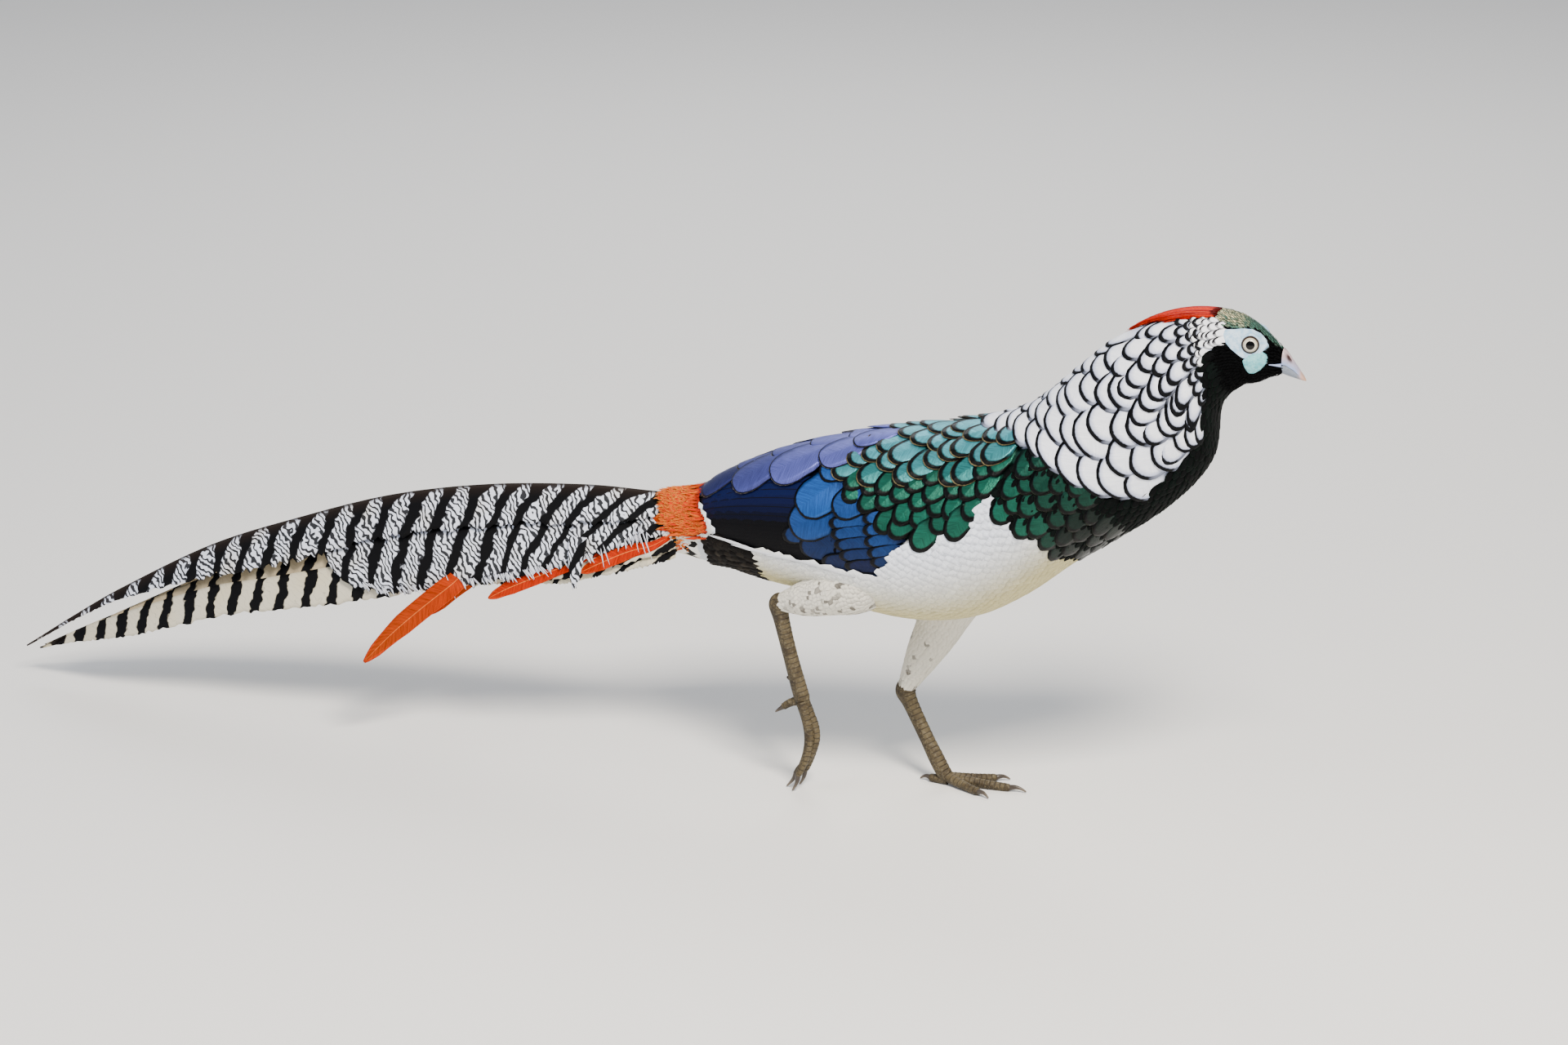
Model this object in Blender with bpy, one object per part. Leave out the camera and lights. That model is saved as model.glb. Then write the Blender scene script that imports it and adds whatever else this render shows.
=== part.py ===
"""Cock pheasant with a long barred tail, stepping forward: a still, life-size museum model.

Metres, +Z up.  The head points to +X and the bird's right side faces -Y; the mid plane is y = 0.
The origin lies on the floor below the middle of the bird's length.

The body is one form, a row of upright ovals from the rump to the bill.  A place on it is a station
(which oval, counted along the body) and a turn (degrees round the oval from the spine, positive on
the bird's right).  A lift is a height over that form, along its normal.  The body is parted where a
person would part it, and every feather is a thin vane laid from a station and turn to another.
"""
import math
import random

import bmesh
import bpy
from mathutils import Matrix, Vector

# Clearance between two nodes that touch, and the least half angle kept off the mid plane.
GAP = 0.0003
RIGHT, LEFT = 1, -1
SIDES = {"right": RIGHT, "left": LEFT}

# Body ovals from the rump forward: centre x and z, half height, half width, lean in degrees.
FIRST_STATION = -1
BODY_OVALS = (
    (0.036, 0.200, 0.026, 0.020, -12),
    (0.062, 0.200, 0.032, 0.025, -14),
    (0.084, 0.208, 0.040, 0.038, -7),
    (0.119, 0.214, 0.052, 0.050, -5),
    (0.160, 0.219, 0.062, 0.059, -5),
    (0.200, 0.220, 0.072, 0.065, -4),
    (0.241, 0.223, 0.078, 0.068, -6),
    (0.281, 0.231, 0.078, 0.069, -9),
    (0.318, 0.246, 0.072, 0.068, -11),
    (0.350, 0.267, 0.065, 0.064, -17),
    (0.378, 0.288, 0.065, 0.058, -21),
    (0.406, 0.311, 0.066, 0.052, -26),
    (0.431, 0.334, 0.064, 0.046, -29),
    (0.450, 0.354, 0.058, 0.041, -28),
    (0.462, 0.374, 0.044, 0.036, -24),
    (0.475, 0.384, 0.036, 0.030, -18),
    (0.491, 0.390, 0.030, 0.023, -16),
    (0.502, 0.390, 0.027, 0.0195, -12),
    (0.511, 0.389, 0.023, 0.0165, -11),
    (0.5185, 0.3875, 0.018, 0.013, -9),
    (0.525, 0.385, 0.014, 0.010, -7),
    (0.530, 0.383, 0.0102, 0.007, 0),
)
# Stations where the body is parted.
TORSO_REAR, TORSO_FRONT, NECK_FRONT, HEAD_FRONT = 0.0, 9.0, 14.3, 20.0

# How far round each side, in degrees, the wings, mantle and cape cover the body, by station.
COVER_EDGE = (
    (0.0, 95), (1.8, 106), (2.6, 114), (3.4, 117), (4.5, 113), (5.3, 92), (6.8, 86),
    (7.4, 98), (8.0, 126), (9.0, 136), (10.5, 138), (12.6, 137), (13.3, 116), (14.5, 74), (15.0, 47),
)
# How deep the flesh lies under what covers it, by station, and its depth under short feathers.
COVER_DEPTH = (
    (0.0, 0.0085), (5.1, 0.0090), (5.8, 0.0050), (7.6, 0.0055), (9.0, 0.0062), (10.5, 0.0045),
)
SHORT_DEPTH = 0.0015
EDGE_BLEND = 14.0
# The crest lies over the nape within this many degrees of the spine, between these stations.
CREST_TURN, CREST_FROM, CREST_TO, CREST_SINK = 46.0, (9.7, 10.7), (14.0, 14.7), 0.0034

RING_STEP, NECK_STEP, BODY_SIDES = 0.6, 0.66, 24

# A vane's half width along its length, as (share of the length, share of the half width).
ROUND_VANE = ((0.0, 0.30), (0.42, 1.0), (0.80, 0.92), (1.0, 0.34))
LONG_VANE = ((0.0, 0.40), (0.3, 0.95), (0.6, 1.0), (0.86, 0.74), (1.0, 0.20))
LOCK_VANE = ((0.0, 0.60), (0.45, 1.0), (1.0, 0.16))

VANE_THICKNESS = 0.0012
# A vane rises fast from its root and then levels out: its rise goes with this power of its length.
RISE_POWER = 0.65


def interpolate(table, value):
    """Return the value that a table of (place, value) pairs gives at a place, straight between."""
    if value <= table[0][0]:
        return table[0][1]
    for (start, low), (end, high) in zip(table, table[1:]):
        if value <= end:
            return low + (high - low) * (value - start) / (end - start)
    return table[-1][1]


def ease(value):
    """Return a smooth step from 0 to 1 for a value from 0 to 1."""
    value = min(max(value, 0.0), 1.0)
    return value * value * (3.0 - 2.0 * value)


def spline(rows, place):
    """Return the row at a place between rows of numbers, on a Catmull-Rom curve through them."""
    last = len(rows) - 1
    index = min(max(int(math.floor(place)), 0), last - 1)
    f = place - index
    if f < 0.0 or f > 1.0:
        a, b = rows[index], rows[index + 1]
        return [p + (q - p) * f for p, q in zip(a, b)]
    p0, p1 = rows[max(index - 1, 0)], rows[index]
    p2, p3 = rows[index + 1], rows[min(index + 2, last)]
    return [
        0.5 * (2 * b + (c - a) * f + (2 * a - 5 * b + 4 * c - d) * f * f + (3 * b - a - 3 * c + d) * f ** 3)
        for a, b, c, d in zip(p0, p1, p2, p3)
    ]


class BodyForm:
    """A row of upright ovals along the body, read smoothly between them."""

    STATION_STEP, TURN_STEP = 0.02, 0.5

    def __init__(self, ovals, first):
        self.ovals = ovals
        self.first = first

    def oval(self, station):
        """Return centre, up direction, half height and half width of the oval at a station."""
        x, z, height, width, lean = spline(self.ovals, station - self.first)
        lean = math.radians(lean)
        up = Vector((math.sin(lean), 0.0, math.cos(lean)))
        return Vector((x, 0.0, z)), up, height, width

    def forward(self, station):
        """Return the direction at right angles to the oval at a station, towards the head."""
        up = self.oval(station)[1]
        return Vector((up.z, 0.0, -up.x))

    def point(self, station, turn, lift=0.0):
        """Return the point at a station, turn and lift."""
        centre, up, height, width = self.oval(station)
        angle = math.radians(turn)
        across = Vector((0.0, -1.0, 0.0))
        out = Vector((math.sin(angle) / width, math.cos(angle) / height)).normalized()
        rise = height * math.cos(angle) + lift * out.y
        return centre + up * rise + across * (width * math.sin(angle) + lift * out.x)

    def slopes(self, station, turn):
        """Return how the surface point moves for one station and for one degree of turn."""
        s, t = self.STATION_STEP, self.TURN_STEP
        along = (self.point(station + s, turn) - self.point(station - s, turn)) / (2 * s)
        around = (self.point(station, turn + t) - self.point(station, turn - t)) / (2 * t)
        return along, around

    def sideways(self, station, turn, d_station, d_turn):
        """Return the move in station and turn for one metre across a path on the surface."""
        along, around = self.slopes(station, turn)
        path = along * d_station + around * d_turn
        across = along.cross(around).cross(path).normalized()
        a, b, c = along.dot(along), along.dot(around), around.dot(around)
        p, q = across.dot(along), across.dot(around)
        det = a * c - b * b
        return (p * c - q * b) / det, (q * a - p * b) / det


BODY = BodyForm(BODY_OVALS, FIRST_STATION)


def flesh_depth(station, turn):
    """Return how deep the flesh lies under the outline at a station and turn."""
    edge = interpolate(COVER_EDGE, station)
    share = ease((edge + EDGE_BLEND / 2 - abs(turn)) / EDGE_BLEND)
    depth = SHORT_DEPTH + (interpolate(COVER_DEPTH, station) - SHORT_DEPTH) * share
    if station > NECK_FRONT:
        depth = SHORT_DEPTH
    return depth + crest_sink(station, turn)


def crest_sink(station, turn):
    """Return how much lower the cape lies under the crest."""
    along = ease((station - CREST_FROM[0]) / (CREST_FROM[1] - CREST_FROM[0]))
    along *= 1.0 - ease((station - CREST_TO[0]) / (CREST_TO[1] - CREST_TO[0]))
    return CREST_SINK * along * ease(2.0 * (1.0 - abs(turn) / CREST_TURN))


# Making, joining and cutting of solids.
WELD = 0.000001


def new_collection(name):
    """Make a collection in the scene."""
    collection = bpy.data.collections.new(name)
    bpy.context.scene.collection.children.link(collection)
    return collection


def solid(name, points, faces, collection):
    """Make a closed mesh object with its faces pointing outwards."""
    mesh = bpy.data.meshes.new(name)
    mesh.from_pydata([tuple(p) for p in points], [], faces)
    bm = bmesh.new()
    bm.from_mesh(mesh)
    bmesh.ops.recalc_face_normals(bm, faces=bm.faces)
    bm.to_mesh(mesh)
    bm.free()
    obj = bpy.data.objects.new(name, mesh)
    collection.objects.link(obj)
    return obj


def loft(name, rings, collection):
    """Make a closed solid through rings of equal counts, with a flat cap on each end."""
    count = len(rings[0])
    points = [p for ring in rings for p in ring]
    faces = [list(range(count)), [len(points) - count + i for i in range(count)]]
    for row in range(len(rings) - 1):
        for i in range(count):
            a, b = row * count + i, row * count + (i + 1) % count
            faces += [[a, b, b + count], [a, b + count, a + count]]
    return solid(name, points, faces, collection)


def strip(name, sections, collection):
    """Make a thin solid through sections of paired points, split alike on both faces.

    Each section is a list of (under, upper) pairs across the vane, all of one length.
    """
    across = len(sections[0])
    points = [p for section in sections for pair in section for p in pair]

    def at(row, column, layer):
        return (row * across + column) * 2 + layer

    faces = []
    rows = len(sections) - 1
    for row in range(rows):
        for column in range(across - 1):
            for layer in (0, 1):
                a, b = at(row, column, layer), at(row, column + 1, layer)
                c, d = at(row + 1, column + 1, layer), at(row + 1, column, layer)
                faces += [[a, b, c], [a, c, d]]
        for column in (0, across - 1):
            a, b = at(row, column, 0), at(row, column, 1)
            c, d = at(row + 1, column, 1), at(row + 1, column, 0)
            faces += [[a, b, c], [a, c, d]]
    for row in (0, rows):
        for column in range(across - 1):
            a, b = at(row, column, 0), at(row, column + 1, 0)
            c, d = at(row, column + 1, 1), at(row, column, 1)
            faces += [[a, b, c], [a, c, d]]
    return solid(name, points, faces, collection)


def tube(name, path, sides, collection):
    """Make a round closed solid along a path of (point, radius) pairs."""
    points = [Vector(p) for p, _ in path]
    rings = []
    for index, (point, radius) in enumerate(path):
        ahead = points[min(index + 1, len(points) - 1)]
        behind = points[max(index - 1, 0)]
        along = (ahead - behind).normalized()
        side = along.cross(Vector((0.0, 1.0, 0.0)))
        if side.length < 0.3:
            side = along.cross(Vector((0.0, 0.0, 1.0)))
        side.normalize()
        other = along.cross(side)
        ring = []
        for k in range(sides):
            angle = 2.0 * math.pi * k / sides
            ring.append(Vector(point) + radius * (math.cos(angle) * side + math.sin(angle) * other))
        rings.append(ring)
    return loft(name, rings, collection)


def evaluated(obj):
    """Return a new mesh of an object as its modifiers leave it."""
    bpy.context.view_layer.update()
    graph = bpy.context.evaluated_depsgraph_get()
    return bpy.data.meshes.new_from_object(obj.evaluated_get(graph))


def is_closed(mesh):
    """Tell whether every edge of a mesh joins exactly two faces that face the same way."""
    bm = bmesh.new()
    bm.from_mesh(mesh)
    closed = all(edge.is_manifold and edge.is_contiguous for edge in bm.edges)
    bm.free()
    return closed


def boolean(obj, operation, collection):
    """Join to an object, or cut from it, all closed meshes of a collection, which is removed.

    The exact solver goes first, and the manifold one takes over where that leaves open edges.
    """
    modifier = obj.modifiers.new("boolean", "BOOLEAN")
    modifier.operation = operation
    modifier.operand_type = "COLLECTION"
    modifier.collection = collection
    modifier.solver = "EXACT"
    mesh = evaluated(obj)
    if not is_closed(mesh):
        modifier.solver = "MANIFOLD"
        mesh = evaluated(obj)
    obj.modifiers.clear()
    obj.data = mesh
    for other in list(collection.objects):
        bpy.data.objects.remove(other)
    bpy.data.collections.remove(collection)
    keep_largest(obj)


def keep_largest(obj):
    """Keep only the largest closed surface of an object's mesh."""
    bm = bmesh.new()
    bm.from_mesh(obj.data)
    bmesh.ops.triangulate(bm, faces=bm.faces)
    bmesh.ops.remove_doubles(bm, verts=bm.verts, dist=WELD)
    bmesh.ops.dissolve_degenerate(bm, edges=bm.edges, dist=WELD)
    bmesh.ops.triangulate(bm, faces=bm.faces)
    unseen = set(bm.faces)
    groups = []
    while unseen:
        stack = [unseen.pop()]
        group = set(stack)
        while stack:
            for edge in stack.pop().edges:
                for face in edge.link_faces:
                    if face in unseen:
                        unseen.remove(face)
                        group.add(face)
                        stack.append(face)
        groups.append(group)
    largest = max(groups, key=lambda group: sum(face.calc_area() for face in group))
    spare = [face for face in bm.faces if face not in largest]
    bmesh.ops.delete(bm, geom=spare, context="FACES")
    bm.to_mesh(obj.data)
    bm.free()


def finish(obj, parts, material):
    """Name an object's mesh, give it its material and put it among the parts."""
    for collection in list(obj.users_collection):
        collection.objects.unlink(obj)
    parts.objects.link(obj)
    obj.data.name = obj.name
    obj.data.materials.clear()
    obj.data.materials.append(material)
    obj.data.shade_smooth()
    obj.data.set_sharp_from_angle(angle=math.radians(40))
    return obj


def paint(name, colour, roughness, metallic=0.0):
    """Make a plain material with a colour, a roughness and a metallic value."""
    material = bpy.data.materials.new(name)
    material.use_nodes = True
    shader = material.node_tree.nodes["Principled BSDF"]
    shader.inputs["Base Color"].default_value = (*colour, 1.0)
    shader.inputs["Roughness"].default_value = roughness
    shader.inputs["Metallic"].default_value = metallic
    return material


# Cores and vanes on the body form.

def stations_between(start, end, step):
    """Return the stations of a core's rings, both ends included."""
    count = max(int(round((end - start) / step)), 1)
    return [start + (end - start) * i / count for i in range(count + 1)]


def body_core(name, start, end, collection, lift=0.0, step=RING_STEP, sides=BODY_SIDES):
    """Make a length of the body's flesh, its front end held back by the gap between nodes."""
    rings = []
    stations = stations_between(start, end, step)
    for station in stations:
        ring = []
        for k in range(sides):
            turn = -180.0 + 360.0 * k / sides
            ring.append(BODY.point(station, turn, lift - flesh_depth(station, turn)))
        rings.append(ring)
    back = BODY.forward(end) * -GAP
    rings[-1] = [point + back for point in rings[-1]]
    return loft(name, rings, collection)


def body_vane(
    name, root, tip, width, lifts, collection, profile=ROUND_VANE, roll=0.0, limits=(-180.0, 180.0),
):
    """Lay a vane on the body.

    root and tip are (station, turn), lifts the heights of its middle at the root and the tip, roll
    how much higher its lower edge lies than its upper one, limits the turns its edges stay between.
    """
    downward = -1.0 if root[1] > 0 else 1.0
    d_station, d_turn = tip[0] - root[0], tip[1] - root[1]
    sections = []
    for share, part in profile:
        station = root[0] + d_station * share
        turn = root[1] + d_turn * share
        lift = lifts[0] + (lifts[1] - lifts[0]) * share ** RISE_POWER - crest_sink(station, turn)
        move = BODY.sideways(station, turn, d_station, d_turn)
        half = 0.5 * width * part
        thick = VANE_THICKNESS * (1.0 - 0.4 * share)
        pairs = []
        for side in (-1.0, 1.0):
            edge_station = station + side * half * move[0]
            edge_turn = min(max(turn + side * half * move[1], limits[0]), limits[1])
            edge_lift = lift + side * downward * 0.5 * roll * part
            under = BODY.point(edge_station, edge_turn, edge_lift - thick / 2)
            upper = BODY.point(edge_station, edge_turn, edge_lift + thick / 2)
            pairs.append((under, upper))
        sections.append(pairs)
    return strip(name, sections, collection)


# Mantle: rows of rounded vanes over the back, shoulders and sides of the breast.
MANTLE_ROWS = (
    # root station, reach in stations, vanes each side, turn that the row runs down to
    (8.35, 1.45, 4, 112),
    (7.60, 1.40, 4, 100),
    (6.85, 1.35, 4, 86),
    (6.15, 1.30, 3, 84),
    (5.55, 1.20, 4, 86),
)
MANTLE_LIFTS = (-0.0085, 0.0008)
MANTLE_DRIFT = 7.0
MANTLE_WIDTH = 0.92
SEED_MANTLE, SEED_CAPE, SEED_WING, SEED_RUMP, SEED_CREST = 11, 23, 37, 41, 53


def row_width(station, first_turn, last_turn, count):
    """Return the distance between the middles of neighbouring vanes in a row."""
    around = BODY.slopes(station, (first_turn + last_turn) / 2)[1]
    return around.length * (last_turn - first_turn) / count


def make_torso(parts, material):
    """Make the body between rump and neck, with the mantle's vanes."""
    work = new_collection("torso work")
    torso = body_core("torso", TORSO_REAR, TORSO_FRONT, work)
    rand = random.Random(SEED_MANTLE)
    vanes = new_collection("mantle vanes")
    for row, (station, reach, count, edge) in enumerate(MANTLE_ROWS):
        pitch = 2.0 * edge / (2 * count + 1)
        width = row_width(station, 0, edge, edge / pitch) * MANTLE_WIDTH
        offset = 0.5 * pitch if row % 2 else 0.0
        turns = [offset + pitch * k for k in range(-count, count + (0 if row % 2 else 1))]
        for k, turn in enumerate(turns):
            sign = 1.0 if turn > 0 else -1.0
            drift = MANTLE_DRIFT * sign * min(abs(turn) / 30.0, 1.0)
            length = reach * rand.uniform(0.94, 1.04)
            lift = rand.uniform(-0.0003, 0.0003)
            body_vane(
                f"mantle {row} {k}", (station, turn - drift), (station - length, turn + drift), width,
                (MANTLE_LIFTS[0], MANTLE_LIFTS[1] + lift), vanes,
            )
    boolean(torso, "UNION", vanes)
    finish(torso, parts, material)
    bpy.data.collections.remove(work)


# Cape: rows of scallops from the nape over the neck and shoulders, longer towards the rear.
CAPE_ROWS = (
    # root station, reach in stations at the spine, vanes each side, turn of the last vane's edge
    (13.95, 1.00, 3, 84),
    (13.40, 1.20, 3, 106),
    (12.75, 1.45, 4, 122),
    (12.05, 1.55, 4, 128),
    (11.35, 1.60, 4, 128),
    (10.65, 1.60, 4, 126),
    (10.0, 1.75, 4, 120),
    (9.55, 2.15, 4, 110),
)
CAPE_LIFTS = (-0.0075, 0.0016)
CAPE_DRIFT = 11.0
CAPE_WIDTH = 0.90


def make_neck(parts, material):
    """Make the neck with the cape's scallops."""
    work = new_collection("neck work")
    neck = body_core("neck", TORSO_FRONT, NECK_FRONT, work, step=NECK_STEP)
    rand = random.Random(SEED_CAPE)
    vanes = new_collection("cape vanes")
    for row, (station, reach, count, edge) in enumerate(CAPE_ROWS):
        pitch = 2.0 * edge / (2 * count + 1)
        offset = 0.5 * pitch if row % 2 else 0.0
        turns = [offset + pitch * k for k in range(-count, count + (0 if row % 2 else 1))]
        width = row_width(station - reach / 2, 0, edge, edge / pitch) * CAPE_WIDTH
        for k, turn in enumerate(turns):
            sign = 1.0 if turn > 0 else -1.0
            share = abs(turn) / edge
            drift = CAPE_DRIFT * sign * min(abs(turn) / 30.0, 1.0)
            length = reach * (1.0 - 0.35 * share) * rand.uniform(0.95, 1.04)
            lift = rand.uniform(-0.0002, 0.0003)
            body_vane(
                f"cape {row} {k}", (station, turn * 0.97), (station - length, turn + drift), width,
                (CAPE_LIFTS[0], CAPE_LIFTS[1] + lift), vanes,
            )
    boolean(neck, "UNION", vanes)
    finish(neck, parts, material)
    bpy.data.collections.remove(work)


# Folded wings.  Each is a shallow shell on the flank, with its feathers laid over it in tiers.
WING_STATIONS = (2.95, 5.05)
WING_SHELL = (-0.0042, -0.0135)
WING_TOP_TURN = 2.2
WING_THINNING = 0.0035
WING_TIERS = (
    # name, profile, count, width, lifts, roll, then root, tip and the steps to the next root and tip
    ("flight", LONG_VANE, 5, 0.018, (-0.0068, -0.0052), 0.0042,
     (3.5, 100), (0.9, 94), (-0.05, -9.5), (-0.10, -11.0)),
    ("blue low", ROUND_VANE, 3, 0.0285, (-0.0070, -0.0022), 0.0,
     (4.2, 99), (2.45, 103), (-0.05, -27.0), (-0.05, -27.0)),
    ("blue high", ROUND_VANE, 3, 0.0285, (-0.0070, -0.0010), 0.0,
     (4.75, 88), (3.25, 93), (0.0, -27.0), (0.0, -27.0)),
    ("tertial", LONG_VANE, 4, 0.022, (-0.0062, -0.0026), 0.0044,
     (3.3, 44), (0.9, 48), (0.0, -10.0), (-0.25, -10.0)),
)


def make_wing(name, side, parts, material):
    """Make one folded wing: its shell, cut clear of the torso, and its feathers in tiers."""
    work = new_collection("wing work")
    start, end = WING_STATIONS
    upper, under = WING_SHELL
    rings = []
    for station in stations_between(start, end, 0.7):
        edge = interpolate(COVER_EDGE, station) - 7.0
        turns = [WING_TOP_TURN + (edge - WING_TOP_TURN) * k / 6 for k in range(7)]
        thin = WING_THINNING * ease((station - 4.2) / 0.9)
        outer = [BODY.point(station, side * turn, upper - thin) for turn in turns]
        inner = [BODY.point(station, side * turn, under) for turn in reversed(turns)]
        rings.append(outer + inner)
    wing = loft(name, rings, work)
    rand = random.Random(SEED_WING + side)
    vanes = new_collection("wing vanes")
    for tier, (label, profile, count, width, lifts, roll, *places) in enumerate(WING_TIERS):
        root, tip, step_root, step_tip = places
        for k in range(count):
            root_at = (root[0] + step_root[0] * k, root[1] + step_root[1] * k)
            tip_at = (tip[0] + step_tip[0] * k + rand.uniform(-0.05, 0.05), tip[1] + step_tip[1] * k)
            least = WING_TOP_TURN + 0.25 * k + 0.4 * tier
            limits = (least, 150.0) if side == RIGHT else (-150.0, -least)
            body_vane(
                f"{label} {k}", (root_at[0], side * root_at[1]), (tip_at[0], side * tip_at[1]), width,
                lifts, vanes, profile=profile, roll=roll, limits=limits,
            )
    boolean(wing, "UNION", vanes)
    cutters = new_collection("wing cutters")
    body_core("torso with gap", TORSO_REAR, TORSO_FRONT, cutters, lift=GAP)
    boolean(wing, "DIFFERENCE", cutters)
    finish(wing, parts, material)
    bpy.data.collections.remove(work)


# Tail: an arch over a curved ridge.  A place on it is a place along the ridge, a distance down the
# slope of one side, and a depth under the top feathers.
TAIL_RIDGE = (
    (0.0135, 0.2235),
    (-0.044, 0.2225),
    (-0.127, 0.2135),
    (-0.211, 0.1955),
    (-0.294, 0.1670),
    (-0.373, 0.1350),
    (-0.455, 0.0890),
    (-0.502, 0.0585),
    (-0.5485, 0.0260),
)
TAIL_SLOPE_TOP, TAIL_SLOPE_TURN = math.radians(40), math.radians(35) / 0.080
TAIL_THICKNESS = 0.0011
TAIL_END = 8.0


def tail_point(place, down, depth, side):
    """Return the point on the tail's arch at a place along the ridge, a way down and a depth."""
    x, z = spline(TAIL_RIDGE, place)
    ahead, behind = spline(TAIL_RIDGE, place + 0.05), spline(TAIL_RIDGE, place - 0.05)
    along = Vector((ahead[0] - behind[0], 0.0, ahead[1] - behind[1])).normalized()
    up = Vector((along.z, 0.0, -along.x))
    slope = TAIL_SLOPE_TOP + TAIL_SLOPE_TURN * down
    out = Vector((0.0, -side, 0.0))
    reach = (math.sin(slope) - math.sin(TAIL_SLOPE_TOP)) / TAIL_SLOPE_TURN
    drop = (math.cos(TAIL_SLOPE_TOP) - math.cos(slope)) / TAIL_SLOPE_TURN
    normal = up * math.cos(slope) + out * math.sin(slope)
    return Vector((x, 0.0, z)) + out * reach - up * drop - normal * depth


# Central pair: half width of the vane by place along the ridge.
CENTRE_HALF = (
    (0.0, 0.012), (1.0, 0.032), (3.0, 0.038), (5.0, 0.034), (6.5, 0.022), (7.5, 0.010), (8.0, 0.0022),
)
CENTRE_DEPTHS = (-0.0004, 0.0022)
CENTRE_ENDS = (TAIL_END, 7.6)
CENTRE_BLOCK = 0.0085
CENTRE_PLACES = (0.5, 1.0, 1.8, 2.6, 3.4, 4.2, 5.0, 5.8, 6.5, 7.1, 7.5)
# Side feathers: end place, way down of the middle at the root, at mid length and at the tip,
# half width, depth under the top feathers.
SIDE_FEATHERS = (
    (7.2, (0.016, 0.043, 0.022), 0.0170, 0.0055),
    (7.7, (0.021, 0.062, 0.016), 0.0175, 0.0079),
    (5.2, (0.026, 0.066, 0.060), 0.0170, 0.0103),
    (3.6, (0.030, 0.058, 0.062), 0.0160, 0.0127),
    (2.4, (0.034, 0.052, 0.050), 0.0150, 0.0151),
)
SIDE_PROFILE = ((0.0, 0.30), (0.12, 0.62), (0.3, 1.0), (0.7, 0.95), (0.9, 0.62), (1.0, 0.10))
SIDE_MIDDLE = 0.55
SIDE_BLOCK = ((0.0115, 0.0052), (0.034, 0.0052), (0.040, 0.0165), (0.0285, 0.0165))
SIDE_BLOCK_START, TAIL_BLOCK_END = 0.03, 0.22


def make_tail_centre(parts, material):
    """Make the two central tail feathers, one over the other, joined at their root."""
    work = new_collection("tail work")
    block = []
    for place in (0.0, TAIL_BLOCK_END):
        ring = [tail_point(place, CENTRE_BLOCK, 0.0002, side) for side in (RIGHT, LEFT)]
        ring += [tail_point(place, CENTRE_BLOCK, 0.0028, side) for side in (LEFT, RIGHT)]
        block.append(ring)
    tail = loft("tail_centre", block, work)
    vanes = new_collection("central feathers")
    for k, (depth, end) in enumerate(zip(CENTRE_DEPTHS, CENTRE_ENDS)):
        sections = []
        for place in [0.06 + 0.02 * k] + [place for place in CENTRE_PLACES if place < end] + [end]:
            half = interpolate(CENTRE_HALF, place * TAIL_END / end)
            thick = TAIL_THICKNESS * (1.0 - 0.04 * place)
            pairs = []
            for down, side in ((half, RIGHT), (0.0, RIGHT), (half, LEFT)):
                under = tail_point(place, down, depth + thick, side)
                pairs.append((under, tail_point(place, down, depth, side)))
            sections.append(pairs)
        strip(f"central feather {k}", sections, vanes)
    boolean(tail, "UNION", vanes)
    finish(tail, parts, material)
    bpy.data.collections.remove(work)


def make_tail_side(name, side, parts, material):
    """Make one side's graded tail feathers, joined at their root."""
    work = new_collection("tail side work")
    rings = []
    for place in (SIDE_BLOCK_START, TAIL_BLOCK_END):
        rings.append([tail_point(place, down, depth, side) for down, depth in SIDE_BLOCK])
    tail = loft(name, rings, work)
    vanes = new_collection("side feathers")
    for k, (end, downs, half, depth) in enumerate(SIDE_FEATHERS):
        sections = []
        start = 0.05 + 0.01 * k
        fractions = [0.0, 0.08, 0.2, 0.36, 0.52, 0.68, 0.82, 0.93, 1.0]
        for share in fractions:
            place = start + (end - start) * share
            first, middle, last = downs
            if share < SIDE_MIDDLE:
                down = first + (middle - first) * ease(0.5 + 0.5 * share / SIDE_MIDDLE) * 2 - (middle - first)
            else:
                down = middle + (last - middle) * ease((share - SIDE_MIDDLE) / (1.0 - SIDE_MIDDLE))
            width = half * interpolate(SIDE_PROFILE, share)
            thick = TAIL_THICKNESS * (1.0 - 0.3 * share)
            pairs = []
            for edge in (-1.0, 1.0):
                place_down = down + edge * width
                under = tail_point(place, place_down, depth + thick, side)
                pairs.append((under, tail_point(place, place_down, depth, side)))
            sections.append(pairs)
        strip(f"side feather {k}", sections, vanes)
    boolean(tail, "UNION", vanes)
    finish(tail, parts, material)
    bpy.data.collections.remove(work)


# Rump: a short core behind the torso with a ring of tufts.  Its ovals: x, z, half height, half width.
RUMP_OVALS = (
    (0.014, 0.2000, 0.0240, 0.0200),
    (0.036, 0.2000, 0.0228, 0.0182),
    (0.0605, 0.2000, 0.0235, 0.0170),
)
RUMP_SIDES = 20
TUFT_ROWS = (
    # root x, tip x, lift of the tip over the core, tufts in the row, width
    (0.054, 0.021, 0.0085, 8, 0.0146),
    (0.040, 0.000, 0.0060, 7, 0.0158),
)
TUFT_ROOT_LIFT, TUFT_HALF_THICKNESS, TUFT_ROUND = -0.0035, 0.0006, 0.022
# Tufts below these degrees from the spine are this much longer.
UNDERTAIL_FROM, UNDERTAIL_BLEND, UNDERTAIL_EXTRA = 110.0, 40.0, 0.35

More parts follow.
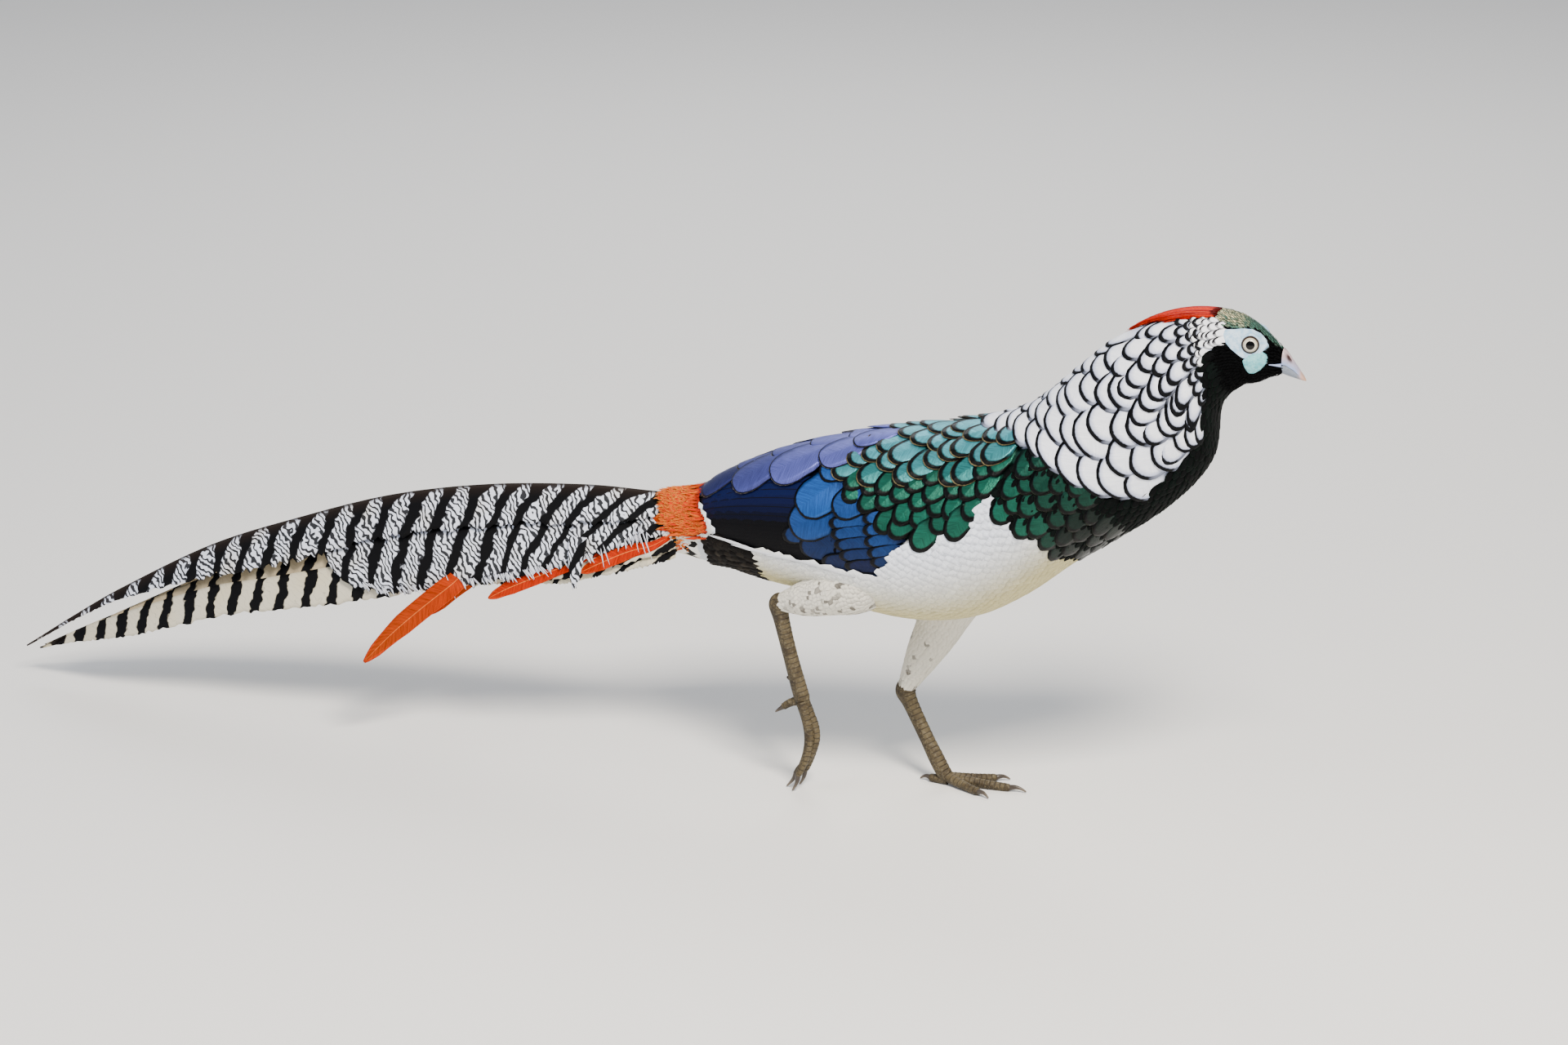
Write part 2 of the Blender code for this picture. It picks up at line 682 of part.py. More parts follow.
# Long coverts on each side: a root let into the rump, then vanes along the tail's side and free.
COVERTS = (
    # way down at the root, the place along the ridge where it leaves the tail, tip (x, out, z), width
    (0.030, 1.85, (-0.222, 0.062, 0.072), 0.0190),
    (0.040, 1.15, (-0.122, 0.060, 0.131), 0.0150),
    (0.048, 0.55, (-0.052, 0.058, 0.154), 0.0140),
)
COVERT_LIFT, COVERT_LIFT_STEP, COVERT_BULGE, COVERT_HALF_THICKNESS = 0.0045, 0.0012, 0.006, 0.0005
COVERT_DOWN_STEP, COVERT_START = 0.006, 0.12
# Half widths along a covert as shares of its half width.
COVERT_SHARES = (0.19, 0.20, 0.30, 0.40, 0.55, 1.0, 0.95, 0.18)
# The turn on the rump of a covert whose root lies some way down, and its first two places there.
COVERT_TURN, COVERT_TURN_FROM, COVERT_TURN_RATE = 62.0, 0.018, 900.0
COVERT_ROOTS = ((0.030, -0.0045), (0.020, 0.0065))
# The common root of one side's coverts: x range, turns and lifts on the rump.
COVERT_BLOCK = ((0.018, 0.031), (66.0, 96.0), (-0.0042, 0.0034))
# The left side's coverts leave the tail sooner and reach less far back.
LEFT_LEAVE, LEFT_SHORTER = 0.8, 0.018


def rump_point(x, turn, lift=0.0):
    """Return a point on the rump's core at an x, a turn and a lift."""
    place = interpolate([(oval[0], index) for index, oval in enumerate(RUMP_OVALS)], x)
    _, z, height, width = spline(RUMP_OVALS, place)
    angle = math.radians(turn)
    return Vector((x, -(width + lift) * math.sin(angle), z + (height + lift) * math.cos(angle)))


def make_rump(parts, material):
    """Make the rump with its ring of tufts, cut clear of the long coverts' roots."""
    work = new_collection("rump work")
    rings = []
    plane_point = BODY.oval(TORSO_REAR)[0]
    plane_normal = BODY.forward(TORSO_REAR)
    for x, _, _, _ in RUMP_OVALS:
        rings.append([rump_point(x, 360.0 * k / RUMP_SIDES) for k in range(RUMP_SIDES)])
    front = []
    for point in rings[-1]:
        shift = (plane_point - plane_normal * GAP - point).dot(plane_normal) / plane_normal.x
        front.append(point + Vector((shift, 0.0, 0.0)))
    rings[-1] = front
    rump = loft("rump", rings, work)
    rand = random.Random(SEED_RUMP)
    tufts = new_collection("rump tufts")
    for row, (root_x, tip_x, tip_lift, count, width) in enumerate(TUFT_ROWS):
        for k in range(count):
            turn = -180.0 + 360.0 * (k + 0.5 * row) / count
            under = ease((abs(turn) - UNDERTAIL_FROM) / UNDERTAIL_BLEND)
            reach = (tip_x - root_x) * rand.uniform(0.9, 1.08) * (1.0 + UNDERTAIL_EXTRA * under)
            sections = []
            for share, part in LOCK_VANE:
                x = root_x + reach * share
                lift = TUFT_ROOT_LIFT + (tip_lift - TUFT_ROOT_LIFT) * share
                half = math.degrees(0.5 * width * part / TUFT_ROUND)
                pairs = []
                for at in (turn - half, turn + half):
                    under_point = rump_point(x, at, lift - TUFT_HALF_THICKNESS)
                    pairs.append((under_point, rump_point(x, at, lift + TUFT_HALF_THICKNESS)))
                sections.append(pairs)
            strip(f"tuft {row} {k}", sections, tufts)
    boolean(rump, "UNION", tufts)
    cuts = new_collection("covert room")
    for side in SIDES.values():
        add_coverts(side, GAP, cuts)
    boolean(rump, "DIFFERENCE", cuts)
    finish(rump, parts, material)
    bpy.data.collections.remove(work)


def make_coverts(name, side, parts, material):
    """Make one side's long coverts, joined at their root."""
    work = new_collection("covert work")
    coverts = covert_block(name, side, 0.0, work)
    vanes = new_collection("covert vanes")
    add_covert_vanes(side, 0.0, vanes)
    boolean(coverts, "UNION", vanes)
    finish(coverts, parts, material)
    bpy.data.collections.remove(work)


def add_coverts(side, grow, collection):
    """Add one side's coverts, grown by a clearance, as separate solids."""
    covert_block(f"covert root {side}", side, grow, collection)
    add_covert_vanes(side, grow, collection)


def covert_block(name, side, grow, collection):
    """Make the common root of one side's coverts, grown by a clearance."""
    (rear, front), (first, last), (low, high) = COVERT_BLOCK
    wider = math.degrees(grow / TUFT_ROUND)
    turns = [first - wider + (last - first + 2 * wider) * k / 3 for k in range(4)]
    rings = []
    for x in (rear - grow, front + grow):
        outer = [rump_point(x, side * turn, high + grow) for turn in turns]
        inner = [rump_point(x, side * turn, low - grow) for turn in reversed(turns)]
        rings.append(outer + inner)
    return loft(name, rings, collection)


def add_covert_vanes(side, grow, collection):
    """Add the vanes of one side's coverts, grown by a clearance."""
    for k, (down, leave, (tip_x, tip_out, tip_z), width) in enumerate(COVERTS):
        tip = Vector((tip_x, -side * tip_out, tip_z))
        if side == LEFT:
            leave *= LEFT_LEAVE
            tip.x += LEFT_SHORTER * (k + 1)
        covert_vane(f"covert {side} {k}", side, down, leave, tip, width, grow, collection)


def covert_vane(name, side, down, leave, tip, width, grow, collection):
    """Make one long covert: rooted in the rump, along the tail's side, then free to its tip."""
    turn = side * (COVERT_TURN + COVERT_TURN_RATE * (down - COVERT_TURN_FROM))
    route = [rump_point(x, turn, lift) for x, lift in COVERT_ROOTS]
    for index in range(3):
        place = COVERT_START + (leave - COVERT_START) * index / 2
        lift = COVERT_LIFT + COVERT_LIFT_STEP * index
        route.append(tail_point(place, down + COVERT_DOWN_STEP * index, -lift, side))
    bend = route[-1] - route[-2]
    bulge = Vector((0.0, -side * COVERT_BULGE, 0.0))
    route.append(route[-1] + bend * 0.18 + (tip - route[-1]) * 0.38 + bulge)
    route.append(route[-1] + (tip - route[-1]) * 0.55)
    route.append(tip)
    outward = Vector((0.0, -side, 0.25)).normalized()
    thick = COVERT_HALF_THICKNESS + grow
    sections = []
    for index, point in enumerate(route):
        ahead = route[min(index + 1, len(route) - 1)]
        behind = route[max(index - 1, 0)]
        along = (ahead - behind).normalized()
        across = along.cross(outward).normalized()
        normal = across.cross(along).normalized()
        half = 0.5 * width * COVERT_SHARES[index] + grow
        pairs = []
        for edge in (point - across * half, point + across * half):
            pairs.append((edge - normal * thick, edge + normal * thick))
        sections.append(pairs)
    strip(name, sections, collection)


# Head: eyes, lids, bare face with its lappet, and the line of the mouth.
EYE_PLACE = Vector((0.5070, -0.0128, 0.3978))
EYE_RADIUS = 0.0078
EYE_TURN, EYE_RISE = math.radians(14), math.radians(4)
LID_RING, LID_THICKNESS = 0.0069, 0.0012
LID_STEPS, LID_SIDES = 12, 5
# Outline of the bare face as (station, turn) and of the lappet below it, on the right side.
FACE_OUTLINE = (
    (15.1, 48), (15.9, 46), (17.0, 46), (17.9, 50), (18.7, 64), (18.9, 88), (18.6, 108),
    (17.9, 122), (16.9, 120), (16.2, 104), (15.5, 88), (14.95, 66),
)
LAPPET_OUTLINE = (
    (16.5, 98), (17.3, 92), (18.2, 94), (18.7, 106), (18.3, 124), (17.5, 138), (16.7, 146),
    (16.1, 138), (15.9, 118),
)


def face_patch(name, outline, side, lifts, crown, collection):
    """Make a raised patch of skin with an outline on the head, highest at its middle."""
    middle = (sum(p[0] for p in outline) / len(outline), sum(p[1] for p in outline) / len(outline))
    count = len(outline)
    points = []
    for share, lift in ((1.0, lifts[0]), (1.0, lifts[1]), (0.55, crown)):
        for station, turn in outline:
            s = middle[0] + (station - middle[0]) * share
            t = middle[1] + (turn - middle[1]) * share
            points.append(BODY.point(s, side * t, lift))
    points.append(BODY.point(middle[0], side * middle[1], crown))
    points.append(BODY.point(middle[0], side * middle[1], lifts[0]))
    top, bottom = 3 * count, 3 * count + 1
    faces = []
    for k in range(count):
        n = (k + 1) % count
        faces += [[k, n, count + n, count + k]]
        faces += [[count + k, count + n, 2 * count + n, 2 * count + k]]
        faces += [[2 * count + k, 2 * count + n, top], [n, k, bottom]]
    return solid(name, points, faces, collection)


def eye_matrix(side):
    """Return the place and turn of an eye, its Z axis pointing out of the head."""
    place = Vector((EYE_PLACE.x, side * EYE_PLACE.y, EYE_PLACE.z))
    out = Vector((math.sin(EYE_TURN), -side * math.cos(EYE_TURN), math.sin(EYE_RISE))).normalized()
    return Matrix.Translation(place) @ out.to_track_quat("Z", "Y").to_matrix().to_4x4()


def primitive(name, collection, build, matrix):
    """Make an object from a bmesh primitive, placed by a matrix."""
    mesh = bpy.data.meshes.new(name)
    bm = bmesh.new()
    build(bm)
    bmesh.ops.transform(bm, matrix=matrix, verts=bm.verts)
    bmesh.ops.recalc_face_normals(bm, faces=bm.faces)
    bm.to_mesh(mesh)
    bm.free()
    obj = bpy.data.objects.new(name, mesh)
    collection.objects.link(obj)
    return obj


def ball(name, radius, matrix, collection, segments=12, rings=8):
    """Make a sphere."""
    def build(bm):
        bmesh.ops.create_uvsphere(bm, u_segments=segments, v_segments=rings, radius=radius)

    return primitive(name, collection, build, matrix)


def block(name, size, matrix, collection):
    """Make a box."""
    scale = Matrix.Diagonal((*size, 1.0))
    return primitive(name, collection, lambda bm: bmesh.ops.create_cube(bm, size=1.0), matrix @ scale)


def lid_ring(name, side, collection):
    """Make the swollen rim of the lids round an eye."""
    matrix = eye_matrix(side) @ Matrix.Translation((0.0, 0.0, 0.0036))
    rings = []
    for k in range(LID_STEPS):
        angle = 2.0 * math.pi * k / LID_STEPS
        ring = []
        for m in range(LID_SIDES):
            round_angle = 2.0 * math.pi * m / LID_SIDES
            radius = LID_RING + LID_THICKNESS * math.cos(round_angle)
            height = 1.25 * LID_THICKNESS * math.sin(round_angle)
            ring.append(matrix @ Vector((radius * math.cos(angle), radius * math.sin(angle), height)))
        rings.append(ring)
    points = [p for ring in rings for p in ring]
    faces = []
    for k in range(LID_STEPS):
        for m in range(LID_SIDES):
            this, after = k * LID_SIDES, ((k + 1) % LID_STEPS) * LID_SIDES
            up = (m + 1) % LID_SIDES
            faces.append([this + m, this + up, after + up, after + m])
    return solid(name, points, faces, collection)


# The mouth's line on the head: where it starts and ends along X, its height and its width.
MOUTH_BACK, HEAD_NOSE, MOUTH_HEIGHT, MOUTH_GAP = 0.5205, 0.536, 0.3815, 0.0006


def make_head(parts, material):
    """Make the head with lids, bare face, lappets, eye sockets and the line of the mouth."""
    work = new_collection("head work")
    head = body_core("head", NECK_FRONT, HEAD_FRONT, work, sides=20)
    skin = new_collection("head skin")
    for word, side in SIDES.items():
        face_patch(f"face {word}", FACE_OUTLINE, side, (-0.0040, -0.0004), 0.0002, skin)
        face_patch(f"lappet {word}", LAPPET_OUTLINE, side, (-0.0035, 0.0004), 0.0016, skin)
        lid_ring(f"lids {word}", side, skin)
    boolean(head, "UNION", skin)
    cuts = new_collection("head cuts")
    for side in SIDES.values():
        ball(f"socket {side}", EYE_RADIUS + GAP, eye_matrix(side), cuts)
    length = HEAD_NOSE - MOUTH_BACK
    place = Matrix.Translation((MOUTH_BACK + length / 2, 0.0, MOUTH_HEIGHT))
    block("mouth line", (length, 0.05, MOUTH_GAP), place, cuts)
    boolean(head, "DIFFERENCE", cuts)
    finish(head, parts, material)
    bpy.data.collections.remove(work)


def make_eyes(parts, material):
    """Make the two eyeballs."""
    for word, side in SIDES.items():
        eye = ball(f"eye_{word}", EYE_RADIUS, eye_matrix(side), parts)
        finish(eye, parts, material)


# Bill: ovals from its base to its tip, parted along the mouth.
BILL_OVALS = (
    (0.5300, 0.3830, 0.0102, 0.0070, 0),
    (0.5345, 0.3805, 0.0092, 0.0060, -6),
    (0.5390, 0.3772, 0.0074, 0.0047, -14),
    (0.5430, 0.3742, 0.0054, 0.0034, -22),
    (0.5460, 0.3718, 0.0034, 0.0021, -30),
    (0.5473, 0.3700, 0.0010, 0.0008, -40),
)
MOUTH_LINE = (
    (0.5290, 0.3815), (0.5330, 0.3812), (0.5390, 0.3775),
    (0.5428, 0.3735), (0.5442, 0.3680), (0.5446, 0.3600),
)
NOSTRIL_PLACE, NOSTRIL_SIZE = Vector((0.5347, -0.0056, 0.3866)), Vector((0.0032, 0.0022, 0.0011))
NOSTRIL_TILT = math.radians(28)


def make_bill(parts, material):
    """Make the upper and the lower bill."""
    form = BodyForm(BILL_OVALS, 0)
    for name, keep_up in (("bill_upper", True), ("bill_lower", False)):
        work = new_collection("bill work")
        rings = []
        for station in stations_between(0.0, 5.0, 0.5):
            rings.append([form.point(station, 360.0 * k / 14) for k in range(14)])
        bill = loft(name, rings, work)
        cuts = new_collection("bill cuts")
        far = -0.02 if keep_up else 0.03
        shift = GAP / 2 if keep_up else -GAP / 2
        rings = []
        for y in (-0.02, 0.02):
            line = [Vector((x + shift, y, z + shift)) for x, z in MOUTH_LINE]
            line[0].x -= 0.002
            if keep_up:
                closing = [Vector((line[-1].x, y, MOUTH_HEIGHT + far))]
                closing.append(Vector((line[0].x, y, MOUTH_HEIGHT + far)))
            else:
                closing = [Vector((0.560, y, line[-1].z)), Vector((0.560, y, MOUTH_HEIGHT + far))]
                closing.append(Vector((line[0].x, y, MOUTH_HEIGHT + far)))
            rings.append(line + closing)
        loft("mouth cutter", rings, cuts)
        block("base cutter", (0.004, 0.04, 0.04), Matrix.Translation((0.5280 + GAP, 0.0, 0.383)), cuts)
        if keep_up:
            for side in SIDES.values():
                place = Vector((NOSTRIL_PLACE.x, side * NOSTRIL_PLACE.y, NOSTRIL_PLACE.z))
                matrix = Matrix.Translation(place) @ Matrix.Rotation(NOSTRIL_TILT, 4, "Y")
                matrix = matrix @ Matrix.Diagonal((*(NOSTRIL_SIZE / 2), 1.0))
                ball(f"nostril {side}", 1.0, matrix, cuts, segments=10, rings=6)
        boolean(bill, "DIFFERENCE", cuts)
        finish(bill, parts, material)
        bpy.data.collections.remove(work)


# Crest: a thin pad on the hind crown, with long flat locks lying back over the nape.
CREST_PAD, CREST_PAD_LIFT = (14.8, 15.6), 0.0026
# For each layer: locks, station of the root and of the longest tip, height over the outline.
CREST_LAYERS = ((5, 15.2, 11.8, -0.0002), (4, 15.2, 11.1, 0.0016))
CREST_SPREAD = 27.0
LOCK_WIDTH, LOCK_THICKNESS, CREST_RISE = 0.0052, 0.0010, 0.0004
LOCK_SHAPE = ((0.0, 0.5), (0.2, 0.9), (0.45, 1.0), (0.75, 0.7), (1.0, 0.15))


def make_crest(parts, material):
    """Make the crest lock by lock."""
    work = new_collection("crest work")
    rings = []
    for station in stations_between(*CREST_PAD, 0.27):
        turns = [-CREST_SPREAD + 2 * CREST_SPREAD * k / 4 for k in range(5)]
        inner = [BODY.point(station, turn, GAP - SHORT_DEPTH) for turn in reversed(turns)]
        slope = 1.0 - 0.7 * ease((station - CREST_PAD[0]) / (CREST_PAD[1] - CREST_PAD[0]))
        outer = [BODY.point(station, turn, CREST_PAD_LIFT * slope) for turn in turns]
        rings.append(outer + inner)
    crest = loft("crest", rings, work)
    rand = random.Random(SEED_CREST)
    locks = new_collection("crest locks")
    for count, start, end, raised in CREST_LAYERS:
        for k in range(count):
            share = (k + 0.5) / count * 2.0 - 1.0
            root_turn = share * CREST_SPREAD * count / CREST_LAYERS[0][0]
            reach = end - start + 0.9 * abs(share) + rand.uniform(-0.15, 0.15)
            sections = []
            for along, part in LOCK_SHAPE:
                station = start + reach * along
                turn = root_turn * (1.0 - 0.12 * along)
                lift = raised + CREST_RISE * ease(along)
                move = BODY.sideways(station, turn, -1.0, 0.0)
                pairs = []
                for edge in (-1.0, 1.0):
                    half = edge * 0.5 * LOCK_WIDTH * part
                    at = (station + half * move[0], turn + half * move[1])
                    under = BODY.point(*at, lift - LOCK_THICKNESS / 2)
                    pairs.append((under, BODY.point(*at, lift + LOCK_THICKNESS / 2)))
                sections.append(pairs)
            strip(f"lock {start} {k}", sections, locks)
    boolean(crest, "UNION", locks)
    finish(crest, parts, material)
    bpy.data.collections.remove(work)


# Legs: (x, y, z, radius) along each boot and shank; y is written for the bird's left as positive.
LEG_ROUTES = {
    "left": {
        "thigh": ((0.262, 0.034, 0.168, 0.0300), (0.249, 0.031, 0.132, 0.0200),
                  (0.236, 0.028, 0.105, 0.0150), (0.226, 0.025, 0.084, 0.0095)),
        "shank": ((0.224, 0.0245, 0.0795, 0.0062), (0.2215, 0.024, 0.072, 0.0075),
                  (0.226, 0.0232, 0.062, 0.0055), (0.240, 0.0202, 0.037, 0.0050),
                  (0.2505, 0.0179, 0.0190, 0.0056), (0.2548, 0.0170, 0.0128, 0.0054)),
        "joint": (0.2597, 0.016, 0.0062),
    },
    "right": {
        "thigh": ((0.205, -0.036, 0.176, 0.0220), (0.181, -0.041, 0.170, 0.0180),
                  (0.160, -0.0425, 0.1635, 0.0142), (0.1475, -0.0425, 0.1600, 0.0100)),
        "shank": ((0.1435, -0.0424, 0.1590, 0.0062), (0.1385, -0.042, 0.1560, 0.0076),
                  (0.1400, -0.0414, 0.1440, 0.0055), (0.1460, -0.0385, 0.1150, 0.0049),
                  (0.1525, -0.0350, 0.0860, 0.0055), (0.1540, -0.0342, 0.0800, 0.0056)),
        "joint": (0.1550, -0.0338, 0.0755),
    },
}
TOE_RADIUS, TOE_SINK, JOINT_RADIUS = 0.0042, 0.0005, 0.0058
# Toes of the standing foot: name, heading in degrees (+ outwards), length, claw length.
FLAT_TOES = (("inner", -27, 0.036, 0.0105), ("middle", 2, 0.053, 0.0125), ("outer", 30, 0.041, 0.0105))
HIND_TOE = ("hind", 172, 0.016, 0.0085)
# Toes of the trailing foot: name, sideways place and backward place of the tip, bow forward.
HUNG_TOES = (
    ("inner", 0.0068, -0.002, 0.008), ("middle", 0.0, -0.006, 0.014), ("outer", -0.0068, -0.001, 0.009),
)
HUNG_HIND_STEPS = ((-0.001, 0.0, -0.001), (-0.009, 0.0, -0.003), (-0.0165, 0.0, -0.008))
CLAW_TIP = 0.0006


def toe_path(points, radii):
    """Pair points with radii."""
    return [(Vector(point), radius) for point, radius in zip(points, radii)]


def lump_radii(count, start, end):
    """Return radii that swell and narrow along a toe, as its pads do."""
    radii = []
    for index in range(count):
        share = index / (count - 1)
        radii.append((start + (end - start) * share) * (1.0 + 0.10 * math.cos(index * math.pi)))
    return radii


def ankle_end(side_word):
    """Return where a shank ends above its foot, and the direction it ends in."""
    route = LEG_ROUTES[side_word]["shank"]
    end, before = Vector(route[-1][:3]), Vector(route[-2][:3])
    return end, (end - before).normalized()


def foot_core(name, side_word, joint, collection):
    """Make the stub of a foot that carries on from its shank."""
    end, along = ankle_end(side_word)
    radius = LEG_ROUTES[side_word]["shank"][-1][3]
    start = end + along * GAP
    path = [(start, radius), (start + along * 0.002, radius * 1.06), (joint, JOINT_RADIUS)]
    path.append((joint + along * 0.002, 0.8 * JOINT_RADIUS))
    return tube(name, path, 10, collection)


def shank_cut(side_word, collection):
    """Add a box that keeps the toes clear of the shank's end."""
    end, along = ankle_end(side_word)
    turn = along.to_track_quat("Z", "Y").to_matrix().to_4x4()
    centre = end + along * (GAP - 0.006)
    block("shank end", (0.0135, 0.0135, 0.012), Matrix.Translation(centre) @ turn, collection)


def floor_cut(collection):
    """Add a box that takes away all below the floor."""
    block("floor", (1.4, 0.6, 0.1), Matrix.Translation((0.0, 0.0, -0.05)), collection)


def claw(name, start, direction, length, collection, hang=0.0):
    """Make a curved tapering claw from a toe's end."""
    path = []
    for index in range(4):
        share = index / 3
        point = start + direction * (length * share) + Vector((0.0, 0.0, -hang * share * share))
        path.append((point, 0.0023 * (1.0 - share) + CLAW_TIP * share))
    return tube(name, path, 6, collection)


def make_flat_foot(name, side_word, parts, skin, horn):
    """Make the standing foot: pad, toes and hind toe, with a claw on each."""
    joint = Vector(LEG_ROUTES[side_word]["joint"])
    outward = 1.0 if side_word == "left" else -1.0
    work = new_collection("foot work")
    foot = foot_core(name, side_word, joint, work)
    toes = new_collection("foot toes")
    claws = []
    for label, heading, length, claw_length in FLAT_TOES + (HIND_TOE,):
        angle = math.radians(heading * outward)
        direction = Vector((math.cos(angle), math.sin(angle), 0.0))
        steps = 5 if label != "hind" else 3
        points, radii = [], lump_radii(steps, TOE_RADIUS, 0.0031)
        for index in range(steps):
            share = index / (steps - 1)
            height = radii[index] - TOE_SINK + (0.0 if label == "hind" else 0.0022) * (1.0 - share) ** 2
            point = joint + direction * (0.001 + (length - 0.001) * share)
            points.append(Vector((point.x, point.y, height)))
        tube(f"toe {label}", toe_path(points, radii), 6, toes)
        tip = points[-1] + direction * GAP
        claws.append((label, tip, direction, claw_length, points[-1].z - 0.0012))
    boolean(foot, "UNION", toes)
    cuts = new_collection("foot cuts")
    floor_cut(cuts)
    shank_cut(side_word, cuts)
    boolean(foot, "DIFFERENCE", cuts)
    finish(foot, parts, skin)
    bpy.data.collections.remove(work)
    for label, tip, direction, length, hang in claws:
        piece = claw(f"claw_{side_word}_{label}", tip, direction, length, parts, hang=hang)
        finish(piece, parts, horn)


def make_hung_foot(name, side_word, parts, skin, horn):
    """Make the trailing foot: closed toes that hang down, their claw tips on the floor."""
    joint = Vector(LEG_ROUTES[side_word]["joint"])
    work = new_collection("foot work")
    foot = foot_core(name, side_word, joint, work)
    toes = new_collection("foot toes")
    claws = []
    for label, aside, back, bow in HUNG_TOES:
        claw_length = 0.0125
        start = joint + Vector((0.0, -aside * 0.45, -0.001))
        end = Vector((joint.x + back, joint.y - aside, claw_length))
        points, radii = [], lump_radii(5, TOE_RADIUS, 0.0029)
        for index in range(5):
            share = index / 4
            point = start.lerp(end, share) + Vector((bow * math.sin(math.pi * share), 0.0, 0.0))
            points.append(point)
        tube(f"toe {label}", toe_path(points, radii), 6, toes)
        direction = (points[-1] - points[-2]).normalized()
        claws.append((label, points[-1], direction, claw_length))
    hind = [joint + Vector(step) for step in HUNG_HIND_STEPS]
    tube("toe hind", toe_path(hind, (0.0040, 0.0038, 0.0028)), 6, toes)
    claws.append(("hind", hind[-1], (hind[-1] - hind[-2]).normalized(), 0.0085))
    boolean(foot, "UNION", toes)
    cuts = new_collection("foot cuts")
    shank_cut(side_word, cuts)
    boolean(foot, "DIFFERENCE", cuts)
    finish(foot, parts, skin)
    bpy.data.collections.remove(work)
    for label, tip, direction, length in claws:
        start = tip + direction * GAP
        path = []
        for index in range(4):
            share = index / 3
            point = start + direction * (length * share)
            if label != "hind":
                point.z = start.z * (1.0 - share)
            path.append((point, 0.0022 * (1.0 - share) + 0.0010 * share))
        claw_work = new_collection("claw work")
        piece = tube(f"claw_{side_word}_{label}", path, 6, claw_work)
        cuts = new_collection("claw cuts")
        floor_cut(cuts)
        boolean(piece, "DIFFERENCE", cuts)
        finish(piece, parts, horn)
        bpy.data.collections.remove(claw_work)


def make_leg(side_word, parts, boot, skin):
    """Make one leg's feathered boot and its bare shank with a spur."""
    route = LEG_ROUTES[side_word]
    work = new_collection("leg work")
    thigh = tube(f"thigh_{side_word}", [((x, y, z), r) for x, y, z, r in route["thigh"]], 16, work)
    cuts = new_collection("thigh cuts")
    body_core("torso with gap", TORSO_REAR, TORSO_FRONT, cuts, lift=GAP)
    boolean(thigh, "DIFFERENCE", cuts)
    finish(thigh, parts, boot)
    shank = tube(f"shank_{side_word}", [((x, y, z), r) for x, y, z, r in route["shank"]], 10, work)
    x, y, z, _ = route["shank"][4]
    spur = new_collection("spur")
    start = Vector((x, y, z + 0.006))
    tube("spur", [(start, 0.0030), (start + Vector((-0.0072, 0.0, 0.0005)), 0.0020),
                  (start + Vector((-0.0105, 0.0, 0.0018)), 0.0008)], 7, spur)
    boolean(shank, "UNION", spur)
    finish(shank, parts, skin)
    bpy.data.collections.remove(work)


def main():
    """Build the bird."""
    for obj in list(bpy.data.objects):
        bpy.data.objects.remove(obj)
    parts = new_collection("cock pheasant")
    plumage = paint("dark breast plumage", (0.02, 0.05, 0.05), 0.6)
    cape = paint("barred cape", (0.80, 0.84, 0.95), 0.6)
    wing = paint("blue wing", (0.04, 0.09, 0.30), 0.5)
    tail = paint("barred tail", (0.72, 0.75, 0.85), 0.6)
    rump = paint("orange rump", (0.80, 0.16, 0.03), 0.6)
    crown = paint("grey-green crown", (0.16, 0.26, 0.21), 0.6)
    crest = paint("red crest", (0.75, 0.04, 0.01), 0.55)
    boot = paint("flecked boot", (0.75, 0.75, 0.72), 0.7)
    skin = paint("scaled leg skin", (0.17, 0.13, 0.08), 0.55)
    horn = paint("claw horn", (0.10, 0.08, 0.06), 0.4)
    bill = paint("bill horn", (0.50, 0.53, 0.64), 0.35)
    eye = paint("wet eye", (0.60, 0.52, 0.38), 0.1)
    make_torso(parts, plumage)
    make_neck(parts, cape)
    make_head(parts, crown)
    make_eyes(parts, eye)
    make_bill(parts, bill)
    make_crest(parts, crest)
    for word, side in SIDES.items():
        make_wing(f"wing_{word}", side, parts, wing)
        make_tail_side(f"tail_side_{word}", side, parts, tail)
        make_coverts(f"coverts_{word}", side, parts, rump)
        make_leg(word, parts, boot, skin)
    make_tail_centre(parts, tail)
    make_rump(parts, rump)
    make_flat_foot("foot_left", "left", parts, skin, horn)
    make_hung_foot("foot_right", "right", parts, skin, horn)


main()
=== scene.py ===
"""Looks of a life-size still model of a cock pheasant with a long barred tail, stepping forward.

Metres, +Z up.  The head points to +X, the bird's right side faces -Y and the floor is z = 0.
The coat is laid feather by feather on the same forms that the solids follow: the body's row of ovals,
the roof-shaped tail, the rump and the boots.  A place on a form is a pair (a, b), on the body a
station along it and a turn in degrees round it from the spine, positive on the bird's right.
"""
import logging
import math
from collections.abc import Callable
from dataclasses import dataclass, replace
from enum import Enum

import bpy
import numpy as np
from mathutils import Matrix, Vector
from mathutils.kdtree import KDTree

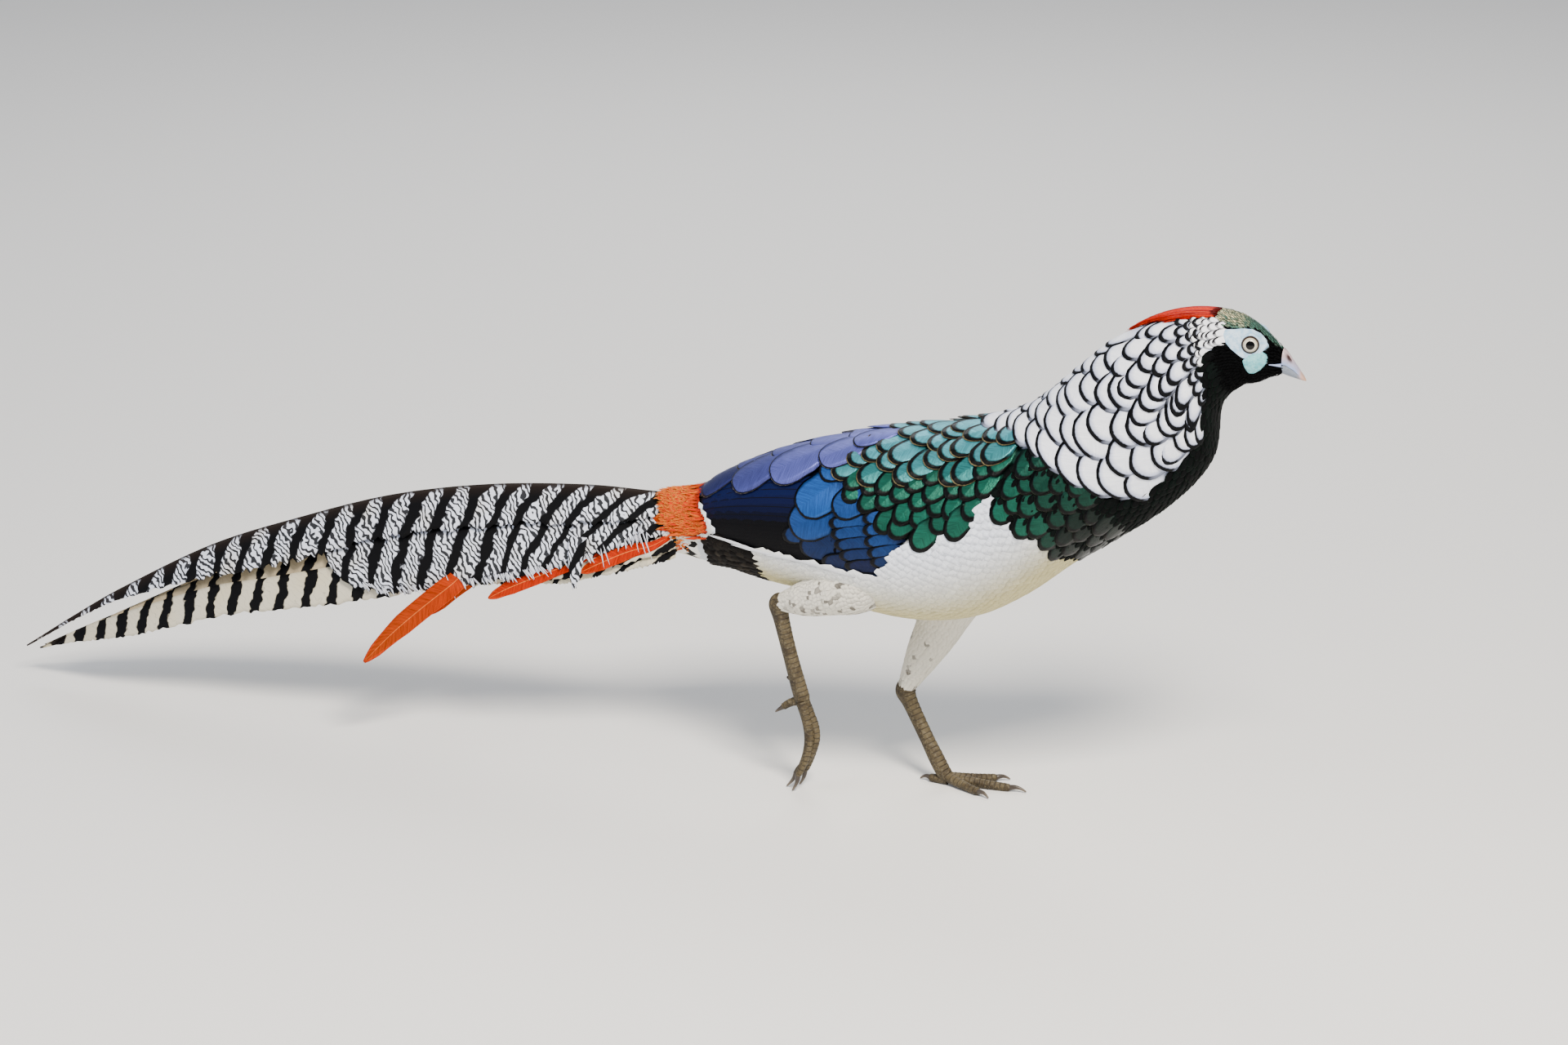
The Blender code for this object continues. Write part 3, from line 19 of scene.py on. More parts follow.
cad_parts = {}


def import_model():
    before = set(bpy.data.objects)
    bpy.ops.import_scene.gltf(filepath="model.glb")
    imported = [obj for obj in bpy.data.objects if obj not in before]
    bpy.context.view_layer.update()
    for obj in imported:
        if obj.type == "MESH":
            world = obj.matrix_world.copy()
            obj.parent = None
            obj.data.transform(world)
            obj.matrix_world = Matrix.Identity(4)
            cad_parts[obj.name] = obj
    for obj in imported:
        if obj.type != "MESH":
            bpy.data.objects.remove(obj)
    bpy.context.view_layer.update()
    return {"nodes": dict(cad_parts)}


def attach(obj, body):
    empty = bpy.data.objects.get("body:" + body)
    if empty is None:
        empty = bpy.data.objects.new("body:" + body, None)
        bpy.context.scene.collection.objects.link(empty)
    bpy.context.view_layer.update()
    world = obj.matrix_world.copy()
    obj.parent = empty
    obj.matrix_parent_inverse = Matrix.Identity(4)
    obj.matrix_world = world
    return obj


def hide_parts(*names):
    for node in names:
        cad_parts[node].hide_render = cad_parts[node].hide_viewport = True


LOG = logging.getLogger("cock pheasant")
Array = np.ndarray
Numbers = float | np.ndarray
Rng = np.random.Generator
Value = bpy.types.Node | bpy.types.NodeSocket | float | str | None
MM = 0.001
SIDES = {"right": 1, "left": -1}
ROOT = "root"
# The free edge and the used breadth of the unwrap OFBake.
CHART_EDGE, CHART_SPAN = 0.03, 0.94
# The least length and the least determinant that are divided by.
TINY, FLAT = 1e-12, 1e-16


# Arithmetic on arrays.
def unit(vectors: Array) -> Array:
    """Return vectors scaled to length one."""
    return vectors / np.maximum(np.linalg.norm(vectors, axis=-1, keepdims=True), TINY)


def dot(one: Array, other: Array) -> Array:
    """Return the dot products of two arrays of vectors."""
    return (one * other).sum(axis=-1)


def ease(value: Array) -> Array:
    """Return a smooth step from 0 to 1."""
    value = np.clip(value, 0.0, 1.0)
    return value * value * (3.0 - 2.0 * value)


def read(rows: tuple, value: Array) -> Array:
    """Return what a table of (place, value) pairs gives, straight between its rows."""
    places, values = zip(*rows)
    return np.interp(value, places, values)


def catmull(rows: tuple, place: Array) -> Array:
    """Return points on a Catmull-Rom curve through rows of numbers.

    Args:
        rows: Rows of equal length.
        place: Places counted in rows; past an end the curve goes on straight.

    Returns:
        An array with one more axis than place.
    """
    table = np.asarray(rows, float)
    place = np.asarray(place, float)
    last = len(table) - 1
    index = np.clip(np.floor(place).astype(int), 0, last - 1)
    f = (place - index)[..., None]
    p0, p1 = table[np.maximum(index - 1, 0)], table[index]
    p2, p3 = table[index + 1], table[np.minimum(index + 2, last)]
    bend = (2 * p0 - 5 * p1 + 4 * p2 - p3) * f ** 2 + (3 * p1 - p0 - 3 * p2 + p3) * f ** 3
    curve = 0.5 * (2 * p1 + (p2 - p0) * f + bend)
    return np.where((f < 0) | (f > 1), p1 + (p2 - p1) * f, curve)


def steps_of(path: Array) -> Array:
    """Return the lengths of a path's steps."""
    return np.linalg.norm(np.diff(path, axis=0), axis=-1)


def metres_along(path: Array) -> Array:
    """Return how far along a path each of its points lies."""
    return np.concatenate([[0.0], np.cumsum(steps_of(path))])


def turns_round(count: int) -> Array:
    """Return turns round a form in degrees, evenly spaced from -180, as a row."""
    return np.linspace(-180.0, 180.0, count, endpoint=False)[None]


def angles_round(count: int) -> Array:
    """Return angles round a circle in radians, evenly spaced from 0."""
    return np.linspace(0.0, 2 * math.pi, count, endpoint=False)


def both_sides(upper: Array) -> Array:
    """Return a grid of an upper side's values with the same again for its underside."""
    return np.concatenate([upper, upper[:, ::-1]], axis=1)


def inside(outline: tuple, x: Array, y: Array) -> Array:
    """Return which points (x, y) lie inside a closed outline."""
    result = np.zeros(np.shape(x), bool)
    for (x0, y0), (x1, y1) in zip(outline, outline[1:] + outline[:1]):
        crosses = (y0 > y) != (y1 > y)
        edge = (x1 - x0) * (y - y0) / (y1 - y0 if y1 != y0 else 1e-9) + x0
        result ^= crosses & (x < edge)
    return result


def place_chart(share: Array) -> Array:
    """Return the place across the unwrap of a share of a form's length."""
    return CHART_EDGE + CHART_SPAN * share


def turn_chart(turn: Array) -> Array:
    """Return the place of a turn up the unwrap of a round form."""
    return 0.5 + CHART_SPAN / 2 * np.clip(turn / 180.0, -1, 1)


# The forms on which the coat is laid.
class Form:
    """A surface with places (a, b) on it and a lift above it."""

    a_step, b_step, towards = 0.02, 0.5, -1.0

    def point(self, a: Array, b: Array, lift: Array) -> Array:
        """Return the points at places and lifts."""
        raise NotImplementedError

    def chart(self, a: Array, b: Array) -> tuple[Array, Array]:
        """Return the places of (a, b) on the unwrap of the form, from 0 to 1."""
        raise NotImplementedError

    def slopes(self, a: Array, b: Array) -> tuple[Array, Array]:
        """Return how the point moves for one of a and one of b."""
        s, t = self.a_step, self.b_step
        along = (self.point(a + s, b, 0.0) - self.point(a - s, b, 0.0)) / (2 * s)
        around = (self.point(a, b + t, 0.0) - self.point(a, b - t, 0.0)) / (2 * t)
        return along, around

    def outward(self, a: Array, b: Array) -> Array:
        """Return the direction of a lift."""
        return unit(self.point(a, b, MM) - self.point(a, b, 0.0))

    def move(self, slopes: tuple[Array, Array], wish: Array) -> tuple[Array, Array]:
        """Return the change of a and b for one metre in a wished direction."""
        along, around = slopes
        aa, ab, bb = dot(along, along), dot(along, around), dot(around, around)
        p, q = dot(wish, along), dot(wish, around)
        det = np.maximum(aa * bb - ab * ab, FLAT)
        return (p * bb - q * ab) / det, (q * aa - p * ab) / det

    def aim(self, a: Array, b: Array, heading: Array) -> tuple[Array, Array]:
        """Return the change of a and b per metre for headings: 0 to the tail, 90 down the side."""
        along, around = self.slopes(a, b)
        back = unit(along) * self.towards
        down = unit(around - back * dot(around, back)[..., None]) * np.where(b < 0, -1.0, 1.0)[..., None]
        angle = np.radians(heading)[..., None]
        return self.move((along, around), back * np.cos(angle) + down * np.sin(angle))


class BodyForm(Form):
    """The body as a row of upright ovals: centre x and z, half height, half width, lean."""

    first, span = -1.0, 21.0
    ovals = (
        (0.036, 0.200, 0.026, 0.020, -12), (0.062, 0.200, 0.032, 0.025, -14),
        (0.084, 0.208, 0.040, 0.038, -7), (0.119, 0.214, 0.052, 0.050, -5),
        (0.160, 0.219, 0.062, 0.059, -5), (0.200, 0.220, 0.072, 0.065, -4),
        (0.241, 0.223, 0.078, 0.068, -6), (0.281, 0.231, 0.078, 0.069, -9),
        (0.318, 0.246, 0.072, 0.068, -11), (0.350, 0.267, 0.065, 0.064, -17),
        (0.378, 0.288, 0.065, 0.058, -21), (0.406, 0.311, 0.066, 0.052, -26),
        (0.431, 0.334, 0.064, 0.046, -29), (0.450, 0.354, 0.058, 0.041, -28),
        (0.462, 0.374, 0.044, 0.036, -24), (0.475, 0.384, 0.036, 0.030, -18),
        (0.491, 0.390, 0.030, 0.023, -16), (0.502, 0.390, 0.027, 0.0195, -12),
        (0.511, 0.389, 0.023, 0.0165, -11), (0.5185, 0.3875, 0.018, 0.013, -9),
        (0.525, 0.385, 0.014, 0.010, -7), (0.530, 0.383, 0.0102, 0.007, 0),
    )

    def point(self, a: Array, b: Array, lift: Array) -> Array:
        """Return the points at stations, turns and lifts."""
        a, b, lift = np.broadcast_arrays(a, b, lift)
        x, z, height, width, lean = np.moveaxis(catmull(self.ovals, a - self.first), -1, 0)
        lean, turn = np.radians(lean), np.radians(b)
        out_side, out_up = np.sin(turn) / width, np.cos(turn) / height
        size = np.hypot(out_side, out_up)
        rise = height * np.cos(turn) + lift * out_up / size
        side = width * np.sin(turn) + lift * out_side / size
        return np.stack([x + rise * np.sin(lean), -side, z + rise * np.cos(lean)], axis=-1)

    def chart(self, a: Array, b: Array) -> tuple[Array, Array]:
        """Return the unwrap: stations across, turns up."""
        return place_chart((a - self.first) / self.span), turn_chart(b)


class BillForm(BodyForm):
    """The closed bill in the same kind of ovals, with the line of its mouth."""

    first, span = 0.0, 5.0
    ovals = (
        (0.5300, 0.3830, 0.0102, 0.0070, 0), (0.5345, 0.3805, 0.0092, 0.0060, -6),
        (0.5390, 0.3772, 0.0074, 0.0047, -14), (0.5430, 0.3742, 0.0054, 0.0034, -22),
        (0.5460, 0.3718, 0.0034, 0.0021, -30), (0.5473, 0.3700, 0.0010, 0.0008, -40),
    )
    mouth = ((0.5200, 0.3815), (0.5290, 0.3815), (0.5330, 0.3812), (0.5390, 0.3775), (0.5428, 0.3735),
             (0.5442, 0.3680), (0.5446, 0.3600))
    low_mouth = mouth[:5] + ((0.5470, 0.3722),)


@dataclass(frozen=True)
class TailForm(Form):
    """One side of the roof-shaped tail: a is a place along its ridge, b metres down its slope."""

    side: int = 1
    ridge = (
        (0.0135, 0.2235), (-0.044, 0.2225), (-0.127, 0.2135), (-0.211, 0.1955), (-0.294, 0.1670),
        (-0.373, 0.1350), (-0.455, 0.0890), (-0.502, 0.0585), (-0.5485, 0.0260),
    )
    a_step, b_step, towards = 0.02, 0.0005, 1.0
    span, breadth = 8.2, 0.115
    top_slope, slope_rate = math.radians(40.0), math.radians(35.0) / 0.080

    def point(self, a: Array, b: Array, lift: Array) -> Array:
        """Return the points at places, downs and lifts."""
        a, b, lift = np.broadcast_arrays(a, b, lift)
        x, z = np.moveaxis(catmull(self.ridge, a), -1, 0)
        along = unit(catmull(self.ridge, a + 0.05) - catmull(self.ridge, a - 0.05))
        up_x, up_z = along[..., 1], -along[..., 0]
        slope = self.top_slope + self.slope_rate * b
        reach = (np.sin(slope) - math.sin(self.top_slope)) / self.slope_rate + np.sin(slope) * lift
        drop = (math.cos(self.top_slope) - np.cos(slope)) / self.slope_rate - np.cos(slope) * lift
        return np.stack([x - up_x * drop, -self.side * reach, z - up_z * drop], axis=-1)

    def chart(self, a: Array, b: Array) -> tuple[Array, Array]:
        """Return the unwrap: places across, downs up, the right side in the upper half."""
        return place_chart(a / self.span), 0.5 + self.side * (0.02 + 4.0 * np.clip(b, 0, self.breadth))


class RumpForm(Form):
    """The rump's tube: a is x, b a turn in degrees."""

    a_step, b_step = 0.0005, 0.5
    span, axis_z = 0.08, 0.200
    # Rows of x, half height and half width.
    ovals = ((0.014, 0.0240, 0.0200), (0.036, 0.0228, 0.0182), (0.0605, 0.0235, 0.0170))

    def point(self, a: Array, b: Array, lift: Array) -> Array:
        """Return the points at places, turns and lifts."""
        a, b, lift = np.broadcast_arrays(a, b, lift)
        xs, heights, widths = zip(*self.ovals)
        height, width = np.interp(a, xs, heights), np.interp(a, xs, widths)
        turn = np.radians(b)
        up = (height + lift) * np.cos(turn)
        return np.stack([a, -(width + lift) * np.sin(turn), self.axis_z + up], axis=-1)

    def chart(self, a: Array, b: Array) -> tuple[Array, Array]:
        """Return the unwrap: x across, turns up."""
        return np.clip(a / self.span, 0, 1), turn_chart(b)


@dataclass(frozen=True)
class TubeForm(Form):
    """A tube round a route of (x, y, z, radius): a is a place on the route, b a turn."""

    route: tuple = ()
    a_step, b_step, towards = 0.02, 0.5, 1.0

    def point(self, a: Array, b: Array, lift: Array) -> Array:
        """Return the points at places, turns and lifts."""
        a, b, lift = np.broadcast_arrays(a, b, lift)
        rows = catmull(self.route, a)
        axis = unit((catmull(self.route, a + 0.02) - catmull(self.route, a - 0.02))[..., :3])
        side = unit(np.cross(axis, np.array([1.0, 0.0, 0.2])))
        front = np.cross(side, axis)
        turn = np.radians(b)[..., None]
        around = front * np.cos(turn) + side * np.sin(turn)
        return rows[..., :3] + around * (rows[..., 3:] + lift[..., None])

    def chart(self, a: Array, b: Array) -> tuple[Array, Array]:
        """Return the unwrap: places across, turns up."""
        return 0.03 + 0.94 * a / (len(self.route) - 1), turn_chart(b)


BODY = BodyForm()
BILL = BillForm()
RUMP = RumpForm()
TAILS = {word: TailForm(side) for word, side in SIDES.items()}
BOOT_ROUTES = {
    "left": ((0.268, 0.022, 0.202, 0.0160), (0.262, 0.031, 0.168, 0.0265), (0.249, 0.031, 0.132, 0.0200),
             (0.236, 0.028, 0.105, 0.0150), (0.226, 0.025, 0.084, 0.0095)),
    "right": ((0.240, -0.024, 0.200, 0.0160), (0.205, -0.035, 0.178, 0.0215), (0.181, -0.041, 0.170, 0.0180),
              (0.160, -0.0425, 0.1635, 0.0142), (0.1475, -0.0425, 0.1600, 0.0100)),
}
BOOTS = {word: TubeForm(route) for word, route in BOOT_ROUTES.items()}


# Where each plumage lies on the body, alike on both sides.
class Plumage(Enum):
    """The coat's regions, each with the colour of the skin under it."""

    BREAST = "#0a0f10"
    BELLY = "#cdd2d6"
    WING = "#16233f"
    MANTLE = "#12302c"
    CAPE = "#c9d0e4"
    THROAT = "#08090b"
    CROWN = "#3f5248"
    CREST = "#a32812"
    FACE = "#c2dbe8"
    VENT = "#1a1512"


# Edges as (station, turn), and two fronts as (turn, station).
CAPE_EDGE = (
    (6.99, -5), (7.0, 2), (7.08, 8), (7.52, 31), (8.04, 48), (8.4, 62), (8.56, 73), (8.92, 85), (9.32, 102),
    (9.68, 127), (10.1, 131), (10.6, 134), (11.2, 136), (11.8, 136), (12.4, 142), (12.8, 136), (13.3, 131),
    (13.5, 119), (13.64, 106), (13.84, 93), (14.08, 83), (14.5, 78), (14.72, 72), (14.96, 61), (15.04, 49),
    (15.06, -5),
)
WING_EDGE = (
    (-0.05, 42), (0.28, 69), (0.66, 91), (1.0, 97), (1.4, 101), (2.0, 106), (2.76, 111), (3.4, 111),
    (4.08, 111), (4.4, 113), (4.84, 104), (4.96, 96), (5.24, 90), (5.72, 88), (6.2, 86), (6.5, 83), (7.2, 71),
    (7.6, 60),
)
WHITE_FRONT = ((60, 7.0), (71, 7.2), (81, 7.24), (96, 7.52), (111, 7.8), (132, 8.04), (160, 8.2), (180, 8.3))
CROWN_EDGE = (
    (14.59, -5), (14.6, 20), (14.76, 30), (14.88, 39), (15.24, 47), (15.6, 46), (16.16, 39), (17.0, 28),
    (17.48, 23), (18.16, 25), (18.84, 25), (19.48, 22), (20.2, 18),
)
CREST_EDGE = (
    (10.9, -5), (11.0, 6), (11.32, 12), (11.84, 19), (12.44, 25), (13.2, 28), (13.9, 29), (14.6, 28),
    (14.76, 22), (14.8, -5),
)
FACE_OUTLINE = (
    (15.04, 49), (15.48, 49), (16.16, 41), (17.0, 31), (17.68, 27), (18.16, 35), (18.46, 48), (18.25, 62),
    (17.85, 76), (17.2, 90), (16.5, 99), (15.92, 95), (15.6, 89), (15.28, 82), (15.06, 73), (14.98, 61),
)
LAPPET_OUTLINE = (
    (17.4, 80), (17.9, 76), (18.2, 80), (18.27, 91), (17.95, 108), (17.3, 121), (16.6, 128), (16.15, 126),
    (15.98, 112), (15.95, 100), (16.6, 88),
)
NECK_TOP = 14.3
CROWN_REAR = 14.6
WING_FRONT = 8.2
# The dark patch under the tail: its stations, its least turn and its gap to the wing in degrees.
VENT_REAR, VENT_FRONT, VENT_TURN, VENT_GAP = 0.15, 2.0, 92.0, 1.5
GREEN_REAR = (
    (0, 4.3), (20, 4.3), (32, 3.9), (45, 3.75), (57, 3.95), (68, 4.3), (80, 4.75), (90, 5.1), (112, 5.3),
)


def plumage(station: Array, turn: Array) -> Array:
    """Return which Plumage covers each place, as an array of the enum's own members."""
    side = np.abs(turn)
    code = np.full(np.shape(station), Plumage.BREAST, object)
    code[station < read(WHITE_FRONT, side)] = Plumage.BELLY
    edge = np.maximum(read(WING_EDGE, station) + VENT_GAP, VENT_TURN)
    code[(station < VENT_FRONT) & (station > VENT_REAR) & (side > edge)] = Plumage.VENT
    over = (side < read(WING_EDGE, station)) & (station < WING_FRONT)
    code[over] = Plumage.WING
    code[over & (station > read(GREEN_REAR, side))] = Plumage.MANTLE
    code[station > NECK_TOP] = Plumage.THROAT
    code[side < read(CAPE_EDGE, station)] = Plumage.CAPE
    code[(station > CROWN_REAR) & (side < read(CROWN_EDGE, station))] = Plumage.CROWN
    code[side < read(CREST_EDGE, station)] = Plumage.CREST
    skin = inside(FACE_OUTLINE, station, side) | inside(LAPPET_OUTLINE, station, side)
    code[skin] = Plumage.FACE
    return code


# Colours and materials.
def linear(colour: str) -> tuple[float, float, float, float]:
    """Return an sRGB hex colour as linear red, green, blue and alpha."""
    parts = [int(colour[i:i + 2], 16) / 255 for i in (1, 3, 5)]
    return tuple(p / 12.92 if p <= 0.04045 else ((p + 0.055) / 1.055) ** 2.4 for p in parts) + (1.0,)


def add(
    tree: bpy.types.NodeTree, kind: str, *inputs: Value, sockets: dict | None = None, **settings: object,
) -> bpy.types.Node:
    """Add a shader node with its settings and links.

    Args:
        tree: The material's nodes.
        kind: The node's type without the ShaderNode prefix.
        inputs: Values, colours, sockets or nodes for the inputs in their order; None skips one.
        sockets: The same for inputs by name.
        settings: The node's own settings.

    Returns:
        The node, which also stands for its first output as an input here.
    """
    made = tree.nodes.new("ShaderNode" + kind)
    for name, value in settings.items():
        setattr(made, name, value)
    given = list(enumerate(inputs)) + list((sockets or {}).items())
    for key, value in given:
        if value is None:
            continue
        if isinstance(value, bpy.types.Node):
            value = value.outputs[0]
        if isinstance(value, bpy.types.NodeSocket):
            tree.links.new(value, made.inputs[key])
        elif isinstance(value, str):
            made.inputs[key].default_value = linear(value)
        else:
            made.inputs[key].default_value = value
    return made


def calc(tree: bpy.types.NodeTree, operation: str, *inputs: Value) -> bpy.types.Node:
    """Add a Math node and return it."""
    return add(tree, "Math", *inputs, operation=operation)


def mix(tree: bpy.types.NodeTree, *inputs: Value) -> bpy.types.Node:
    """Add a mix of two colours by a factor and return it."""
    return add(tree, "MixRGB", *inputs)


def ramp(tree: bpy.types.NodeTree, *inputs: Value, **settings: object) -> bpy.types.Node:
    """Add a clamped map of a value from two limits to two others and return it."""
    return add(tree, "MapRange", *inputs, **settings)


def noise(tree: bpy.types.NodeTree, place: Value, scale: float, detail: float) -> bpy.types.Node:
    """Add a noise texture and return it."""
    return add(tree, "TexNoise", sockets={"Vector": place, "Scale": scale, "Detail": detail})


def vector_parts(tree: bpy.types.NodeTree, name: str) -> bpy.types.bpy_prop_collection:
    """Return the three parts of a vector attribute."""
    return add(tree, "SeparateXYZ", add(tree, "Attribute", attribute_name=name).outputs["Vector"]).outputs


def new_material(name: str) -> tuple[bpy.types.Material, bpy.types.NodeTree]:
    """Make an empty node material."""
    material = bpy.data.materials.new(name)
    material.use_nodes = True
    material.node_tree.nodes.clear()
    return material, material.node_tree


def close(
    tree: bpy.types.NodeTree, colour: Value, roughness: Value, bump: Value = None, depth: float = 0.1 * MM,
    **fixed: Value,
) -> None:
    """End a material with a Principled BSDF.

    Args:
        tree: The material's nodes.
        colour: Colour socket or hex.
        roughness: Value or socket.
        bump: Height socket, or None for a plain surface.
        depth: Height of the bump in metres.
        fixed: Uniform socket values, with _ for a space in the socket's name.
    """
    sockets = {name.replace("_", " "): value for name, value in fixed.items()}
    sockets.update({"Base Color": colour, "Roughness": roughness})
    if bump is not None:
        normal = add(tree, "Bump", sockets={"Height": bump, "Distance": depth, "Strength": 1.0})
        sockets["Normal"] = normal
    shader = add(tree, "BsdfPrincipled", sockets=sockets)
    add(tree, "OutputMaterial", shader)


@dataclass(frozen=True)
class Vane:
    """Shape of one kind of feather and how finely it is meshed."""

    root: float = 0.45
    shoulder: float = 0.45
    power: float = 2.0
    low_rows: int = 2
    tip_rows: int = 4
    columns: int = 5
    thickness: float = 0.0
    camber: float = 0.5 * MM
    ragged: float = 0.04
    tilt: float = 0.0
    # The most camber by half width, the arch's share at the root, and how fast the lift grows.
    most_camber, root_arch, lift_power = 0.3, 0.4, 0.8

    def rows(self) -> tuple[Array, Array]:
        """Return the places of the rows from root to tip and the half width there."""
        low = np.linspace(0.0, 1.0, self.low_rows, endpoint=False)
        y = np.sin(np.linspace(0.0, 0.45 * math.pi, self.tip_rows))
        place = np.concatenate([low * self.shoulder, self.shoulder + (1.0 - self.shoulder) * y])
        low_width = self.root + (1.0 - self.root) * ease(low)
        return place, np.concatenate([low_width, (1.0 - y ** self.power) ** (1.0 / self.power)])


@dataclass(frozen=True)
class FeatherFinish:
    """Keratin barbs on a shaft: matt web in two tones, a rim, an outer line and fine barb lines."""

    name: str
    pale: str
    deep: str
    # The covered root's colour, also that of the barb lines; on the white cape it is a darker blue-grey,
    # painted shade under the overlap of the next row.
    root_and_shade: str
    rim: str
    rim_mm: float = 0.0
    line: str = "#000000"
    line_mm: float = 0.0
    barb_mm: float = 0.9
    barb_contrast: float = 0.12
    roughness: float = 0.55
    gloss: float = 0.4
    sheen: float = 0.0
    hidden_to: float = 0.45
    shaft: str = ""
    rim_from: float = 0.25
    front_fade: float = 0.0
    glow: str = ""
    relief: float = 0.08 * MM
    metal: float = 0.0
    spread: float = 0.2
    bar: str = ""
    bar_mm: float = 12.0
    streak: float = 0.0
    # How far the patterns of two feathers lie apart, scale of the rim's wobble, lean of the barbs.
    seed_step, wobble_scale, barb_lean = 90.0, 0.55, 0.8

    def dress(self, vane: Vane) -> bpy.types.Material:
        """Make the material for a kind of feather."""
        material, t = new_material(self.name)
        uv = add(t, "SeparateXYZ", add(t, "UVMap", uv_map="Vane"))
        across = calc(t, "MULTIPLY_ADD", uv.outputs[0], 2.0, -1.0)
        x = calc(t, "ABSOLUTE", across)
        y = uv.outputs[1]
        half, length, seed = vector_parts(t, "size")
        tone = add(t, "Attribute", attribute_name="tone").outputs["Fac"]
        tip = ramp(t, y, vane.shoulder, 1.0, 0.0, 1.0)
        px = calc(t, "POWER", x, vane.power)
        py = calc(t, "POWER", tip, vane.power)
        ring = calc(t, "POWER", calc(t, "ADD", px, py), 1.0 / vane.power)
        x_mm = calc(t, "MULTIPLY", across, half)
        y_mm = calc(t, "MULTIPLY", y, length)
        chance = calc(t, "MULTIPLY", seed, self.seed_step)
        off_shaft = calc(t, "MULTIPLY", x, half)
        place = add(t, "CombineXYZ", x_mm, y_mm, chance)
        rough = noise(t, place, self.wobble_scale, 2.0)
        wobble = calc(t, "MULTIPLY_ADD", rough, 1.3, -0.65)
        gap = calc(t, "MULTIPLY", calc(t, "SUBTRACT", 1.0, ring), half)
        edge = calc(t, "ADD", gap, calc(t, "MULTIPLY", wobble, 0.45 * min(self.rim_mm, 1.4)))
        slant = calc(t, "MULTIPLY_ADD", off_shaft, -self.barb_lean, y_mm)
        bend = calc(t, "MULTIPLY_ADD", wobble, 0.9, slant)
        wave = calc(t, "SINE", calc(t, "MULTIPLY", bend, 2 * math.pi / self.barb_mm))
        barb = calc(t, "MULTIPLY_ADD", wave, 0.5, 0.5)
        web = mix(t, tone, self.pale, self.deep)
        shade = calc(t, "MULTIPLY", barb, self.barb_contrast)
        web = mix(t, shade, web, self.root_and_shade)
        # Towards the root the web takes the root colour, which on the white cape is painted shade under the
        # overlap.
        root = ramp(t, y, 0.05, self.hidden_to, 1.0, 0.0, interpolation_type="SMOOTHSTEP")
        web = mix(t, root, web, self.root_and_shade)
        if self.shaft:
            quill = ramp(t, off_shaft, 0.15, 0.45, 1.0, 0.0)
            web = mix(t, quill, web, self.shaft)
        if self.rim_mm:
            fade = ramp(t, y, self.rim_from, self.rim_from + 0.3, 0.0, 1.0)
            rim = ramp(t, edge, self.rim_mm * 0.75, self.rim_mm * 1.15, 1.0, 0.0,
                       interpolation_type="SMOOTHSTEP")
            if self.glow:
                near = ramp(t, edge, self.rim_mm, self.rim_mm * 2.2, 0.55, 0.0,
                            interpolation_type="SMOOTHSTEP")
                web = mix(t, calc(t, "MULTIPLY", near, fade), web, self.glow)
            if self.front_fade:
                front = ramp(t, uv.outputs[0], 0.02, self.front_fade, 0.0, 1.0)
                fade = calc(t, "MULTIPLY", fade, front)
            web = mix(t, calc(t, "MULTIPLY", rim, fade), web, self.rim)
        if self.line_mm:
            line = ramp(t, edge, self.line_mm * 0.7, self.line_mm * 1.2, 1.0, 0.0)
            web = mix(t, calc(t, "MULTIPLY", line, tip), web, self.line)
        if self.bar:
            turn = calc(t, "FRACT", calc(t, "MULTIPLY_ADD", bend, 1.0 / self.bar_mm, seed))
            off = calc(t, "ABSOLUTE", calc(t, "SUBTRACT", turn, 0.5))
            web = mix(t, ramp(t, off, 0.16, 0.2, 1.0, 0.0), web, self.bar)
        own = calc(t, "MULTIPLY_ADD", seed, self.spread, 1.0 - self.spread / 2)
        if self.streak:
            bent, drawn = calc(t, "MULTIPLY", bend, 0.9), calc(t, "MULTIPLY", x_mm, 0.10)
            strand = add(t, "CombineXYZ", bent, drawn, chance)
            split = noise(t, strand, 0.9, 3.0)
            light = ramp(t, split, 0.32, 0.68, 1.0 - self.streak, 1.0 + self.streak)
            own = calc(t, "MULTIPLY", own, light)
        web = add(t, "HueSaturation", 0.5, 1.0, own, 1.0, web)
        close(t, web, self.roughness, barb, self.relief, Specular_IOR_Level=self.gloss, Metallic=self.metal,
              Sheen_Weight=self.sheen, Sheen_Roughness=0.4, Sheen_Tint=linear("#ffffff"))
        return material


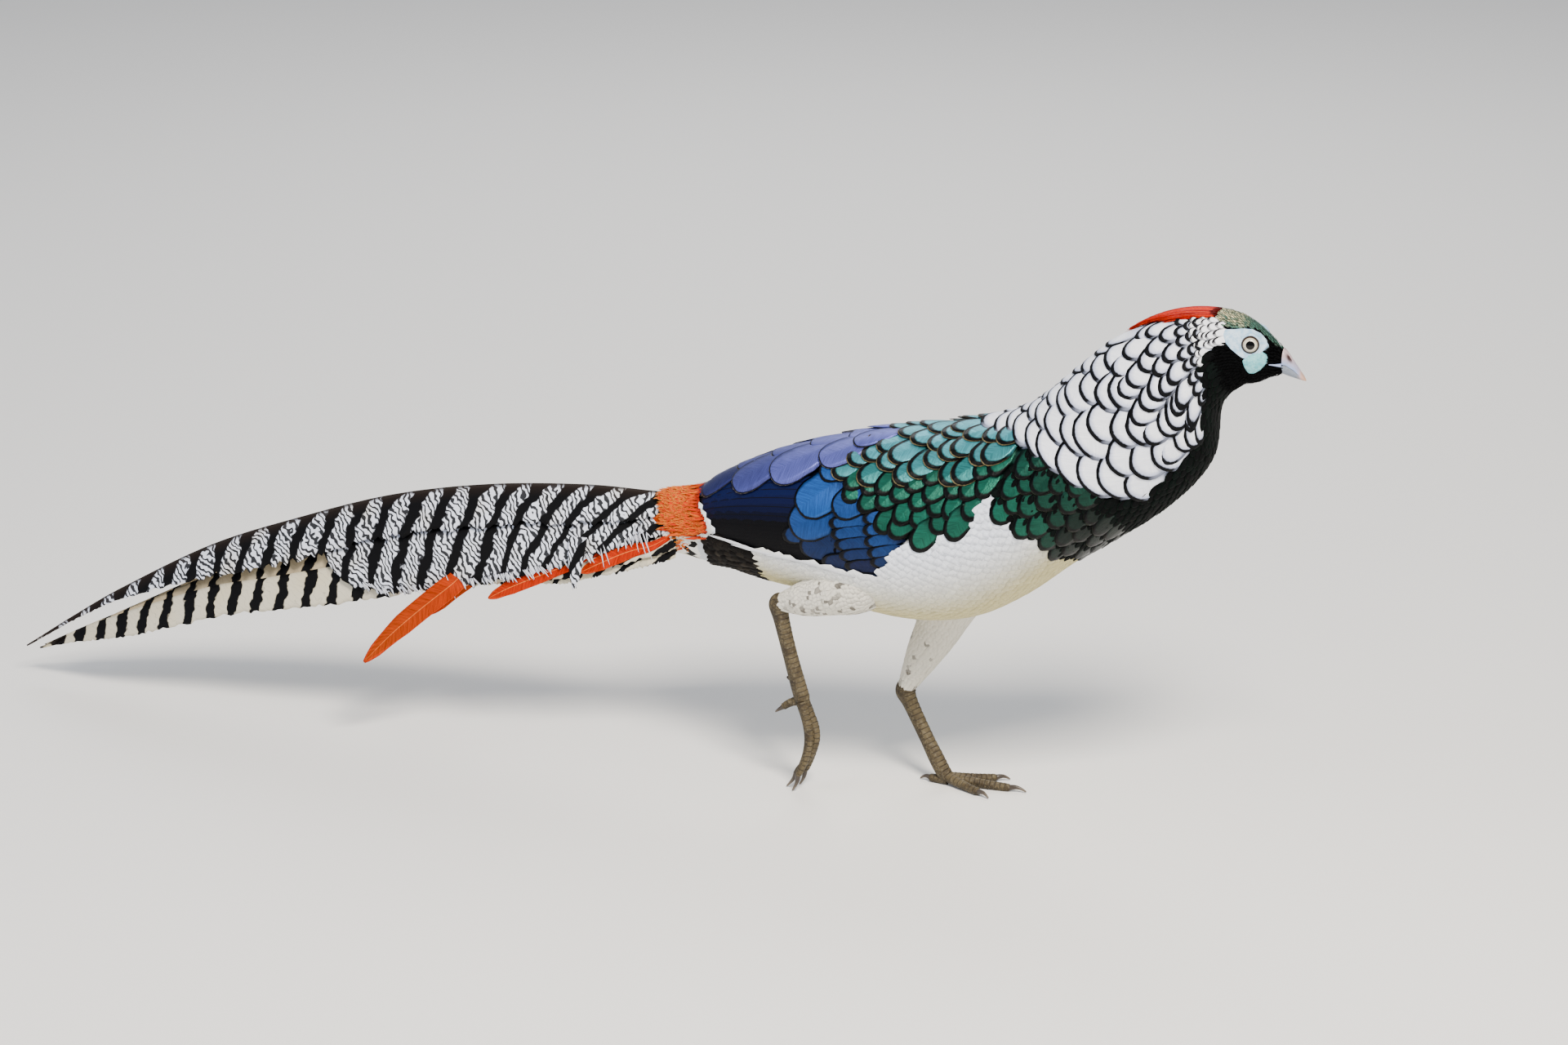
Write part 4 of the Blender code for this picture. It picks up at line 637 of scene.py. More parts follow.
# Feathers as thin closed vanes, laid on a form and joined into one mesh.
@dataclass
class Plumes:
    """Roots, tips and sizes of a batch of feathers on one form; every field but form is an array."""

    form: Form
    a: Array
    b: Array
    a_tip: Array
    b_tip: Array
    half: Array
    length: Array
    root_lift: Array
    tip_lift: Array
    tone: Array
    seed: Array

    @classmethod
    def aimed(
        cls, form: Form, a: Array, b: Array, heading: Numbers, length: Numbers, half: Numbers, lifts: tuple,
        tone: Numbers, rng: Rng,
    ) -> "Plumes":
        """Lay feathers from roots along headings.

        Args:
            form: The form that carries them.
            a: First coordinates of the roots.
            b: Second coordinates of the roots.
            heading: Degrees, 0 to the tail and 90 down the side.
            length: Metres.
            half: Half widths in metres.
            lifts: Lift of the roots and lift of the tips.
            tone: From 0, the finish's pale colour, to 1, its deep one.
            rng: Source of the seeds.

        Returns:
            The batch.
        """
        a, b = np.asarray(a, float), np.asarray(b, float)
        heading, length, half, tone, low, high = [
            np.broadcast_to(np.asarray(v, float), a.shape) for v in (heading, length, half, tone, *lifts)
        ]
        da, db = form.aim(a, b, heading)
        seed = rng.uniform(0.0, 1.0, a.shape)
        return cls(form, a, b, a + da * length, b + db * length, half, length, low, high, tone, seed)

    @classmethod
    def between(
        cls, form: Form, roots: list | Array, tips: list | Array, half: Numbers, lifts: tuple,
        tone: Numbers, rng: Rng,
    ) -> "Plumes":
        """Lay feathers from roots (a, b) to tips (a, b)."""
        (a, b), (a_tip, b_tip) = np.transpose(np.asarray(roots, float)), np.transpose(np.asarray(tips, float))
        half, tone, low, high = [
            np.broadcast_to(np.asarray(v, float), a.shape) for v in (half, tone, *lifts)
        ]
        steps = np.linspace(0, 1, 9)[:, None]
        path = form.point(a + (a_tip - a) * steps, b + (b_tip - b) * steps, 0.0)
        length = steps_of(path).sum(axis=0)
        seed = rng.uniform(0.0, 1.0, a.shape)
        return cls(form, a, b, a_tip, b_tip, half, length, low, high, tone, seed)


def ending(
    form: Form, tips: Array, heading: Numbers, length: Numbers, half: Numbers, lifts: tuple, tone: Numbers,
    rng: Rng,
) -> Plumes:
    """Lay feathers that end at tips (a, b) and come from where their headings start."""
    a, b = np.transpose(np.asarray(tips, float))
    heading, length = np.broadcast_to(heading, a.shape), np.broadcast_to(length, a.shape)
    da, db = form.aim(a, b, heading + 180.0)
    roots = np.stack([a + da * length, b + db * length], axis=-1)
    return Plumes.between(form, roots, np.stack([a, b], axis=-1), half, lifts, tone, rng)


@dataclass
class Template:
    """Vertex order, faces and unwrap of one feather, shared by a whole batch."""

    vane: Vane

    def __post_init__(self) -> None:
        """Build the faces: upper web, underside, root end and tip end."""
        place, width = self.vane.rows()
        rows, columns = len(place), self.vane.columns
        self.place, self.width = place, width
        self.across = np.linspace(-1.0, 1.0, columns)
        self.full = self.vane.thickness > 0.0
        top = np.arange(rows * columns).reshape(rows, columns)
        under = top.copy()
        self.count = rows * columns
        if self.full:
            under[:, 1:-1] = self.count + np.arange(rows * (columns - 2)).reshape(rows, columns - 2)
            self.count += rows * (columns - 2)
        faces = []
        for i in range(rows - 1):
            for j in range(columns - 1):
                faces.append(([top[i, j], top[i, j + 1], top[i + 1, j + 1], top[i + 1, j]], 0))
            steps = range(columns - 1) if self.full else [0]
            for j in steps:
                k = j + 1 if self.full else columns - 1
                faces.append(([under[i, j], under[i + 1, j], under[i + 1, k], under[i, k]], 1))
        inner = list(under[0, 1:-1]) if self.full else []
        faces.append((list(top[0, ::-1]) + inner, 1))
        inner = list(under[-1, -2:0:-1]) if self.full else []
        faces.append((list(top[-1]) + inner, 1))
        x = np.concatenate([np.outer(width, self.across).ravel(), np.outer(width, self.across[1:-1]).ravel()])
        y = np.concatenate([np.repeat(place, columns), np.repeat(place, columns - 2)])
        self.corners = np.concatenate([f for f, _ in faces])
        self.sizes = np.array([len(f) for f, _ in faces])
        self.below = np.array([u for _, u in faces], bool)
        self.corner_below = np.repeat(self.below, self.sizes)
        self.uv = np.stack([0.5 + 0.5 * x[self.corners], y[self.corners]], axis=-1)


# Size of a feather's patch on the unwrap OFBake.
PATCH = 0.003


def lay(
    name: str, batches: list[Plumes], vane: Vane, material: bpy.types.Material, even: bool = False,
) -> bpy.types.Object:
    """Join batches of feathers of one kind into a mesh object.

    Args:
        name: The piece's name.
        batches: What to lay.
        vane: The feathers' shape.
        material: Their finish.
        even: Shade them halfway to the form's own surface, for soft down.

    Returns:
        The object, with the unwraps Vane and OFBake and the attributes size and tone.
    """
    template = Template(vane)
    rng = np.random.default_rng(len(name))
    points, uvs, bakes, sizes, tones, normals = [], [], [], [], [], []
    total = 0
    for batch in batches:
        form, n = batch.form, len(batch.a)
        v, c, width = template.place, template.across, template.width
        run_a, run_b = (batch.a_tip - batch.a)[:, None], (batch.b_tip - batch.b)[:, None]
        a, b = batch.a[:, None] + run_a * v, batch.b[:, None] + run_b * v
        slopes = form.slopes(a, b)
        ahead = slopes[0] * run_a[..., None] + slopes[1] * run_b[..., None]
        across = unit(np.cross(unit(ahead), form.outward(a, b)))
        da, db = form.move(slopes, across)
        side = 1.0 + vane.ragged * rng.uniform(-1.0, 1.0, (n, len(v), 2))
        scale = np.where(c[None, None, :] < 0, side[..., :1], side[..., 1:])
        x = batch.half[:, None, None] * width[:, None] * c * scale
        lift = batch.root_lift[:, None] + (batch.tip_lift - batch.root_lift)[:, None] * v ** vane.lift_power
        arch = np.minimum(vane.camber, vane.most_camber * batch.half)[:, None, None]
        crown = arch * (1.0 - c ** 2) * (vane.root_arch + (1.0 - vane.root_arch) * v[:, None])
        sign = np.where(batch.b < 0, -1.0, 1.0)[:, None, None]
        high = lift[..., None] + crown + vane.tilt * c * sign * width[:, None]
        wide_a, wide_b = a[..., None] + da[..., None] * x, b[..., None] + db[..., None] * x
        parts = [form.point(wide_a, wide_b, high).reshape(n, -1, 3)]
        if template.full:
            low = form.point(wide_a[..., 1:-1], wide_b[..., 1:-1], high[..., 1:-1] - vane.thickness)
            parts.append(low.reshape(n, -1, 3))
        points.append(np.concatenate(parts, axis=1).reshape(-1, 3))
        if even:
            normals.append(form.outward(wide_a, wide_b).reshape(-1, 3))
        total += n
        vane_uv = np.broadcast_to(template.uv, (n, *template.uv.shape)).copy()
        vane_uv[batch.b < 0, :, 0] = 1.0 - vane_uv[batch.b < 0, :, 0]
        uvs.append(vane_uv)
        chart = np.stack(form.chart(batch.a, batch.b), axis=-1)[:, None, :]
        below = template.corner_below[:, None]
        local = (template.uv - 0.5) * np.where(below, (PATCH / 3, PATCH), (PATCH * 2 / 3, PATCH))
        local = local + np.where(below, (PATCH / 3, 0.0), (-PATCH / 6, 0.0))
        bakes.append(chart + local)
        size = np.stack([batch.half / MM, batch.length / MM, batch.seed], axis=-1)
        sizes.append(np.repeat(size, template.count, axis=0))
        tones.append(np.repeat(batch.tone, template.count))
    corners = (np.arange(total)[:, None] * template.count + template.corners).ravel()
    face_sizes = np.tile(template.sizes, total)
    smooth = np.tile(~template.below, total)
    obj = new_mesh(
        name, np.concatenate(points), corners, face_sizes, smooth, material,
        uvs={"Vane": np.concatenate(uvs).reshape(-1, 2), "OFBake": np.concatenate(bakes).reshape(-1, 2)},
        values={"size": np.concatenate(sizes), "tone": np.concatenate(tones)},
    )
    if even:
        own = np.empty(3 * len(obj.data.vertices), np.float32)
        obj.data.vertex_normals.foreach_get("vector", own)
        soft = unit(np.concatenate(normals) + own.reshape(-1, 3))
        obj.data.normals_split_custom_set_from_vertices(soft.tolist())
    return obj


def link(name: str, data: bpy.types.ID) -> bpy.types.Object:
    """Make an object from its data and link it to the scene."""
    obj = bpy.data.objects.new(name, data)
    bpy.context.scene.collection.objects.link(obj)
    return obj


def new_mesh(
    name: str, points: Array, corners: Array, face_sizes: Array, smooth: Array | bool,
    material: bpy.types.Material, uvs: dict | None = None, values: dict | None = None,
) -> bpy.types.Object:
    """Make a mesh object from arrays.

    Args:
        name: The object's name.
        points: Vertices.
        corners: Vertex of every face corner.
        face_sizes: Corners of every face.
        smooth: Which faces are smooth.
        material: Its only material.
        uvs: Unwraps by name, a pair for every corner.
        values: Attributes by name, a number or a vector for every vertex.

    Returns:
        The object, linked to the scene.
    """
    mesh = bpy.data.meshes.new(name)
    mesh.vertices.add(len(points))
    mesh.vertices.foreach_set("co", np.ascontiguousarray(points, np.float32).ravel())
    mesh.loops.add(len(corners))
    mesh.loops.foreach_set("vertex_index", np.ascontiguousarray(corners, np.int32))
    mesh.polygons.add(len(face_sizes))
    starts = np.concatenate([[0], np.cumsum(face_sizes)[:-1]])
    mesh.polygons.foreach_set("loop_start", np.ascontiguousarray(starts, np.int32))
    mesh.update(calc_edges=True)
    mesh.polygons.foreach_set("use_smooth", np.broadcast_to(smooth, len(face_sizes)))
    for layer, pairs in (uvs or {}).items():
        if layer == "OFBake":
            pairs = np.clip(pairs, 0.0, 1.0)
        uv = mesh.uv_layers.new(name=layer)
        uv.data.foreach_set("uv", np.ascontiguousarray(pairs, np.float32).ravel())
    for layer, data in (values or {}).items():
        kind, key = ("FLOAT_VECTOR", "vector") if np.ndim(data) == 2 else ("FLOAT", "value")
        attribute = mesh.attributes.new(layer, kind, "POINT")
        attribute.data.foreach_set(key, np.ascontiguousarray(data, np.float32).ravel())
    mesh.materials.append(material)
    return link(name, mesh)


def grid(
    name: str, points: Array, material: bpy.types.Material, caps: bool = True, loop: bool = False,
    uvs: dict | None = None, values: dict | None = None,
) -> bpy.types.Object:
    """Make an object from a grid of points (rows, columns, 3).

    Args:
        name: The object's name.
        points: The grid.
        material: Its only material.
        caps: Close the first and last row with a face each.
        loop: Join the last row to the first instead.
        uvs: Unwraps by name, a grid of pairs.
        values: Attributes by name, a grid of numbers or vectors.

    Returns:
        The object, whose faces point outwards.
    """
    rows, columns = points.shape[:2]
    index = np.arange(rows * columns).reshape(rows, columns)
    start, end = (index, np.roll(index, -1, axis=0)) if loop else (index[:-1], index[1:])
    beyond = np.roll(start, -1, axis=1), np.roll(end, -1, axis=1)
    quads = np.stack([start, *beyond, end], axis=-1).reshape(-1, 4)
    ends = [index[0, ::-1], index[-1]] if caps and not loop else []
    place = points.reshape(-1, 3)
    p, q, r, s = np.moveaxis(place[quads], 1, 0)
    volume = dot(p, np.cross(q, r) + np.cross(r, s)).sum()
    for cap in ends:
        volume += dot(place[cap[0]], np.cross(place[cap[1:-1]], place[cap[2:]])).sum()
    if volume < 0.0:
        quads, ends = quads[:, ::-1], [cap[::-1] for cap in ends]
    corners = np.concatenate([quads.ravel(), *ends])
    sizes = [np.full(len(quads), 4), np.full(len(ends), columns)]
    flat_uvs = {k: np.asarray(v).reshape(-1, 2)[corners] for k, v in (uvs or {}).items()}
    flat_values = {
        k: np.asarray(v).reshape(rows * columns, *np.shape(v)[2:]) for k, v in (values or {}).items()
    }
    return new_mesh(name, place, corners, np.concatenate(sizes), True, material, flat_uvs, flat_values)


def scatter(
    form: Form, start: float, stop: float, row_gap: float, gap: float, rng: Rng, jitter: float = 0.15,
):
    """Return roots in staggered rows round a form.

    Args:
        form: A form whose second coordinate is a turn.
        start: First coordinate of the first row.
        stop: Where the rows end.
        row_gap: Metres between rows.
        gap: Metres between roots in a row.
        rng: Source of the jitter.
        jitter: Share of a gap by which roots are moved at most.

    Returns:
        Arrays of first and second coordinates.
    """
    turns = np.linspace(-180.0, 180.0, 241)
    found_a, found_b = [], []
    sign, a, row = math.copysign(1.0, stop - start), start, 0
    while (stop - a) * sign > 0:
        ring = form.point(np.full_like(turns, a), turns, 0.0)
        arc = np.concatenate([[0.0], np.cumsum(steps_of(ring))])
        count = max(int(round(arc[-1] / gap)), 3)
        where = (np.arange(count) + 0.5 * (row % 2) + rng.uniform(-jitter, jitter, count)) % count
        along = float(np.linalg.norm(form.slopes(np.array([a]), np.array([90.0]))[0]))
        found_b.append(np.interp(where / count * arc[-1], arc, turns))
        found_a.append(a + rng.uniform(-jitter, jitter, count) * row_gap / along)
        a += sign * row_gap / along
        row += 1
    return np.concatenate(found_a), np.concatenate(found_b)


def report(obj: bpy.types.Object, slot: str, *nodes: str) -> bpy.types.Object:
    """Ride a piece on the body, hide the nodes that it stands for, and log it."""
    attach(obj, ROOT)
    if nodes:
        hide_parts(*nodes)
    triangles = sum(len(p.vertices) - 2 for p in obj.data.polygons)
    LOG.info("%s: %d triangles", obj.name, triangles)
    return obj


def cover(
    name: str, flocks: list[Plumes], vane: Vane, finish: FeatherFinish, slot: str, *nodes: str,
    even: bool = False,
) -> None:
    """Lay batches of feathers as one piece in a finish and report it."""
    report(lay(name, flocks, vane, finish.dress(vane), even), slot, *nodes)


def join(parts: list[bpy.types.Object]) -> bpy.types.Object:
    """Join objects into the first."""
    bpy.ops.object.select_all(action="DESELECT")
    for part in parts:
        part.select_set(True)
    bpy.context.view_layer.objects.active = parts[0]
    bpy.ops.object.join()
    return parts[0]


# The flesh under the coat.
@dataclass(frozen=True)
class Skin:
    """Body, head and boots as one surface that lies under the feathers."""

    voxel: float = 2.2 * MM
    short_depth: float = 1.5 * MM
    boot_depth: float = 2.0 * MM
    # The cape's rear, how far outside a wing's or the cape's edge the skin starts to sink, and over how much.
    cape_rear, soft_from, soft_over = 7.0, 4.0, 14.0
    # Boots lie this far from the body and below this height; tufts lie behind and above the last two.
    boot_away, boot_top, tuft_front, tuft_low = 12 * MM, 0.2, 0.058, 0.185
    cover_depth = (
        (0.0, 0.0080), (5.1, 0.0085), (5.8, 0.0050), (7.6, 0.0055), (9.0, 0.0062), (10.5, 0.0045),
        (14.3, 0.0040),
    )

    def depth(self, station: Array, turn: Array) -> Array:
        """Return how deep the skin lies under the form."""
        cape = np.where(station > self.cape_rear, read(CAPE_EDGE, station), 0.0)
        edge = np.maximum(read(WING_EDGE, station), cape)
        share = ease((edge + self.soft_from - np.abs(turn)) / self.soft_over) * (station < CROWN_REAR)
        return self.short_depth + (read(self.cover_depth, station) - self.short_depth) * share

    def body(self, material: bpy.types.Material) -> bpy.types.Object:
        """Make the body and head as one loft."""
        stations = np.linspace(-0.9, 19.9, 140)[:, None]
        turns = turns_round(72)
        points = BODY.point(stations, turns, -self.depth(stations + 0 * turns, turns + 0 * stations))
        return grid("skin", points, material)

    def boot(self, word: str, material: bpy.types.Material) -> bpy.types.Object:
        """Make the flesh of one boot."""
        last = len(BOOT_ROUTES[word]) - 1
        places = np.linspace(0.0, last + 0.1, 40)[:, None]
        turns = turns_round(36)
        return grid("boot flesh " + word, BOOTS[word].point(places, turns, -self.boot_depth), material)

    def rump(self, material: bpy.types.Material) -> bpy.types.Object:
        """Make the flesh from the body's end into the root of the tail."""
        x = np.linspace(0.072, 0.004, 30)[:, None]
        turns = turns_round(48)
        depth = 2.0 * MM + 12.0 * MM * ease((0.030 - x) / 0.026)
        return grid("rump flesh", RUMP.point(x, turns, -depth), material)

    def material(self) -> bpy.types.Material:
        """Down and skin: soft and matt, in the colours of the coat over it."""
        material, t = new_material("downy skin")
        shade = add(t, "Attribute", attribute_name="shade").outputs["Color"]
        place = add(t, "TexCoord").outputs["Object"]
        down = noise(t, place, 900.0, 3.0)
        close(t, shade, 0.9, down, 0.3 * MM, Specular_IOR_Level=0.1)
        return material

    def colours(self, obj: bpy.types.Object) -> None:
        """Give every vertex of the skin the colour of its plumage."""
        along, around = np.arange(-1.0, 20.0, 0.12), np.arange(-180.0, 180.0, 5.0)
        stations, turns = np.meshgrid(along, around, indexing="ij")
        stations, turns = stations.ravel(), turns.ravel()
        points = BODY.point(stations, turns, -self.short_depth)
        tree = KDTree(len(points))
        for index, point in enumerate(points):
            tree.insert(point, index)
        tree.balance()
        codes = plumage(stations, turns)
        tints = {code: linear(code.value) for code in Plumage}
        boot, tuft = linear("#b9b6ab"), linear("#b83f0c")
        shades = []
        for vertex in obj.data.vertices:
            _, index, distance = tree.find(vertex.co)
            own = boot if distance > self.boot_away and vertex.co.z < self.boot_top else tints[codes[index]]
            shades += tuft if vertex.co.x < self.tuft_front and vertex.co.z > self.tuft_low else own
        layer = obj.data.color_attributes.new("shade", "FLOAT_COLOR", "POINT")
        layer.data.foreach_set("color", shades)

    def build(self) -> bpy.types.Object:
        """Join the lofts, melt them into one surface and smooth it."""
        material = self.material()
        parts = [self.body(material), self.rump(material)] + [self.boot(word, material) for word in SIDES]
        skin = join(parts)
        melt = skin.modifiers.new("melt", "REMESH")
        melt.mode, melt.voxel_size, melt.use_smooth_shade = "VOXEL", self.voxel, True
        soften = skin.modifiers.new("soften", "SMOOTH")
        soften.factor, soften.iterations = 0.5, 4
        for modifier in ("melt", "soften"):
            bpy.ops.object.modifier_apply(modifier=modifier)
        self.colours(skin)
        return report(skin, "dark_plumage", "torso", "neck", "head", "thigh_left", "thigh_right", "rump")


# The body's coat.
SCALE_VANE = Vane(root=0.5, shoulder=0.42, power=2.1, low_rows=2, tip_rows=5, columns=5, camber=0.5 * MM,
                  tilt=0.25 * MM)
BLUNT_VANE = replace(SCALE_VANE, power=2.2, tip_rows=6, columns=7, thickness=0.3 * MM, camber=0.6 * MM)
BAND_VANE = replace(BLUNT_VANE, power=2.6, columns=11, tip_rows=7, tilt=0.7 * MM, thickness=0.35 * MM)
SOFT_VANE = Vane(root=0.4, shoulder=0.4, power=1.9, low_rows=1, tip_rows=4, columns=3, camber=0.35 * MM,
                 ragged=0.12)
DOWN_VANE = replace(SOFT_VANE, camber=0.04 * MM, power=1.7, ragged=0.25)
FINE_VANE = Vane(root=0.5, shoulder=0.4, power=1.6, low_rows=1, tip_rows=3, columns=3, camber=0.2 * MM,
                 ragged=0.1)

# On the white nape and cape the third colour, a darker blue-grey towards the root, is painted shade under the
# overlap of the next row.
NAPE_FINISH = FeatherFinish(
    "nape feather, white web with a thin dark edge", "#f8faff", "#e6ecfd", "#c3cdea", "#0a0b12",
    rim_mm=1.1, barb_mm=0.8, barb_contrast=0.12, roughness=0.55, gloss=0.2, hidden_to=0.4, rim_from=0.4,
    front_fade=0.5, spread=0.06)
CAPE_FINISH = FeatherFinish(
    "cape feather, white web with a velvet black edge", "#f6f9ff", "#e4ebfd", "#aebbe0", "#020306",
    rim_mm=2.4, barb_mm=0.8, barb_contrast=0.14, roughness=0.6, gloss=0.12, hidden_to=0.42, rim_from=0.25,
    front_fade=0.2, glow="#7f8fc0", spread=0.06, streak=0.05)
LOW_CAPE_FINISH = replace(
    CAPE_FINISH, name="lower cape feather, broad white band with a velvet black edge", rim_mm=2.7,
    front_fade=0.3, hidden_to=0.62, barb_contrast=0.2, streak=0.08)
# Its pale cyan is a painted highlight, the sky's reflection on the top of the back; the mantle's tone keeps
# it near the spine.
MANTLE_FINISH = FeatherFinish(
    "mantle feather, teal gloss, black submargin and tan outer line",
    "#58b2c2", "#115f54", "#0c4743", "#010202",
    rim_mm=3.3, line="#8f8059", line_mm=0.6, barb_mm=1.0, barb_contrast=0.45, roughness=0.34, gloss=0.3,
    hidden_to=0.4, metal=0.55, streak=0.28)
GREEN_FINISH = FeatherFinish(
    "shoulder feather, green gloss with a broad black margin", "#12604d", "#030807", "#08281f", "#010202",
    rim_mm=2.8, barb_mm=1.0, barb_contrast=0.4, roughness=0.36, gloss=0.3, metal=0.55, streak=0.28)
BREAST_SCALE_FINISH = replace(
    GREEN_FINISH, name="breast-side feather, green centre in a black margin", pale="#12604d", rim_mm=2.6,
    line="#2b3324", line_mm=0.35)
BLUE_FINISH = FeatherFinish(
    "wing covert, metallic blue with a thin black edge", "#255aa6", "#070f30", "#0b1a40", "#010206",
    rim_mm=1.5, barb_mm=1.0, barb_contrast=0.3, roughness=0.36, gloss=0.3, metal=0.55, streak=0.25)
TERTIAL_FINISH = FeatherFinish(
    "tertial, lilac-blue web with a darker edge", "#666cc0", "#171c4c", "#1e2350", "#080a1c",
    rim_mm=1.1, line="#8a8578", line_mm=0.25, barb_mm=1.3, barb_contrast=0.35, roughness=0.38, gloss=0.3,
    metal=0.5, hidden_to=0.25, streak=0.22)
FLIGHT_FINISH = FeatherFinish(
    "flight feather, dark blue to black", "#0e1748", "#020204", "#04050c", "#010102",
    rim_mm=1.1, barb_mm=1.2, barb_contrast=0.35, roughness=0.5, gloss=0.12, metal=0.3, shaft="#050508",
    hidden_to=0.1)
EDGE_FINISH = FeatherFinish(
    "white outer web of the lowest flight feather", "#e6e9ee", "#b9bcc2", "#c9ccd2", "#2a2a2e",
    rim_mm=0.0, barb_mm=1.6, barb_contrast=0.25, roughness=0.6, hidden_to=0.1)
# Its cream is painted warm shade on the underside; the belly's tone also makes it creamier towards the rear.
BELLY_FINISH = FeatherFinish(
    "belly feather, soft white shading to cream", "#e9effb", "#bdb27a", "#dfe6f2", "#b5bac6",
    rim_mm=0.0, barb_mm=0.9, barb_contrast=0.16, roughness=0.9, gloss=0.05, hidden_to=0.3, sheen=0.1,
    relief=0.02 * MM, spread=0.07, streak=0.14)
BREAST_FINISH = FeatherFinish(
    "breast feather, velvet black with a faint green edge", "#030405", "#040c0a", "#020203", "#07150f",
    rim_mm=0.5, barb_mm=0.7, barb_contrast=0.3, roughness=0.7, gloss=0.06)
VELVET_FINISH = FeatherFinish(
    "throat feather, velvet black", "#030304", "#050607", "#020203", "#040505",
    rim_mm=0.0, barb_mm=0.6, barb_contrast=0.3, roughness=0.8, gloss=0.04)
UNDER_FINISH = FeatherFinish(
    "undertail covert, cream with black bars", "#ddd8c4", "#f0f0ea", "#b9b39c", "#8a8474",
    rim_mm=0.4, barb_mm=1.0, barb_contrast=0.15, roughness=0.7, gloss=0.15, bar="#0b0a0a", bar_mm=15.0,
    hidden_to=0.1)
VENT_FINISH = FeatherFinish(
    "undertail feather, black-brown with grey ends", "#0d0a08", "#3a342c", "#090706", "#191512",
    rim_mm=0.8, barb_mm=0.9, barb_contrast=0.3, roughness=0.8, gloss=0.1)
# Its pale gold is painted glints, scattered over the crown's top and rear.
CROWN_FINISH = FeatherFinish(
    "crown feather, grey-green with painted gold glints", "#3f695b", "#e9e0ae", "#2b3a30", "#26352c",
    rim_mm=0.3, barb_mm=0.5, barb_contrast=0.3, roughness=0.4, gloss=0.3, metal=0.2, spread=0.35)
BOOT_FINISH = FeatherFinish(
    "boot feather, off-white with dark flecks", "#d9d5c8", "#332b25", "#c4bfb0", "#8b8577",
    rim_mm=0.0, barb_mm=0.6, barb_contrast=0.1, roughness=0.9, gloss=0.05, relief=0.04 * MM, spread=0.06)


@dataclass(frozen=True)
class Band:
    """A band of rows of feathers: stations, gaps, sizes in metres, heading and lifts."""

    start: float
    stop: float
    row_gap: float
    gap: float
    half: float
    length: float
    heading: float = 0.0
    low: float = -2.0 * MM
    high: float = 0.5 * MM
    jitter: float = 0.15


